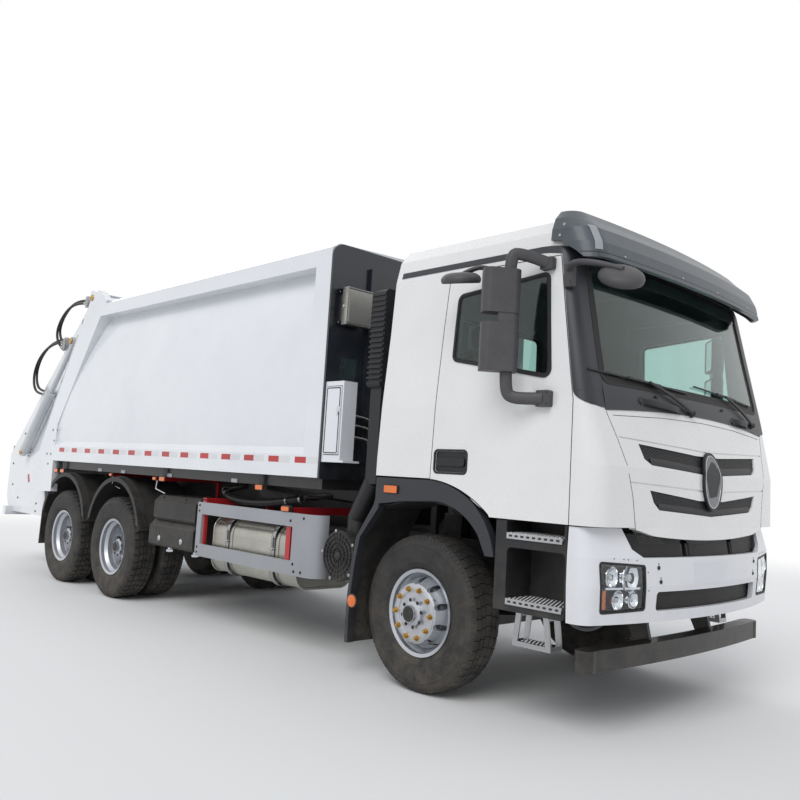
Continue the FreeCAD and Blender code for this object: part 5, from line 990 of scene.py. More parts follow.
def addTyre(shape, x, y, kind):
    floor = tyreLook["radius"] - tyreLook["grooveDepth"]
    half = carcass + [(floor - 0.001, 0.1085), (floor, 0.06)]
    profile = half + [(r, -s) for r, s in reversed(half)] + [(0.285, -0.103), (0.285, 0.103)]
    shape.lathe(profile, (x, y, tyreLook["radius"]), "y", 96, closed=True)
    pitches = tyreLook[kind + "Pitches"]
    spin = moved((x, y, tyreLook["radius"])) @ wayTo["-y"]
    shape.copyOf(grow("ring", Part=unitParts[kind + "Row"], Count=pitches, Radius=0.00001, Phase=0.0), spin)
    for flip in (1, -1):
        turned = spin @ Matrix.Diagonal((1, 1, flip, 1))
        shape.copyOf(grow("ring", Part=unitParts["lug"], Count=pitches * 2, Radius=0.00001, Phase=0.03), turned)


wheelPlaces = {
    "front": (0, 1.005),
    "middle": (-4.626, 1.1),
    "rear": (-5.976, 1.1),
    "twinGap": 0.34,
    "hubNuts": 10,
    "nutCircle": 0.1675,
}
for sideName, side in sides:
    frontTyre = Shape()
    addTyre(frontTyre, wheelPlaces["front"][0], side * wheelPlaces["front"][1], "rib")
    frontTyre.done("frontTyre" + sideName.title(), "front_wheel_" + sideName, "tyreRubber",
        replaces=["front_tyre_" + sideName])
    for axle in ("middle", "rear"):
        x, y = wheelPlaces[axle]
        twin = Shape()
        addTyre(twin, x, side * y, "block")
        addTyre(twin, x, side * (y - wheelPlaces["twinGap"]), "block")
        twin.done(axle + "Tyres" + sideName.title(), axle + "_wheels_" + sideName, "tyreRubber",
            replaces=[axle + "_tyres_" + sideName])
print("tyres made")


# Wheel nuts, hub caps and valves

hubLook = {
    "frontFace": 1.1752,
    "rearFace": 1.032,
    "frontHubEnd": 1.227,
    "rearHubEnd": 1.185,
    "capRadius": 0.06,
    "valveRadius": 0.215,
    "valveTurn": 0.55,
}


def hubTrim(shape, x, face, end, side, front):
    way = "y" if side > 0 else "-y"
    middle = Vector((x, 0, tyreLook["radius"]))
    outward = lambda start, *profile: [(radius, side * (start + out)) for radius, out in profile]
    shape.finish = 0 if front else 2
    at = middle + Vector((0, side * face, 0))
    shape.copyOf(*ringOf("nut", wheelPlaces["hubNuts"], wheelPlaces["nutCircle"], at, way))
    # pressed ring under the nuts and a ring of small bolts on the hub's flange
    shape.finish = 2
    shape.lathe(outward(face, (0.146, 0), (0.146, 0.003), (0.149, 0.004), (0.187, 0.004), (0.19, 0.002),
        (0.19, 0)), middle, "y", 60, closed=True)
    shape.finish = 1
    at = middle + Vector((0, side * (end - 0.0335), 0))
    shape.copyOf(*ringOf("bolt", 8, 0.092, at, way, 0.2))
    cap = hubLook["capRadius"]
    shape.lathe(outward(end, (0, -0.004), (0, 0.006), (cap * 0.35, 0.006), (cap * 0.42, 0.002),
        (cap * 0.86, 0.002), (cap, -0.004)), middle, "y", 40)
    shape.finish = 2
    lean = Vector((cos(hubLook["valveTurn"]), 0, sin(hubLook["valveTurn"])))
    valve = middle + lean * hubLook["valveRadius"] + Vector((0, side * (face - 0.02), 0))
    tip = valve + lean * 0.022 + Vector((0, side * 0.045, 0))
    shape.rod(valve, tip, 0.0045, 10, 0.001)
    shape.rod(tip, tip + (tip - valve).normalized() * 0.012, 0.0062, 10, 0.001)


for sideName, side in sides:
    frontTrim = Shape()
    hubTrim(frontTrim, 0, hubLook["frontFace"], hubLook["frontHubEnd"], side, True)
    frontTrim.done("frontHubTrim" + sideName.title(), "front_wheel_" + sideName, "brassPlate", "hubPaint",
        "rimPaint")
    for axle in ("middle", "rear"):
        rearTrim = Shape()
        hubTrim(rearTrim, wheelPlaces[axle][0], hubLook["rearFace"], hubLook["rearHubEnd"], side, False)
        rearTrim.done(axle + "HubTrim" + sideName.title(), axle + "_wheels_" + sideName, "brassPlate",
            "hubPaint", "rimPaint")
print("wheel trim made")


# Dark pillars, cowl and screen surround

screenLook = {
    "sill": 2.1,
    "head": 2.95,
    "lowHalf": 1.085,
    "topHalf": 1.04,
    "corner": 0.075,
    "coverOut": 0.0055,
    "coverBack": 0.005,
    "seamLow": 1.974,
    "seamX": 1.3,
    "seamSlope": 0.181,
    "seamRoom": 0.01,
}


def screenEdge(z):
    look = screenLook
    part = (z - look["sill"]) / (look["head"] - look["sill"])
    return look["lowHalf"] + (look["topHalf"] - look["lowHalf"]) * part


def panelTop(y):
    # upper edge of the white front panel
    return 1.972 - (1.972 - 1.925) * (abs(y) / 1.074) ** 2


def doorSeam(z):
    return screenLook["seamX"] - max(0, z - screenLook["seamLow"]) * screenLook["seamSlope"]


cover = Shape()
look = screenLook
for side in (-1, 1):
    rows = []
    for z in spread(2.036, 2.948, 20):
        inner = cabSkin.alongAtY(z, side * screenEdge(max(z, look["sill"])) * 0.999)
        rows.append((z, inner, cabSkin.alongAtX(z, doorSeam(z) + look["seamRoom"], side)))
    layPatch(cover, cabSkin, rows, look["coverOut"], look["coverBack"])
    # lower end of the pillar cover, cut round where the white shoulder rises
    low = []
    for part in spread(0, 1, 8):
        z = 1.944 + 0.09 * part
        inner = cabSkin.alongAtY(z, side * (1.074 + 0.012 * part))
        edge = cabSkin.alongAtX(z, doorSeam(z) + look["seamRoom"], side)
        bite = 1 - sqrt(max(0, 1 - (1 - part) ** 2))
        low.append((z, inner, edge + (inner - edge) * bite * 0.86))
    layPatch(cover, cabSkin, low, look["coverOut"], look["coverBack"])
# cowl under the screen, between the panel's upper edge and the sill
fine = 48
front, back = [], []
for part in spread(0, 1, 6):
    line, behind = [], []
    for y in spread(-1.084, 1.084, fine):
        low = panelTop(y) + 0.006
        z = low + (look["sill"] + 0.004 - low) * part
        line.append(cabSkin.front(y, z, look["coverOut"] + 0.004 * sin(pi * part)))
        behind.append(cabSkin.front(y, z, 0.0006))
    front.append(line)
    back.append(behind)
cover.plate(front, back)
# header above the screen, up under the visor
rows = [[(y, look["head"] + z) for y in spread(-1.06, 1.06, fine)] for z in (-0.004, 0.0335, 0.071)]
cover.sheet(rows, cabSkin.front, look["coverOut"], 0.0006)
cover.done("pillarCovers", "cab", "pillarPlastic")

surround = Shape()
corners = [(-look["lowHalf"], look["sill"]), (look["lowHalf"], look["sill"]), (look["topHalf"], look["head"]),
    (-look["topHalf"], look["head"])]
opening = roundLoop(corners, look["corner"], 8, 16)
surround.edging(opening, 0.01, -0.014, cabSkin.front, 0.0004, 0.009, 0.0015)
sharp = roundLoop(corners, 0, 8, 16)
surround.finish = 3
surround.band(grownLoop(sharp, 0.008), grownLoop(opening, 0.006), cabSkin.front, 0.0006, 0.005)
surround.finish = 1
surround.edging(opening, -0.012, -0.048, cabSkin.front, 0.0006, 0.0016)
# painted shade: a dark tinted sheet across the screen's top stands in for the visor's shadow on the glass
surround.finish = 2
rows = [[(y, z) for y in spread(-1.045, 1.045, fine)] for z in (2.815, 2.86, 2.905)]
surround.sheet(rows, cabSkin.front, 0.0018, 0.0008)
rearOpening = rectLoop(-0.56, 0.56, 2.23, 2.74, 0.06, 8, 6)


def rearFace(a, b, depth):
    # cab's rear wall leans a little
    rearX = -0.37 + (b - 1.955) * (0.02 / 0.545) if b < 2.5 else -0.35 - (b - 2.5) * (0.005 / 0.4)
    return Vector((rearX - depth, a, b))


surround.finish = 0
surround.edging(rearOpening, 0.016, -0.016, rearFace, 0.0004, 0.009, 0.002)
surround.done("screenSeals", "cab", "sealRubber", "sealRubber", "paintedVisorShade", "pillarPlastic")

doorTrimLook = {
    "window": ((0.313, 2.722), (0.306, 2.273), (1.128, 2.116), (1.062, 2.786)),
    "corner": 0.045,
    "sealOut": 0.006,
    "sealWidth": 0.009,
    "stripLow": 2.925,
    "stripHigh": 2.968,
}
windowLoop = roundLoop(doorTrimLook["window"], doorTrimLook["corner"], 8, 10)
for sideName, side in sides:
    trim = Shape()
    trim.edging(windowLoop, doorTrimLook["sealWidth"], -0.009, cabSkin.onSide(side), 0.0004,
        doorTrimLook["sealOut"])
    trim.edging(windowLoop, -0.007, -0.02, cabSkin.onSide(side), 0.0006, 0.0014)
    # handle's recess lining and pull
    trim.finish = 1
    handle = rectLoop(0.193, 0.487, 1.509, 1.66, 0.028, 6)
    face = lambda a, b, depth: Vector((a, side * (1.25 + depth), b))
    trim.edging(handle, 0.008, -0.005, face, -0.008, 0.0035, 0.0015)
    trim.prism(rectLoop(0.2, 0.48, 1.516, 1.653, 0.022), "y", side * 1.2365, side * 1.2385)
    trim.prism(rectLoop(0.212, 0.468, 1.556, 1.612, 0.022), "y", side * 1.24, side * 1.2535, bevel=0.005)
    trim.rod((0.235, side * 1.2525, 1.584), (0.235, side * 1.2545, 1.584), 0.007, 16)
    trim.done("doorTrim" + sideName.title(), "door_" + sideName, "sealRubber", "blackPlastic")

    strip = Shape()
    low, high = doorTrimLook["stripLow"], doorTrimLook["stripHigh"]
    rows = [(x, low, high) for x in spread(-0.3, 0.95, 12)]
    # its front end turns down and runs into the pillar cover
    rows += [(0.95 + 0.215 * p, low - 0.036 * p ** 2, high - 0.022 * p ** 2) for p in spread(0, 1, 8)[1:]]
    rows = [[(x, start), (x, (start + end) / 2), (x, end)] for x, start, end in rows]
    strip.sheet(rows, cabSkin.onSide(side), 0.005, 0.0006)
    strip.done("roofStrip" + sideName.title(), "cab", "pillarPlastic")
print("screen surround and door trim made")


# Mesh and blades behind the panel's slots, badge and creases

grilleLook = {
    "upperSlot": ((-0.819, 1.747), (-0.784, 1.658), (-0.714, 1.623), (-0.127, 1.592), (0.127, 1.592),
        (0.714, 1.623), (0.784, 1.658), (0.819, 1.747), (0.17, 1.712), (-0.17, 1.712)),
    "lowerSlot": ((-0.74, 1.47), (-0.7, 1.395), (-0.64, 1.352), (0, 1.318), (0.64, 1.352), (0.7, 1.395),
                  (0.74, 1.47), (0.17, 1.42), (-0.17, 1.42)),
    "bumperGap": ((-0.795, 1.072), (0.795, 1.072), (0.88, 1.12), (0.898, 1.2), (-0.898, 1.2), (-0.88, 1.12)),
    "bumperSlot": ((-0.685, 0.748), (0.685, 0.748), (0.685, 0.87), (-0.685, 0.87)),
    "cellWide": 0.032,
    "cellHigh": 0.017,
    "strand": 0.0036,
    "meshDepth": -0.014,
    "badgeHalf": (0.128, 0.192),
    "badgeHigh": 1.549,
}


def meshCell(shape):
    # one diamond of the woven mesh, lying in the XY plane
    wide, high, strand = grilleLook["cellWide"] / 2, grilleLook["cellHigh"] / 2, grilleLook["strand"]
    outer = [Vector(p) for p in ((wide, 0), (0, high), (-wide, 0), (0, -high))]
    inner = [Vector((p.x * (1 - strand / high), p.y * (1 - strand / high))) for p in outer]
    shape.band(outer, inner, flat["z"], 0, 0.004)


unitParts["cell"] = unitPart("unitMeshCell", meshCell)


def inside(loop, y, z):
    found = False
    for index, corner in enumerate(loop):
        before = loop[index - 1]
        if (corner[1] > z) != (before[1] > z):
            cross = (before[0] - corner[0]) * (z - corner[1]) / (before[1] - corner[1]) + corner[0]
            if y < cross:
                found = not found
    return found


def layMesh(shape, surface, loop, out, skip=lambda y, z: False):
    # woven mesh over an outline (y, z), bent to the surface
    wide, high = grilleLook["cellWide"], grilleLook["cellHigh"]
    low = [min(p[axis] for p in loop) for axis in (0, 1)]
    top = [max(p[axis] for p in loop) for axis in (0, 1)]
    columns = int((top[0] - low[0]) / wide) + 2
    rows = int((top[1] - low[1]) / (high / 2)) + 2
    grid = gridOf("cell", columns, rows, wide, high / 2, wide / 2)
    perCell = len(unitParts["cell"].data.vertices)
    made = bmesh.new()
    made.from_mesh(grid)
    made.verts.ensure_lookup_table()
    doomed = []
    for start in range(0, len(made.verts), perCell):
        cell = made.verts[start:start + perCell]
        y = low[0] + sum(v.co.x for v in cell) / perCell
        z = low[1] + sum(v.co.y for v in cell) / perCell
        if not inside(loop, y, z) or skip(y, z):
            doomed += cell
            continue
        for vert in cell:
            vert.co = surface.front(low[0] + vert.co.x, low[1] + vert.co.y, out + vert.co.z)
    bmesh.ops.delete(made, geom=doomed, context="VERTS")
    shape.add(made)


def edgeBlade(shape, surface, reach, lowEdge, rise, out, thickness):
    # smooth blade along a slot's lower edge
    front, back = [], []
    for part in (0, 0.35, 0.75, 1):
        spots = [(y, lowEdge(y) + rise * part) for y in spread(-reach, reach, 40)]
        front.append([surface.front(*spot, out + 0.006 * sin(pi * part)) for spot in spots])
        back.append([surface.front(*spot, out - thickness) for spot in spots])
    shape.plate(front, back)


grille = Shape()
for slot in ("upperSlot", "lowerSlot"):
    layMesh(grille, cabSkin, grilleLook[slot], grilleLook["meshDepth"])
grille.finish = 1
edgeBlade(grille, cabSkin, 0.716, lambda y: 1.594 + max(0, abs(y) - 0.127) * 0.0528, 0.046, -0.009, 0.006)
edgeBlade(grille, cabSkin, 0.642, lambda y: 1.32 + abs(y) * 0.053, 0.04, -0.009, 0.006)


def badgeLoop(grow):
    wide, tall = (half + grow for half in grilleLook["badgeHalf"])
    turns = [2 * pi * i / 72 for i in range(72)]
    return [Vector((wide * cos(a), grilleLook["badgeHigh"] + tall * sin(a))) for a in turns]


grille.band(badgeLoop(0.002), badgeLoop(-0.016), cabSkin.front, 0.0006, 0.02, 0.003)
grille.finish = 2
grille.band(badgeLoop(-0.0165), badgeLoop(-0.0215), cabSkin.front, 0.0145, 0.0185, 0.001)
grille.finish = 3
grille.prism(badgeLoop(-0.022), cabSkin.front, 0.0142, 0.0165, bevel=0.0008, segments=1)
grille.done("panelMesh", "cab", "blackPlastic", "blackPlastic", "chromeTrim", "badgeDisc")

gapSkin = Skin(4.2, (0.74, 0.905, 1.56, 0.06), (1.043, 0.905, 1.562, 0.06), (1.145, 0.9, 1.545, 0.06))
armRoom = lambda y, z: abs(abs(y) - 0.315) < 0.042 and z > 1.02
bumperMesh = Shape()
layMesh(bumperMesh, gapSkin, grilleLook["bumperGap"], 0.002, armRoom)
layMesh(bumperMesh, gapSkin, grilleLook["bumperSlot"], 0.002)
bumperMesh.done("bumperMesh", "truck", "blackPlastic")

lines = Shape()
layLine(lines, cabSkin, [(-1.02, 1.904), (-0.5, 1.931), (0, 1.941), (0.5, 1.931), (1.02, 1.904)], 0.0035,
    0.0006)
for side in (-1, 1):
    edge = [(-1.078, 1.921), (-1.014, 1.763), (-0.964, 1.61), (-0.909, 1.42), (-0.882, 1.236)]
    layLine(lines, cabSkin, [(side * -y, z) for y, z in edge], 0.0042, 0.0006)
lines.done("panelLines", "cab", "sealRubber")


# Bumper fasteners, blank plate seat and lamps

lampLook = {
    "outline": ((0.784, 0.762), (1.122, 0.7525), (1.143, 1.039), (0.796, 1.018)),
    "lensOut": -0.0055,
    "lensThick": 0.004,
    "backOut": -0.044,
    "bowls": ((0.9, 0.95, 0.082), (1.05, 0.955, 0.06), (0.872, 0.822, 0.052), (0.995, 0.822, 0.056)),
    "fasteners": ((-0.67, 1.009), (-0.649, 0.925), (0.67, 1.009), (0.649, 0.925)),
    "pinholes": ((1.042, 1.065), (0.967, 1.061), (0.932, 1.059), (0.861, 1.054), (0.765, 0.984),
        (0.755, 0.876)),
    "plateSeat": (-0.3, 0.13, 0.898, 1.034),
}


def quadPatch(shape, surface, corners, out, thickness, side, fine=12):
    # closed sheet over four corners (y, z): low inner, low outer, high outer, high inner
    a, b, c, d = (Vector(p) for p in corners)
    parts = spread(0, 1, fine)
    rows = [[a.lerp(d, i).lerp(b.lerp(c, i), j) for j in parts] for i in parts]
    shape.sheet(rows, lambda y, z, depth: surface.front(side * y, z, depth), out, out - thickness)


for sideName, side in sides:
    lamp = Shape()
    look = lampLook
    quadPatch(lamp, bumperSkin, look["outline"], look["lensOut"], look["lensThick"], side)
    # the dark back plate behind the lens
    lamp.finish = 1
    quadPatch(lamp, bumperSkin, look["outline"], look["backOut"], 0.003, side)
    frameOuter = roundLoop([Vector(p) for p in look["outline"]], 0.016, 6, 8)
    place = lambda a, b, depth: bumperSkin.front(side * a, b, depth)
    lamp.edging(frameOuter, -0.0005, -0.013, place, look["backOut"], -0.0098)
    for y, z, radius in look["bowls"]:
        lamp.finish = 2
        centre = bumperSkin.front(side * y, z, look["backOut"] + 0.002)
        profile = [(0, 0), (radius * 0.35, 0.001), (radius * 0.7, 0.008), (radius * 0.93, 0.019),
            (radius, 0.027), (radius + 0.004, 0.027), (radius + 0.004, 0), (radius * 0.8, -0.003), (0, -0.003)]
        lamp.lathe(profile, centre, (1, 0, 0), 32)
        lamp.finish = 3
        lamp.lathe([(0, 0), (radius * 0.24, 0.001), (radius * 0.26, 0.018), (radius * 0.16, 0.024), (0, 0.026)],
            centre, (1, 0, 0), 20)
    lamp.finish = 4
    quadPatch(lamp, bumperSkin, ((1.075, 0.775), (1.112, 0.774), (1.126, 0.88), (1.085, 0.882)), -0.018, 0.012,
        side, 4)
    lamp.finish = 2
    quadPatch(lamp, bumperSkin, ((0.815, 0.884), (1.09, 0.886), (1.092, 0.898), (0.815, 0.896)), -0.016, 0.02,
        side, 6)
    lamp.done("headlamp" + sideName.title(), "truck", "lampGlass", "darkSteel", "reflector", "paleLens",
        "amberLens", replaces=["headlamps"])

    rim = Shape()
    pocket = roundLoop([(0.777, 0.762), (1.128, 0.752), (1.15, 1.046), (0.79, 1.024)], 0.018, 6, 8)
    rim.edging(pocket, 0.004, -0.01, place, -0.004, 0.0025, 0.001)
    rim.finish = 1
    for y, z in look["pinholes"]:
        spot = bumperSkin.front(side * y, z, -0.0002)
        rim.disc([(0.0042, 0), (0.0042, 0.0012)], spot, (1, side * 0.25, 0), 12)
    rim.done("lampRim" + sideName.title(), "truck", "sealRubber", "blackPlastic")

fittings = Shape()
for y, z in lampLook["fasteners"]:
    spot = bumperSkin.front(y, z, -0.0002)
    outward = (1, y / 4.2, 0)
    fittings.disc([(0.013, 0), (0.013, 0.003), (0.009, 0.006), (0.006, 0.0035)], spot, outward, 20)
    spot = bumperSkin.front(y, z + 0.023, -0.0002)
    fittings.disc([(0.0045, 0), (0.0045, 0.002)], spot, outward, 12)
y0, y1, z0, z1 = lampLook["plateSeat"]
fittings.finish = 1
rows = [(z, bumperSkin.alongAtY(z, y0), bumperSkin.alongAtY(z, y1)) for z in (z0, (z0 + z1) / 2, z1)]
layPatch(fittings, bumperSkin, rows, 0.0014, 0.0012)
fittings.done("bumperFittings", "truck", "blackPlastic", "plateSeat")
print("front grille and lamps made")


# Wipers and cowl handles

wiperLook = {
    "blades": (((-1.185, 2.166), (-0.15, 2.128), (-0.62, 2.148), (-0.14, 1.99)),
               ((-0.03, 2.19), (0.95, 2.15), (0.43, 2.168), (0.88, 1.995))),
    "handles": (((-0.72, 2.02), (-0.3, 1.998)), ((0.52, 2), (0.76, 1.992))),
}


def smoothPath(points, steps):
    # quadratic B-spline that starts and ends on the first and last points
    points = [Vector(p) for p in points]
    if len(points) < 3:
        return points
    path = [points[0]]
    for index in range(1, len(points) - 1):
        start = points[0] if index == 1 else (points[index - 1] + points[index]) / 2
        end = points[-1] if index == len(points) - 2 else (points[index] + points[index + 1]) / 2
        for step in range(1, steps + 1):
            t = step / steps
            path.append(start * (1 - t) ** 2 + points[index] * 2 * t * (1 - t) + end * t ** 2)
    return path


def sweep(shape, points, across, wide, thick, corner=0.3, taper=1, steps=6):
    # bar with a rounded rectangular section; wide lies in the plane that across is square to
    path = smoothPath(points, steps)
    section = rectLoop(-0.5, 0.5, -0.5, 0.5, corner, 3)
    made = bmesh.new()
    rings = []
    for index, point in enumerate(path):
        ahead = (path[min(index + 1, len(path) - 1)] - path[max(index - 1, 0)]).normalized()
        one = ahead.cross(Vector(across)).normalized()
        two = one.cross(ahead).normalized()
        size = 1 + (taper - 1) * index / (len(path) - 1)
        rings.append([made.verts.new(point + one * (p[0] * wide * size) + two * (p[1] * thick * size))
            for p in section])
    made.faces.new(rings[0])
    made.faces.new(rings[-1])
    for one, two in zip(rings, rings[1:]):
        joinRings(made, one, two)
    shape.add(made)


wipers = Shape()
outwards = (1, 0, 0.2)
for start, end, knuckle, pivot in wiperLook["blades"]:
    spots = [Vector(start).lerp(Vector(end), part / 6) for part in range(7)]
    wipers.finish = 1
    sweep(wipers, [cabSkin.front(p.x, p.y, 0.0065) for p in spots], outwards, 0.005, 0.009, steps=2)
    wipers.finish = 0
    sweep(wipers, [cabSkin.front(p.x, p.y, 0.0155) for p in spots], outwards, 0.012, 0.009, steps=2)
    sweep(wipers, [cabSkin.front(p.x, p.y, 0.024) for p in spots[2:5]], outwards, 0.015, 0.01, steps=2)
    elbow = (Vector(knuckle) + Vector(pivot)) / 2 + Vector((0, 0.02))
    spots = [cabSkin.front(*knuckle, 0.031), cabSkin.front(*elbow, 0.042), cabSkin.front(*pivot, 0.03)]
    sweep(wipers, spots, outwards, 0.02, 0.011, taper=1.5)
    foot = cabSkin.front(*pivot, 0.004)
    wipers.lathe([(0, 0), (0.026, 0), (0.024, 0.014), (0.017, 0.02), (0.015, 0.038), (0, 0.041)], foot,
        (1, 0, 0.25), 24)
for start, end in wiperLook["handles"]:
    middle = [Vector(start).lerp(Vector(end), part) for part in (0, 0.12, 0.5, 0.88, 1)]
    outs = (0.008, 0.036, 0.038, 0.036, 0.008)
    sweep(wipers, [cabSkin.front(p.x, p.y, out) for p, out in zip(middle, outs)], (0, 0, 1), 0.018, 0.04, 0.35)
    for p in (start, end):
        spot = cabSkin.front(*p, 0.0095)
        wipers.lathe([(0, 0), (0.028, 0), (0.024, 0.007), (0, 0.008)], spot, (1, 0, 0.25), 20)
for y in (-0.55, 0.35):
    spot = cabSkin.front(y, 2.062, 0.006)
    wipers.box(spot - Vector((0.012, 0.018, 0.006)), spot + Vector((0.014, 0.018, 0.008)), 0.004, 2)
wipers.done("wipers", "cab", "blackPlastic", "sealRubber")


# Visor strips, lip and bolts

visorLook = {
    "grooveHigh": 2.889,
    "stripCentre": 1.125,
    "stripWide": 0.05,
}
visor = Shape()
look = visorLook
for side in (-1, 1):
    visor.finish = 0
    rows = []
    for z in spread(2.905, 3.075, 8):
        middle = visorSkin.alongAtY(z, side * (look["stripCentre"] - 0.1 * (z - 2.905)))
        rows.append((z, middle - look["stripWide"] / 2, middle + look["stripWide"] / 2))
    layPatch(visor, visorSkin, rows, 0.0045, 0.0035)
    visor.finish = 2
    for x, z in ((1.145, 3.085), (1.125, 3.015)):
        spot = visorSkin.side(x, z, side, 0)
        visor.lathe([(0, 0), (0.01, 0), (0.009, 0.004), (0, 0.005)], spot, (0, side, 0), 16)


def visorBand(finish, heights, reach, out, thickness):
    # band from one side round to the other, in ten lengths
    visor.finish = finish
    ends = spread(-reach, reach, 10)
    for start, end in zip(ends, ends[1:]):
        layPatch(visor, visorSkin, [(z, start, end) for z in heights], out, thickness)


groove = (look["grooveHigh"] - 0.003, look["grooveHigh"] + 0.002)
visorBand(1, groove, visorSkin.alongAtX(2.887, 1.275, 1), 0.001, 0.0008)
visorBand(3, (2.857, 2.861, 2.88, 2.884), visorSkin.alongAtY(2.87, 1.13), 0.0045, 0.004)
visor.finish = 2
for y in (-0.9, -0.24, 0.27, 0.85):
    spot = visorSkin.front(y, 2.9, 0)
    visor.lathe([(0, 0), (0.008, 0), (0.007, 0.0035), (0, 0.004)], spot, (1, 0, 0.2), 14)
visor.done("visorTrim", "cab", "guardGrey", "sealRubber", "bareSteel", "visorPlastic")
print("wipers and visor trim made")


# Mirrors

mirrorLook = {
    "centre": (0.875, 1.44, 2.46),
    "turn": 40,
    "halfWidth": 0.117,
    "armWide": 0.076,
    "armThick": 0.044,
    "kerbCentre": (0.5, -1.41, 2.775),
    "frontCentre": (1.56, -1.18, 2.7),
}


def saucer(shape, centre, axis, radius, body, glass):
    shape.finish = body
    shape.lathe([(0, 0.044), (radius * 0.45, 0.042), (radius * 0.75, 0.034), (radius * 0.93, 0.018),
        (radius, -0.002), (radius * 0.985, -0.02), (radius * 0.93, -0.03), (radius * 0.9, -0.024), (0, -0.022)],
        centre, axis, 44)
    shape.finish = glass
    shape.lathe([(0, -0.0225), (radius * 0.89, -0.0245), (radius * 0.88, -0.027), (radius * 0.4, -0.03),
        (0, -0.031)], centre, axis, 44)


for sideName, side in sides:
    mirror = Shape()
    look = mirrorLook
    lean = radians(look["turn"])
    centre = Vector((look["centre"][0], side * look["centre"][1], 0))
    wideWay = Vector((sin(lean), -side * cos(lean), 0))
    frontWay = Vector((cos(lean), side * sin(lean), 0))
    place = lambda a, b, depth: centre + wideWay * a + frontWay * b + Vector((0, 0, depth))
    half = look["halfWidth"]
    section = [(-half, -0.052, 0.008), (half, -0.052, 0.008), (half + 0.001, 0.022, 0.03),
        (half - 0.032, 0.05, 0.03), (-half + 0.036, 0.058, 0.03), (-half - 0.001, 0.03, 0.03)]
    shell = roundLoop(section, 0.02, 5)
    for low, high in ((2.502, 2.78), (2.14, 2.44)):
        mirror.prism(shell, place, low, high, bevel=0.012, segments=3, angle=50)
    spine = roundLoop([(-0.02, -0.04, 0.008), (half - 0.004, -0.04, 0.008), (half - 0.004, 0.02, 0.03),
        (half - 0.034, 0.045, 0.03), (-0.02, 0.05, 0.012)], 0.02, 5)
    mirror.prism(spine, place, 2.4, 2.54, bevel=0.004, segments=2, angle=50)
    upright = lambda a, b, depth: centre + wideWay * a + frontWay * depth + Vector((0, 0, b))
    for low, high in ((2.512, 2.77), (2.15, 2.43)):
        pane = rectLoop(-half + 0.012, half - 0.012, low, high, 0.022)
        mirror.finish = 1
        mirror.prism(pane, upright, -0.0545, -0.0522)
        mirror.finish = 0
        mirror.edging(pane, 0.006, -0.003, upright, -0.052, -0.059)
    at = lambda a, z: upright(a, z, 0)
    sweep(mirror, [at(0.05, 2.74), at(0.05, 2.882), at(0.11, 2.886), at(0.2, 2.868),
        (1.058, side * 1.222, 2.842)], frontWay, look["armWide"], look["armThick"], 0.42)
    mirror.prism(rectLoop(1.012, 1.108, 2.798, 2.876, 0.012), "y", side * 1.2055, side * 1.242, bevel=0.006,
        segments=2)
    sweep(mirror, [at(0.05, 2.18), at(0.05, 2.02), at(0.095, 1.985), (1.02, side * 1.322, 1.982),
        (1.105, side * 1.282, 1.984)], frontWay, look["armWide"], look["armThick"], 0.42)
    mirror.prism(rectLoop(1.06, 1.158, 1.935, 2.035, 0.012), "y", side * 1.2515, side * 1.296, bevel=0.007,
        segments=2)
    mirror.finish = 2
    for x, z in ((1.075, 1.952), (1.143, 1.952), (1.075, 2.018), (1.143, 2.018)):
        mirror.rod((x, side * 1.2955, z), (x, side * 1.2985, z), 0.006, 12)
    mirror.finish = 0
    if side < 0:
        kerb = Vector(look["kerbCentre"])
        saucer(mirror, kerb, (0.1, side * 0.22, 0.97), 0.132, 0, 1)
        mirror.finish = 0
        sweep(mirror, [kerb + Vector((0, 0.02, 0.036)), kerb + Vector((0.07, 0.05, 0.075)),
            (0.6, side * 1.27, 2.868), (0.612, side * 1.222, 2.85)], (0, 0, 1), 0.052, 0.03, 0.42)
        mirror.prism(rectLoop(0.566, 0.652, 2.822, 2.874, 0.01), "y", side * 1.2055, side * 1.24, bevel=0.006,
            segments=2)
    mirror.done("mirrors" + sideName.title(), "door_" + sideName, "mirrorPlastic", "mirrorGlass", "darkSteel",
        replaces=["mirrors_" + sideName])

frontMirror = Shape()
centre = Vector(mirrorLook["frontCentre"])
saucer(frontMirror, centre, (0.42, -0.4, 0.8), 0.137, 0, 1)
frontMirror.finish = 0
frontMirror.prism(rectLoop(1.186, 1.25, 2.672, 2.815, 0.012), "y", -1.19, -1.228, bevel=0.007, segments=2)
sweep(frontMirror, [(1.222, -1.215, 2.78), (1.262, -1.262, 2.8), (1.345, -1.27, 2.8), (1.455, -1.235, 2.778),
    centre + Vector((0.02, -0.018, 0.034))], (0, 0, 1), 0.046, 0.038, 0.42)
frontMirror.finish = 2
for z in (2.69, 2.706, 2.796):
    frontMirror.rod((1.236, -1.2275, z), (1.236, -1.2305, z), 0.005, 12)
frontMirror.done("frontMirror", "cab", "mirrorPlastic", "mirrorGlass", "darkSteel", replaces=["front_mirror"])
print("mirrors made")


# Dashboard, steering wheel and seats

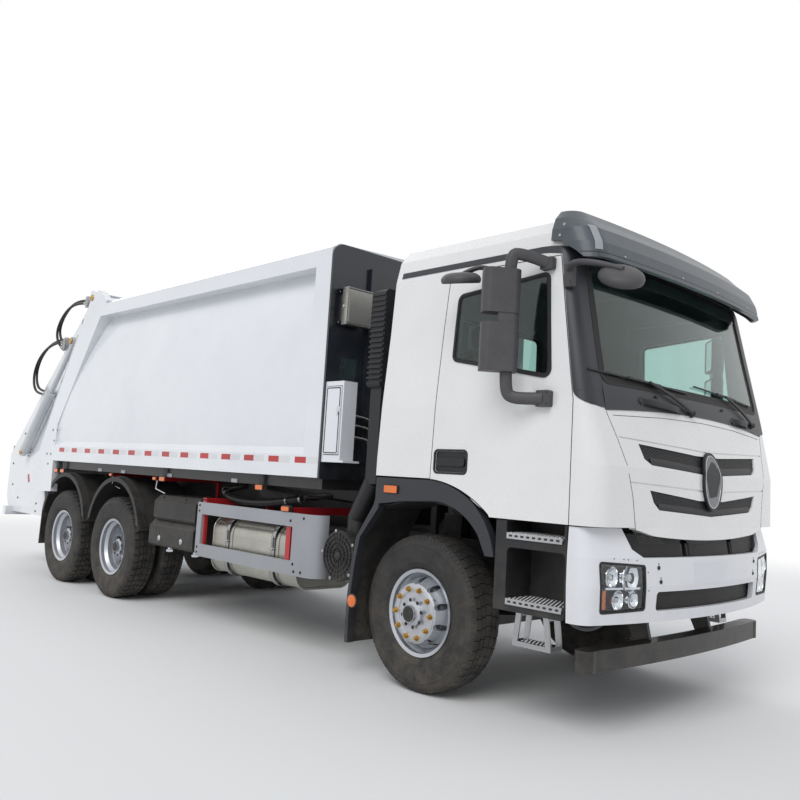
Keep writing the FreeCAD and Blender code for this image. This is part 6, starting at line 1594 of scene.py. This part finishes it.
cabinLook = {
    "dashHalf": 1.075,
    "dashProfile": ((1.13, 1.33), (1.375, 1.33), (1.318, 1.99), (1.12, 2.058), (1.012, 1.96), (1.03, 1.76)),
    "wheelCentre": (0.8, 0.56, 2.005),
    "wheelAxis": (0.901, 0, -0.434),
    "wheelRadius": 0.225,
    "seats": {"Right": -0.56, "Left": 0.56},
    "floorHigh": 1.5175,
    "cushionCentre": (0.365, 1.79),
    "cushionHalf": (0.285, 0.252, 0.072),
    "backCentre": (0.07, 2.12),
    "backHalf": (0.064, 0.245, 0.33),
    "backLean": 9.8,
    "headCentre": (0.012, 2.54),
    "headHalf": (0.06, 0.14, 0.098),
}
dash = Shape()
look = cabinLook
dash.prism(roundLoop(look["dashProfile"], 0.035, 5), "y", -look["dashHalf"], look["dashHalf"], bevel=0.01,
    segments=2, angle=60)
for y in (-1.02, 1.02):
    dash.box((1.165, y - 0.045, 1.3), (1.365, y + 0.045, 1.345), 0.004)
hood = roundLoop([(0.985, 2.03), (1.08, 2.04), (1.2, 2.075), (1.09, 2.118), (0.985, 2.098)], 0.02, 5)
dash.prism(hood, "y", 0.33, 0.79, bevel=0.014, segments=3, angle=60)
dash.box((0.985, -0.23, 1.7), (1.075, 0.24, 1.985), 0.018, 3)
dash.finish = 1
for y in (0.44, 0.68):
    dash.lathe([(0, 0), (0.062, 0), (0.066, -0.01), (0.058, -0.012), (0, -0.006)], (0.986, y, 2.062), "x", 28)
for y0, y1 in ((-1.02, -0.86), (-0.21, -0.09), (0.1, 0.22), (0.86, 1.02)):
    dash.box((1.012, y0, 1.88), (1.03, y1, 1.95), 0.006)
    for row in range(4):
        dash.box((1.004, y0 + 0.008, 1.889 + row * 0.016), (1.016, y1 - 0.008, 1.893 + row * 0.016), 0.001, 1)
dash.finish = 2
dash.box((0.979, -0.075, 1.76), (0.987, 0.09, 1.86), 0.003)
dash.box((1.014, -0.85, 1.7), (1.022, -0.35, 1.702), 0.0005, 1)
for column in range(6):
    dash.box((0.978, -0.19 + 0.062 * column, 1.715), (0.987, -0.145 + 0.062 * column, 1.742), 0.003)
dash.finish = 1
centre, axis = Vector(look["wheelCentre"]), Vector(look["wheelAxis"])
radius = look["wheelRadius"]
ring = [(radius + 0.0165 * cos(a), 0.0155 * sin(a)) for a in spread(0, 2 * pi, 14)[:-1]]
dash.lathe(ring, centre, axis, 64, closed=True)
dash.lathe([(0, -0.03), (0.058, -0.028), (0.078, -0.01), (0.07, 0.022), (0, 0.03)], centre, axis, 36)
across = axis.cross(Vector((0, 1, 0))).normalized()
for turn in (90, 210, 330):
    way = Vector((0, 1, 0)) * cos(radians(turn)) + across * sin(radians(turn))
    sweep(dash, [centre + way * 0.055, centre + way * 0.14 + axis * 0.006, centre + way * (radius - 0.004)],
        axis, 0.04, 0.016, steps=3)
dash.rod(centre + axis * 0.02, Vector((1.06, 0.56, 1.88)), 0.03, 24, 0.004)
dash.rod(centre + axis * 0.06, centre + axis * 0.13, 0.052, 28, 0.012)
for side in (-1, 1):
    stalk = centre + axis * 0.075
    dash.rod(stalk, stalk + Vector((-0.01, side * 0.17, 0.02)), 0.0075, 12, 0.003)
for x, y in ((1.01, 0.66), (1, 0.56), (0.99, 0.44)):
    dash.box((x + 0.02, y - 0.03, look["floorHigh"] + 0.02), (x + 0.045, y + 0.03, look["floorHigh"] + 0.15),
        0.006, lean=-28)
    dash.rod((x + 0.035, y, look["floorHigh"] + 0.14), (1.14, y, 1.78), 0.009, 10)
dash.finish = 3
dash.box((-0.33, -1.02, 1.9), (0.02, 1.02, 1.94), 0.012)
dash.box((-0.33, -0.93, 1.518), (-0.29, 0.93, 1.905), 0.006)
for y in (-0.93, 0.93):
    dash.box((-0.3, y - 0.02, 1.518), (0, y + 0.02, 1.905), 0.006)
dash.done("dashboard", "cab", "dashPlastic", "blackPlastic", "badgeDisc", "trimFabric",
    replaces=["cab_interior"])


def pillow(shape, centre, half, lean, grooves=(), plan=0.36):
    # crowned cushion; grooves are stitched channels across its upper face
    turn = rotated(lean, "Y")
    power = lambda value, amount: copysign(abs(value) ** amount, value)
    across, around, side = 22, 56, 0.5
    made = bmesh.new()
    rings = []
    for i in range(across + 1):
        tilt = pi * (i / across - 0.5)
        ring = []
        for j in range(around if 0 < i < across else 1):
            angle = 2 * pi * j / around
            flatness = power(cos(tilt), side) if 0 < i < across else 0
            p = Vector((flatness * power(cos(angle), plan), flatness * power(sin(angle), plan),
                power(sin(tilt), side)))
            dent = sum(0.055 * exp(-((p.x - x) / 0.03) ** 2) for x in grooves)
            dent += 0.05 * exp(-((abs(p.y) - 0.62) / 0.035) ** 2) if grooves else 0
            p.z *= 1 - (dent if p.z > 0 else 0)
            p.z += 0.1 * (1 - p.x ** 2) * (1 - p.y ** 2) * (1 if p.z > 0 else 0)
            p = Vector((p.x * half[0], p.y * half[1], p.z * half[2]))
            ring.append(made.verts.new(turn @ p + Vector(centre)))
        rings.append(ring)
    for one, two in zip(rings, rings[1:]):
        joinRings(made, one, two)
    shape.add(made)


for seatName, y in look["seats"].items():
    seat = Shape()
    x, z = look["cushionCentre"]
    pillow(seat, (x, y, z), look["cushionHalf"], -2, (-0.45, 0, 0.45))
    for edge in (-1, 1):
        pillow(seat, (x, y + edge * 0.205, z + 0.03), (0.27, 0.05, 0.062), -2)
    bx, bz = look["backCentre"]
    thick, wide, high = look["backHalf"]
    lean = 90 - look["backLean"]
    pillow(seat, (bx, y, bz), (high, wide, thick), lean, (-0.55, -0.15, 0.25))
    for edge in (-1, 1):
        pillow(seat, (bx + 0.03, y + edge * 0.2, bz - 0.02), (high * 0.85, 0.048, thick * 0.85), lean)
    x, z = look["headCentre"]
    pillow(seat, (x, y, z), look["headHalf"][::-1], lean, plan=0.5)
    cushions = seat.done("seatCushions" + seatName, "cab", "seatFabric", replaces=["cab_interior"])

    frameShape = Shape()
    low = look["floorHigh"]
    frameShape.box((0.19, y - 0.17, low), (0.56, y + 0.17, low + 0.04), 0.008)
    for row in range(5):
        frameShape.box((0.2, y - 0.165, low + 0.036 + row * 0.026), (0.55, y + 0.165, low + 0.06 + row * 0.026),
            0.01, 3)
    frameShape.box((0.12, y - 0.235, low + 0.16), (0.61, y + 0.235, low + 0.215), 0.018, 3)
    frameShape.finish = 1
    for edge in (-0.075, 0.075):
        frameShape.rod((0.03, y + edge, 2.4), (0.014, y + edge, 2.48), 0.007, 12)
    frameShape.box((0.03, y - 0.262, 1.76), (0.13, y - 0.246, 1.86), 0.005)
    frameShape.box((0.03, y + 0.246, 1.76), (0.13, y + 0.262, 1.86), 0.005)
    frameShape.finish = 0
    sweep(frameShape, [(0.075, y + 0.275, 2.06), (0.2, y + 0.277, 2.072), (0.36, y + 0.275, 2.06)], (0, 0, 1),
        0.05, 0.042, 0.45, steps=4)
    frameShape.finish = 2
    frameShape.box((0.215, y + 0.185, 1.8), (0.24, y + 0.235, 1.925), 0.005)
    frameShape.done("seatFrame" + seatName, "cab", "dashPlastic", "bareSteel", "redLens",
        replaces=["cab_interior"])
print("cab interior made")


def trimInside(node, finish):
    # faces that look into the cab get the lining's finish
    margin = 0.018
    mesh = cadNodes[node].data
    mesh.materials.append(finishes[finish])
    matrix = cadNodes[node].matrix_world
    for face in mesh.polygons:
        spot = matrix @ face.center
        x, y, z = spot.x - frontAxleX, spot.y, spot.z
        if not 1.3 < z < 3.16:
            continue
        half, nose, radius, turn, cornerX = cabSkin.corner(z)
        depth = min(half - abs(y), nose - 9 + sqrt(81 - y * y) - x)
        if x > cornerX and abs(y) > half - radius:
            depth = min(depth, radius - hypot(x - cornerX, abs(y) - half + radius))
        if depth > margin and x > -0.362 + margin:
            face.material_index = 1


for node in ("cab_shell", "door_right", "door_left"):
    trimInside(node, "trimFabric")


# Side lamps, tape and reflectors

sideLook = {
    "archLamp": (-0.29, -0.15, 1.345, 1.405),
    "markerPlaces": ((-6.33, 1.3), (-6.135, 1.301), (-3.617, 1.307), (-1.9, 1.307)),
    "tapeHigh": 1.556,
    "tapeStart": -6.241,
    "tapePitch": 0.373,
    "tapeBlock": 0.15,
    "tapeTall": 0.05,
    "tapeCount": 14,
    "bodySide": 1.25,
}


def tapeBlock(shape):
    shape.box((0, 0, 0), (sideLook["tapeBlock"], sideLook["tapeTall"], 0.0009), 0.0003, 1)


unitParts["tape"] = unitPart("unitTape", tapeBlock)


def sideLamp(shape, x0, x1, z0, z1, face, side, deep=0.016, lens=1):
    shape.finish = 0
    shape.prism(rectLoop(x0, x1, z0, z1, 0.008, 4), "y", side * (face + 0.0004), side * (face + deep * 0.6),
        bevel=0.002)
    shape.finish = lens
    shape.prism(rectLoop(x0 + 0.005, x1 - 0.005, z0 + 0.005, z1 - 0.005, 0.006, 4), "y",
        side * (face + deep * 0.55), side * (face + deep), bevel=0.004, segments=3)


for sideName, side in sides:
    look = sideLook
    lamps = Shape()
    sideLamp(lamps, *look["archLamp"], 1.245, side)
    for x, z in look["markerPlaces"]:
        sideLamp(lamps, x - 0.055, x + 0.055, z - 0.024, z + 0.024, 1.222, side)
        lamps.finish = 0
        lamps.box((x - 0.03, side * 1.215 - 0.002, z - 0.015), (x + 0.03, side * 1.215 + 0.002, 1.4185), 0.001,
            1)
        lamps.box((x - 0.03, side * 1.15, 1.415), (x + 0.03, side * 1.217, 1.4195), 0.001, 1)
        lamps.rod((x, side * 1.215, z), (x, side * 1.15, z + 0.05), 0.004, 8)
    lamps.done("sideLamps" + sideName.title(), "truck", "blackPlastic", "amberLens")

    tape = Shape()
    place = (0, side * (look["bodySide"] + 0.0003), look["tapeHigh"] - look["tapeTall"] / 2)
    stand = moved(place) @ Matrix(((1, 0, 0, 0), (0, 0, side, 0), (0, 1, 0, 0), (0, 0, 0, 1)))
    for shift, finish in ((0, 0), (look["tapeBlock"] + 0.0005, 1)):
        strip = gridOf("tape", look["tapeCount"], 1, look["tapePitch"], 0.1)
        tape.copyOf(strip, stand @ moved((look["tapeStart"] + shift, 0, 0)), finish)
    tape.done("bodyTape" + sideName.title(), "truck", "tapeRed", "tapeWhite")


# Step treads, tank straps and the parts beside the frame

treadLook = {
    "plates": ((0.842, 1.266, 1.163), (0.852, 1.276, 0.766)),
    "inner": 0.99,
    "outer": 1.242,
    "studStep": 0.028,
}


def treadStud(shape):
    shape.lathe([(0.0045, 0), (0.0085, 0), (0.0078, 0.0028), (0.0052, 0.0028)], (0, 0, 0), "z", 12, closed=True)


unitParts["stud"] = unitPart("unitTreadStud", treadStud)
for sideName, side in sides:
    steps = Shape()
    look = treadLook
    for x0, x1, z in look["plates"]:
        steps.finish = 0
        columns = int((x1 - x0 - 0.03) / look["studStep"])
        rows = int((look["outer"] - look["inner"] - 0.02) / look["studStep"])
        studs = gridOf("stud", columns, rows, look["studStep"], look["studStep"], look["studStep"] / 2)
        low = min(side * look["inner"], side * look["outer"]) + 0.022
        steps.copyOf(studs, moved((x0 + 0.018, low, z + 0.0003)))
        # turned-down front lip with its row of drain slots
        face = side * look["outer"]
        steps.prism(rectLoop(x0 + 0.004, x1 - 0.004, z - 0.036, z + 0.0015, 0.004, 3), "y",
            face + side * 0.0004, face + side * 0.005, bevel=0.001, segments=1)
        steps.finish = 1
        for number in range(9):
            middle = x0 + 0.035 + number * (x1 - x0 - 0.07) / 8
            steps.prism(rectLoop(middle - 0.013, middle + 0.013, z - 0.024, z - 0.011, 0.006, 4), "y",
                face + side * 0.0046, face + side * 0.0058)
    steps.finish = 0
    # the third tread is narrow
    steps.copyOf(gridOf("stud", 7, 3, 0.028, 0.028, 0.014), moved((0.909, side * 1.1 - 0.028, 0.5083)))
    steps.done("stepPlates" + sideName.title(), "truck", "treadMetal", "blackPlastic")

tankLook = {
    "ends": (-2.7, -1.4),
    "outer": 1.15,
    "inner": 0.56,
    "low": 0.5,
    "high": 1.01,
    "corner": 0.12,
    "straps": (-2.44, -1.73),
    "cap": (-1.56, -1.085, 1),
}
tank = Shape()
look = tankLook
section = rectLoop(-look["outer"], -look["inner"], look["low"], look["high"], look["corner"], 10)
place = flat["x"]
for x in look["straps"]:
    tank.edging(section, 0.0105, 0.0065, place, x - 0.029, x + 0.029, 0.001)
    tank.finish = 1
    tank.edging(section, 0.0125, 0.01, place, x - 0.021, x + 0.021, 0.001)
    tank.rod((x, -look["outer"] - 0.02, 0.905), (x, -look["outer"] - 0.02, 0.79), 0.006, 12, 0.001)
    for z in (0.8, 0.895):
        tank.rod((x, -look["outer"] - 0.008, z), (x, -look["outer"] - 0.03, z), 0.011, 6, 0.002)
    tank.finish = 0
tank.finish = 2
for x in look["ends"]:
    tank.edging(section, 0.003, -0.018, place, x - 0.006, x + 0.006, 0.003)
tank.finish = 0
cx, cy, cz = look["cap"]
tank.lathe([(0, 0), (0.048, 0), (0.048, 0.022), (0.066, 0.024), (0.068, 0.05), (0.06, 0.058), (0, 0.06)],
    (cx, cy, cz), (0, -0.35, 1), 36)
for number in range(3):
    angle = 2 * pi * number / 3
    x, y = cx - 0.05 * cos(angle), cy - 0.02 - 0.05 * sin(angle)
    tank.box((x - 0.008, y - 0.008, cz + 0.052), (x + 0.008, y + 0.008, cz + 0.066), 0.003)
tank.finish = 1
tank.rod((-2.05, -0.85, 1.008), (-2.05, -0.85, 1.03), 0.03, 24, 0.003)
tank.pipe([(-2.05, -0.85, 1.03), (-2.05, -0.84, 1.07), (-2.05, -0.76, 1.095), (-2.06, -0.62, 1.08),
    (-2.06, -0.44, 1.05)], 0.008)
tank.done("tankTrim", "truck", "blackPlastic", "bareSteel", "tankMetal")

airLook = {
    "centre": (-0.808, 0.842),
    "face": 1.205,
}
air = Shape()
cx, cz = airLook["centre"]
face = -airLook["face"]
for radius, width, lift in ((0.176, 0.01, 0.01), (0.14, 0.007, 0.012), (0.104, 0.007, 0.013),
        (0.066, 0.007, 0.014)):
    low, high = radius - width / 2, radius + width / 2
    air.lathe([(low, face + 0.002), (low, face - lift + 0.003), (radius, face - lift),
        (high, face - lift + 0.003), (high, face + 0.002)], (cx, 0, cz), "y", 48, closed=True)
for number in range(12):
    angle = 2 * pi * number / 12
    way = Vector((cos(angle), 0, sin(angle)))
    base = Vector((cx, face - 0.003, cz))
    sweep(air, [base + way * 0.03, base + way * 0.1, base + way * 0.176], (0, 1, 0), 0.008, 0.01, steps=2)
air.disc([(0.03, face + 0.001), (0.03, face - 0.012), (0.022, face - 0.018)], (cx, 0, cz), "y", 28)
air.finish = 1
for number in range(5):
    angle = radians(30 + 72 * number)
    spot = Vector((cx + 0.19 * cos(angle), face + 0.014, cz + 0.19 * sin(angle)))
    air.box(spot - Vector((0.012, 0.026, 0.012)), spot + Vector((0.012, 0.01, 0.012)), 0.003)
air.done("airCleanerTrim", "truck", "blackPlastic", "bareSteel")
print("side details made")


# Tailgate hoses, pin heads and bolts

rearLook = {
    "hoseRadius": 0.016,
    "hoseSides": 3,
    "upperHose": ((-6.13, -1.14, 3.395), (-6.4, -1.165, 3.43), (-6.7, -1.18, 3.33), (-6.9, -1.185, 3.12),
                  (-6.84, -1.175, 2.93), (-6.735, -1.14, 2.865)),
    "lowerHose": ((-6.735, -1.14, 2.955), (-6.98, -1.175, 2.95), (-7.33, -1.185, 2.83), (-7.53, -1.185, 2.63),
                  (-7.52, -1.185, 2.42), (-7.36, -1.18, 2.29), (-7.075, -1.18, 2.275)),
    "hoseStep": (0, 0.034, 0.012),
    "manifold": (-6.095, 3.395),
    "joint": (-6.7, 2.91),
    "port": (-7.046, 2.255),
    "earPin": (-6.29, 2.92, 1.225),
    "footPin": (-7.636, 1.502, 1.22),
    "hingePin": (-5.704, 3.397, 1.25),
    "pinRadius": 0.034,
    "gateBolts": ((-7.3, 1.28), (-7.22, 0.84), (-7.22, 0.74)),
    "edgeBolts": ((-7.9, 0.88), (-8.14, 1.05), (-8.2, 1.34), (-7.86, 1.76)),
    "plateFace": 1.1,
    "sideMark": (-7.57, 1.157, 24),
}


def pinHead(shape, x, z, face, radius):
    # a pin's turned head
    shape.finish = 0
    shape.disc([(radius, -face + 0.001), (radius, -face - 0.007), (radius - 0.004, -face - 0.011),
        (radius * 0.45, -face - 0.011), (radius * 0.38, -face - 0.008)], (x, 0, z), "y", 32)


def keeperPlate(shape, x, z, face, radius):
    shape.finish = 1
    shape.prism(rectLoop(x - radius * 1.9, x - radius * 0.75, z - 0.016, z + 0.016, 0.005), "y", -face - 0.006,
        -face + 0.001, 0.0015)
    sideBolts(shape, [(x - radius * 1.35, z)], face + 0.006, 0.8)


look = rearLook
gate = Shape()
for line in ("upperHose", "lowerHose"):
    for step in (0, 1):
        shift = (Vector(look["hoseStep"]) + Vector((0, 0, 0.03))) * step
        points = [Vector(spot) + shift for spot in look[line]]
        gate.finish = 2
        gate.pipe(points, look["hoseRadius"], look["hoseSides"])
        gate.finish = 1
        for first, second in ((points[0], points[1]), (points[-1], points[-2])):
            way = (second - first).normalized()
            gate.rod(first - way * 0.03, first + way * 0.05, look["hoseRadius"] + 0.005, 20, 0.002)
            gate.rod(first - way * 0.004, first + way * 0.014, look["hoseRadius"] + 0.01, 6, 0.001)
gate.finish = 1
for (x, z), wide in ((look["manifold"], 0.035), (look["joint"], 0.05)):
    gate.box((x - wide, -1.16, z - 0.055), (x + wide, -1.098, z + 0.085), 0.005)
    sideBolts(gate, [(x + wide * 0.5, z + 0.045), (x + wide * 0.5, z - 0.03)], 1.16, 0.8)
x, z = look["port"]
gate.box((x - 0.028, -1.2, z - 0.02), (x + 0.03, -1.125, z + 0.085), 0.004)
x, z, face = look["footPin"]
pinHead(gate, x, z, face, look["pinRadius"])
gate.finish = 3
sideBolts(gate, look["gateBolts"] + look["edgeBolts"], look["plateFace"], 1.1)
ring = [(look["footPin"][0] + a, look["footPin"][1] + b) for a, b in hexLoop(0.053)]
sideBolts(gate, ring, look["plateFace"] + 0.01, 0.8)
x, z, lean = look["sideMark"]
turn = Matrix.Rotation(radians(lean), 2)
gate.finish = 4
mark = [turn @ corner + Vector((x, z)) for corner in rectLoop(-0.016, 0.016, -0.055, 0.055, 0.005)]
gate.prism(mark, "y", -look["plateFace"] - 0.008, -look["plateFace"] + 0.001, 0.0015)
gate.mirrorOver()
gate.done("tailgateLines", "tailgate", "brassPlate", "bareSteel", "hoseRubber", "darkSteel", "redLens")

earPins = Shape()
x, z, face = look["earPin"]
pinHead(earPins, x, z, face, look["pinRadius"] + 0.006)
earPins.mirrorOver()
earPins.done("earPinHeads", "carriage", "brassPlate", "bareSteel")

hingePins = Shape()
x, z, face = look["hingePin"]
pinHead(hingePins, x, z, face, look["pinRadius"] + 0.004)
keeperPlate(hingePins, x, z, face, look["pinRadius"] + 0.004)
hingePins.finish = 1
sideBolts(hingePins, ((-6.5, 1.8), (-6.36, 1.8), (-6.43, 1.665), (-6.62, 1.5), (-6.5, 1.5), (-6.56, 1.375)),
    1.25, 1.2)
hingePins.mirrorOver()
hingePins.done("bodyPinHeads", "truck", "brassPlate", "bareSteel", "darkSteel")


# Rear lamps, plate seat and the bar's bolts

tailLook = {
    "lampRows": ((0.885, 0.985, 2), (0.993, 1.083, 1), (1.091, 1.178, 0)),
    "low": 0.655,
    "high": 0.745,
    "face": -8.13,
    "plate": (0.27, 0.056),
}
look = tailLook
tail = Shape()
for start, end, lens in look["lampRows"]:
    tail.finish = lens
    outline = rectLoop(-end, -start, look["low"], look["high"], 0.012)
    tail.prism(outline, "x", look["face"] - 0.012, look["face"] + 0.001, 0.004)
    for row in range(5):
        z = look["low"] + 0.012 + 0.0135 * (row + 1)
        tail.box((look["face"] - 0.0135, -end + 0.012, z - 0.0015),
            (look["face"] - 0.01, -start - 0.012, z + 0.0015), 0.0006, 1)
tail.finish = 3
tail.band(rectLoop(-1.19, -0.873, look["low"] - 0.012, look["high"] + 0.012, 0.016),
    rectLoop(-1.183, -0.88, look["low"] - 0.004, look["high"] + 0.004, 0.012), flat["x"], look["face"] + 0.002,
    look["face"] - 0.014, 0.002)
boltsAt(tail, [(-8.11, -y, 0.7) for y in (0.42, 0.62, 0.8)], "-x")
tail.finish = 0
tail.disc([(0.036, 0.001), (0.036, 0.01), (0.03, 0.013)], (-8.33, -1.037, 1.05), (-1, 0, 0), 28)
tail.mirrorOver()
wide, tall = look["plate"]
tail.finish = 4
tail.prism(rectLoop(-wide, wide, 0.7 - tall, 0.7 + tall, 0.006), "x", -8.117, -8.109, 0.0015)
tail.finish = 3
for side in (-1, 1):
    y = side * (wide + 0.045)
    tail.box((-8.14, y - 0.022, 0.676), (-8.108, y + 0.022, 0.724), 0.006)
tail.done("rearLamps", "tailgate", "redLens", "amberLens", "paleLens", "blackPlastic", "plateSeat")


# Small parts along the right side

kerbLook = {
    "hoseRadius": 0.034,
    "hose": ((-3.02, -0.86, 1.235), (-2.88, -0.94, 1.215), (-2.66, -1, 1.165), (-2.38, -1.01, 1.15),
        (-2.08, -1, 1.165), (-1.8, -0.98, 1.205), (-1.66, -0.94, 1.23)),
    "thinPipe": ((-1.66, -0.94, 1.23), (-1.58, -0.92, 1.25), (-1.46, -0.85, 1.25), (-1.4, -0.6, 1.22)),
    "guardFace": 1.23,
    "guardBolts": ((-2.845, 1.095), (-2.845, 1.045), (-2.845, 0.712), (-2.845, 0.665), (-1.415, 1.06),
        (-1.35, 0.72), (-1.33, 0.662), (-1.24, 1.09), (-1.24, 0.665)),
    "postBolts": ((-2.826, 1.148), (-2.796, 1.148), (-1.486, 1.148), (-1.456, 1.148)),
    "latch": (-0.885, -1.243, 1.96),
}
look = kerbLook
kerb = Shape()
kerb.finish = 2
kerb.pipe(look["hose"], look["hoseRadius"], 5, 6)
kerb.pipe(look["thinPipe"], 0.012)
kerb.finish = 1
points = [Vector(spot) for spot in look["hose"]]
for first, second in ((points[0], points[1]), (points[1], points[2]), (points[-2], points[-3]),
        (points[-1], points[-2])):
    way = (second - first).normalized()
    kerb.rod(first + way * 0.01, first + way * 0.028, look["hoseRadius"] + 0.003, 24, 0.0015)
for spot, back in ((points[0], Vector((-0.1, 0.3, 0.045))), (points[-1], Vector((0.02, 0.3, 0.035)))):
    kerb.rod(spot + back, spot, look["hoseRadius"] - 0.004, 24, 0.002)
kerb.finish = 3
sideBolts(kerb, look["guardBolts"], look["guardFace"], 0.9)
sideBolts(kerb, look["postBolts"], 1.205, 0.8)
# the amber lamp on the guard's upper edge with its bracket
kerb.finish = 3
kerb.box((-1.555, -1.222, 1.122), (-1.425, -1.206, 1.18), 0.004)
sideLamp(kerb, -1.545, -1.435, 1.128, 1.174, 1.222, -1, 0.022, 5)
# amber side lamps on their bent stays, and the grey reflectors along the subframe
for x in (-4.8575, -3.8375):
    sideLamp(kerb, x - 0.034, x + 0.034, 1.286, 1.322, 1.18, -1, 0.028, 5)
    kerb.finish = 4
    kerb.rod((x, -1.165, 1.285), (x - 0.02, -1.165, 1.2), 0.007, 12)
    kerb.rod((x - 0.02, -1.165, 1.2), (x + 0.16, -1.15, 1.16), 0.007, 12)
for x in (-5.159, -4.573, -3.54, -2.352):
    kerb.finish = 6
    kerb.prism(rectLoop(x - 0.048, x + 0.048, 1.33, 1.364, 0.006), "y", -1.1965, -1.1895, 0.0015)
# the round marker on the front guard's leg
kerb.finish = 3
kerb.disc([(0.052, -1.246), (0.052, -1.252), (0.048, -1.255)], (-0.566, 0, 0.545), "y", 32)
kerb.finish = 5
kerb.lathe([(0, -1.2545), (0.044, -1.2545), (0.043, -1.26), (0.034, -1.263), (0, -1.264)], (-0.566, 0, 0.545),
    "y", 32)
# drain couplings under the boxes
for x in (-3.62, -3.12):
    kerb.finish = 4
    kerb.rod((x, -1.08, 0.655), (x, -1.08, 0.6), 0.02, 20, 0.003)
    kerb.rod((x, -1.08, 0.606), (x, -1.08, 0.582), 0.032, 6, 0.002)
# hinges of the tool boxes and their twist latches
for x in (-3.58, -3.15):
    kerb.finish = 3
    kerb.rod((x - 0.045, -1.231, 1.128), (x + 0.045, -1.231, 1.128), 0.008, 14, 0.001)
    kerb.finish = 4
    kerb.disc([(0.026, -1.224), (0.026, -1.231), (0.02, -1.234)], (x, 0, 0.725), "y", 28)
    kerb.box((x - 0.006, -1.241, 0.712), (x + 0.006, -1.232, 0.738), 0.002)
kerb.done("rightSideParts", "truck", "blackPlastic", "bareSteel", "hoseRubber", "darkSteel", "chromeTrim",
    "amberLens", "guardGrey")

cabinetTrim = Shape()
x, y, z = look["latch"]
cabinetTrim.finish = 1
cabinetTrim.disc([(0.026, y + 0.001), (0.026, y - 0.004), (0.022, y - 0.0065)], (x, 0, z), "y", 28)
cabinetTrim.prism(rectLoop(x - 0.008, x + 0.008, z - 0.045, z + 0.018, 0.006), "y", y - 0.0085, y - 0.006,
    0.001)
cabinetTrim.finish = 0
outline = rectLoop(-1.036, -0.868, 1.617, 2.133, 0.012)
cabinetTrim.band(outline, grownLoop(outline, -0.007), flat["y"], y + 0.001, y - 0.0035, 0.001)
cabinetTrim.done("cabinetDoorTrim", "cabinet_door", "sealRubber", "chromeTrim")

# Pipes between the cab and the body, the control box's lip and the intake's duct

backLook = {
    "pipeRows": (1.742, 1.838, 1.915),
    "pipeRadius": (0.014, 0.011, 0.011),
    "boxEdge": ((-1.06, -0.942), 2.945, (-1.168, -0.916)),
    "ductStart": (-0.94, -0.985, 1.1),
    "ductEnd": (-0.77, -0.86, 1.18),
}
look = backLook
back = Shape()
for z, radius in zip(look["pipeRows"], look["pipeRadius"]):
    back.pipe([(-1.03, -0.78, z - 0.1), (-1, -0.8, z), (-0.99, -0.92, z + 0.01), (-0.99, -1.01, z + 0.02),
        (-1.01, -1.05, z - 0.06), (-1.03, -1.055, z - 0.1)], radius)
(x0, x1), top, (y0, y1) = look["boxEdge"]
back.prism(rectLoop(x0 - 0.006, x1 + 0.008, y0 - 0.008, y1 + 0.006, 0.008), "z", top, top + 0.01, 0.003)
back.disc([(0.016, -1.171), (0.016, -1.178), (0.012, -1.181)], (-0.995, 0, 2.8), "y", 24)
sideBolts(back, [(x, z) for x in (-1.045, -0.955) for z in (2.672, 2.925)], 1.172, 0.7)
back.done("backPipes", "truck", "bareSteel")

first, last = Vector(look["ductStart"]), Vector(look["ductEnd"])
way = (last - first).normalized()
duct = Shape()
profile = [(0, -0.04)]
for number in range(9):
    along = 0.012 + number * 0.024
    profile += [(0.052, along - 0.01), (0.062, along), (0.052, along + 0.01)]
profile += [(0.05, 0.24), (0, 0.24)]
duct.lathe(profile, first, way, 32)
duct.done("intakeDuct", "truck", "hoseRubber")
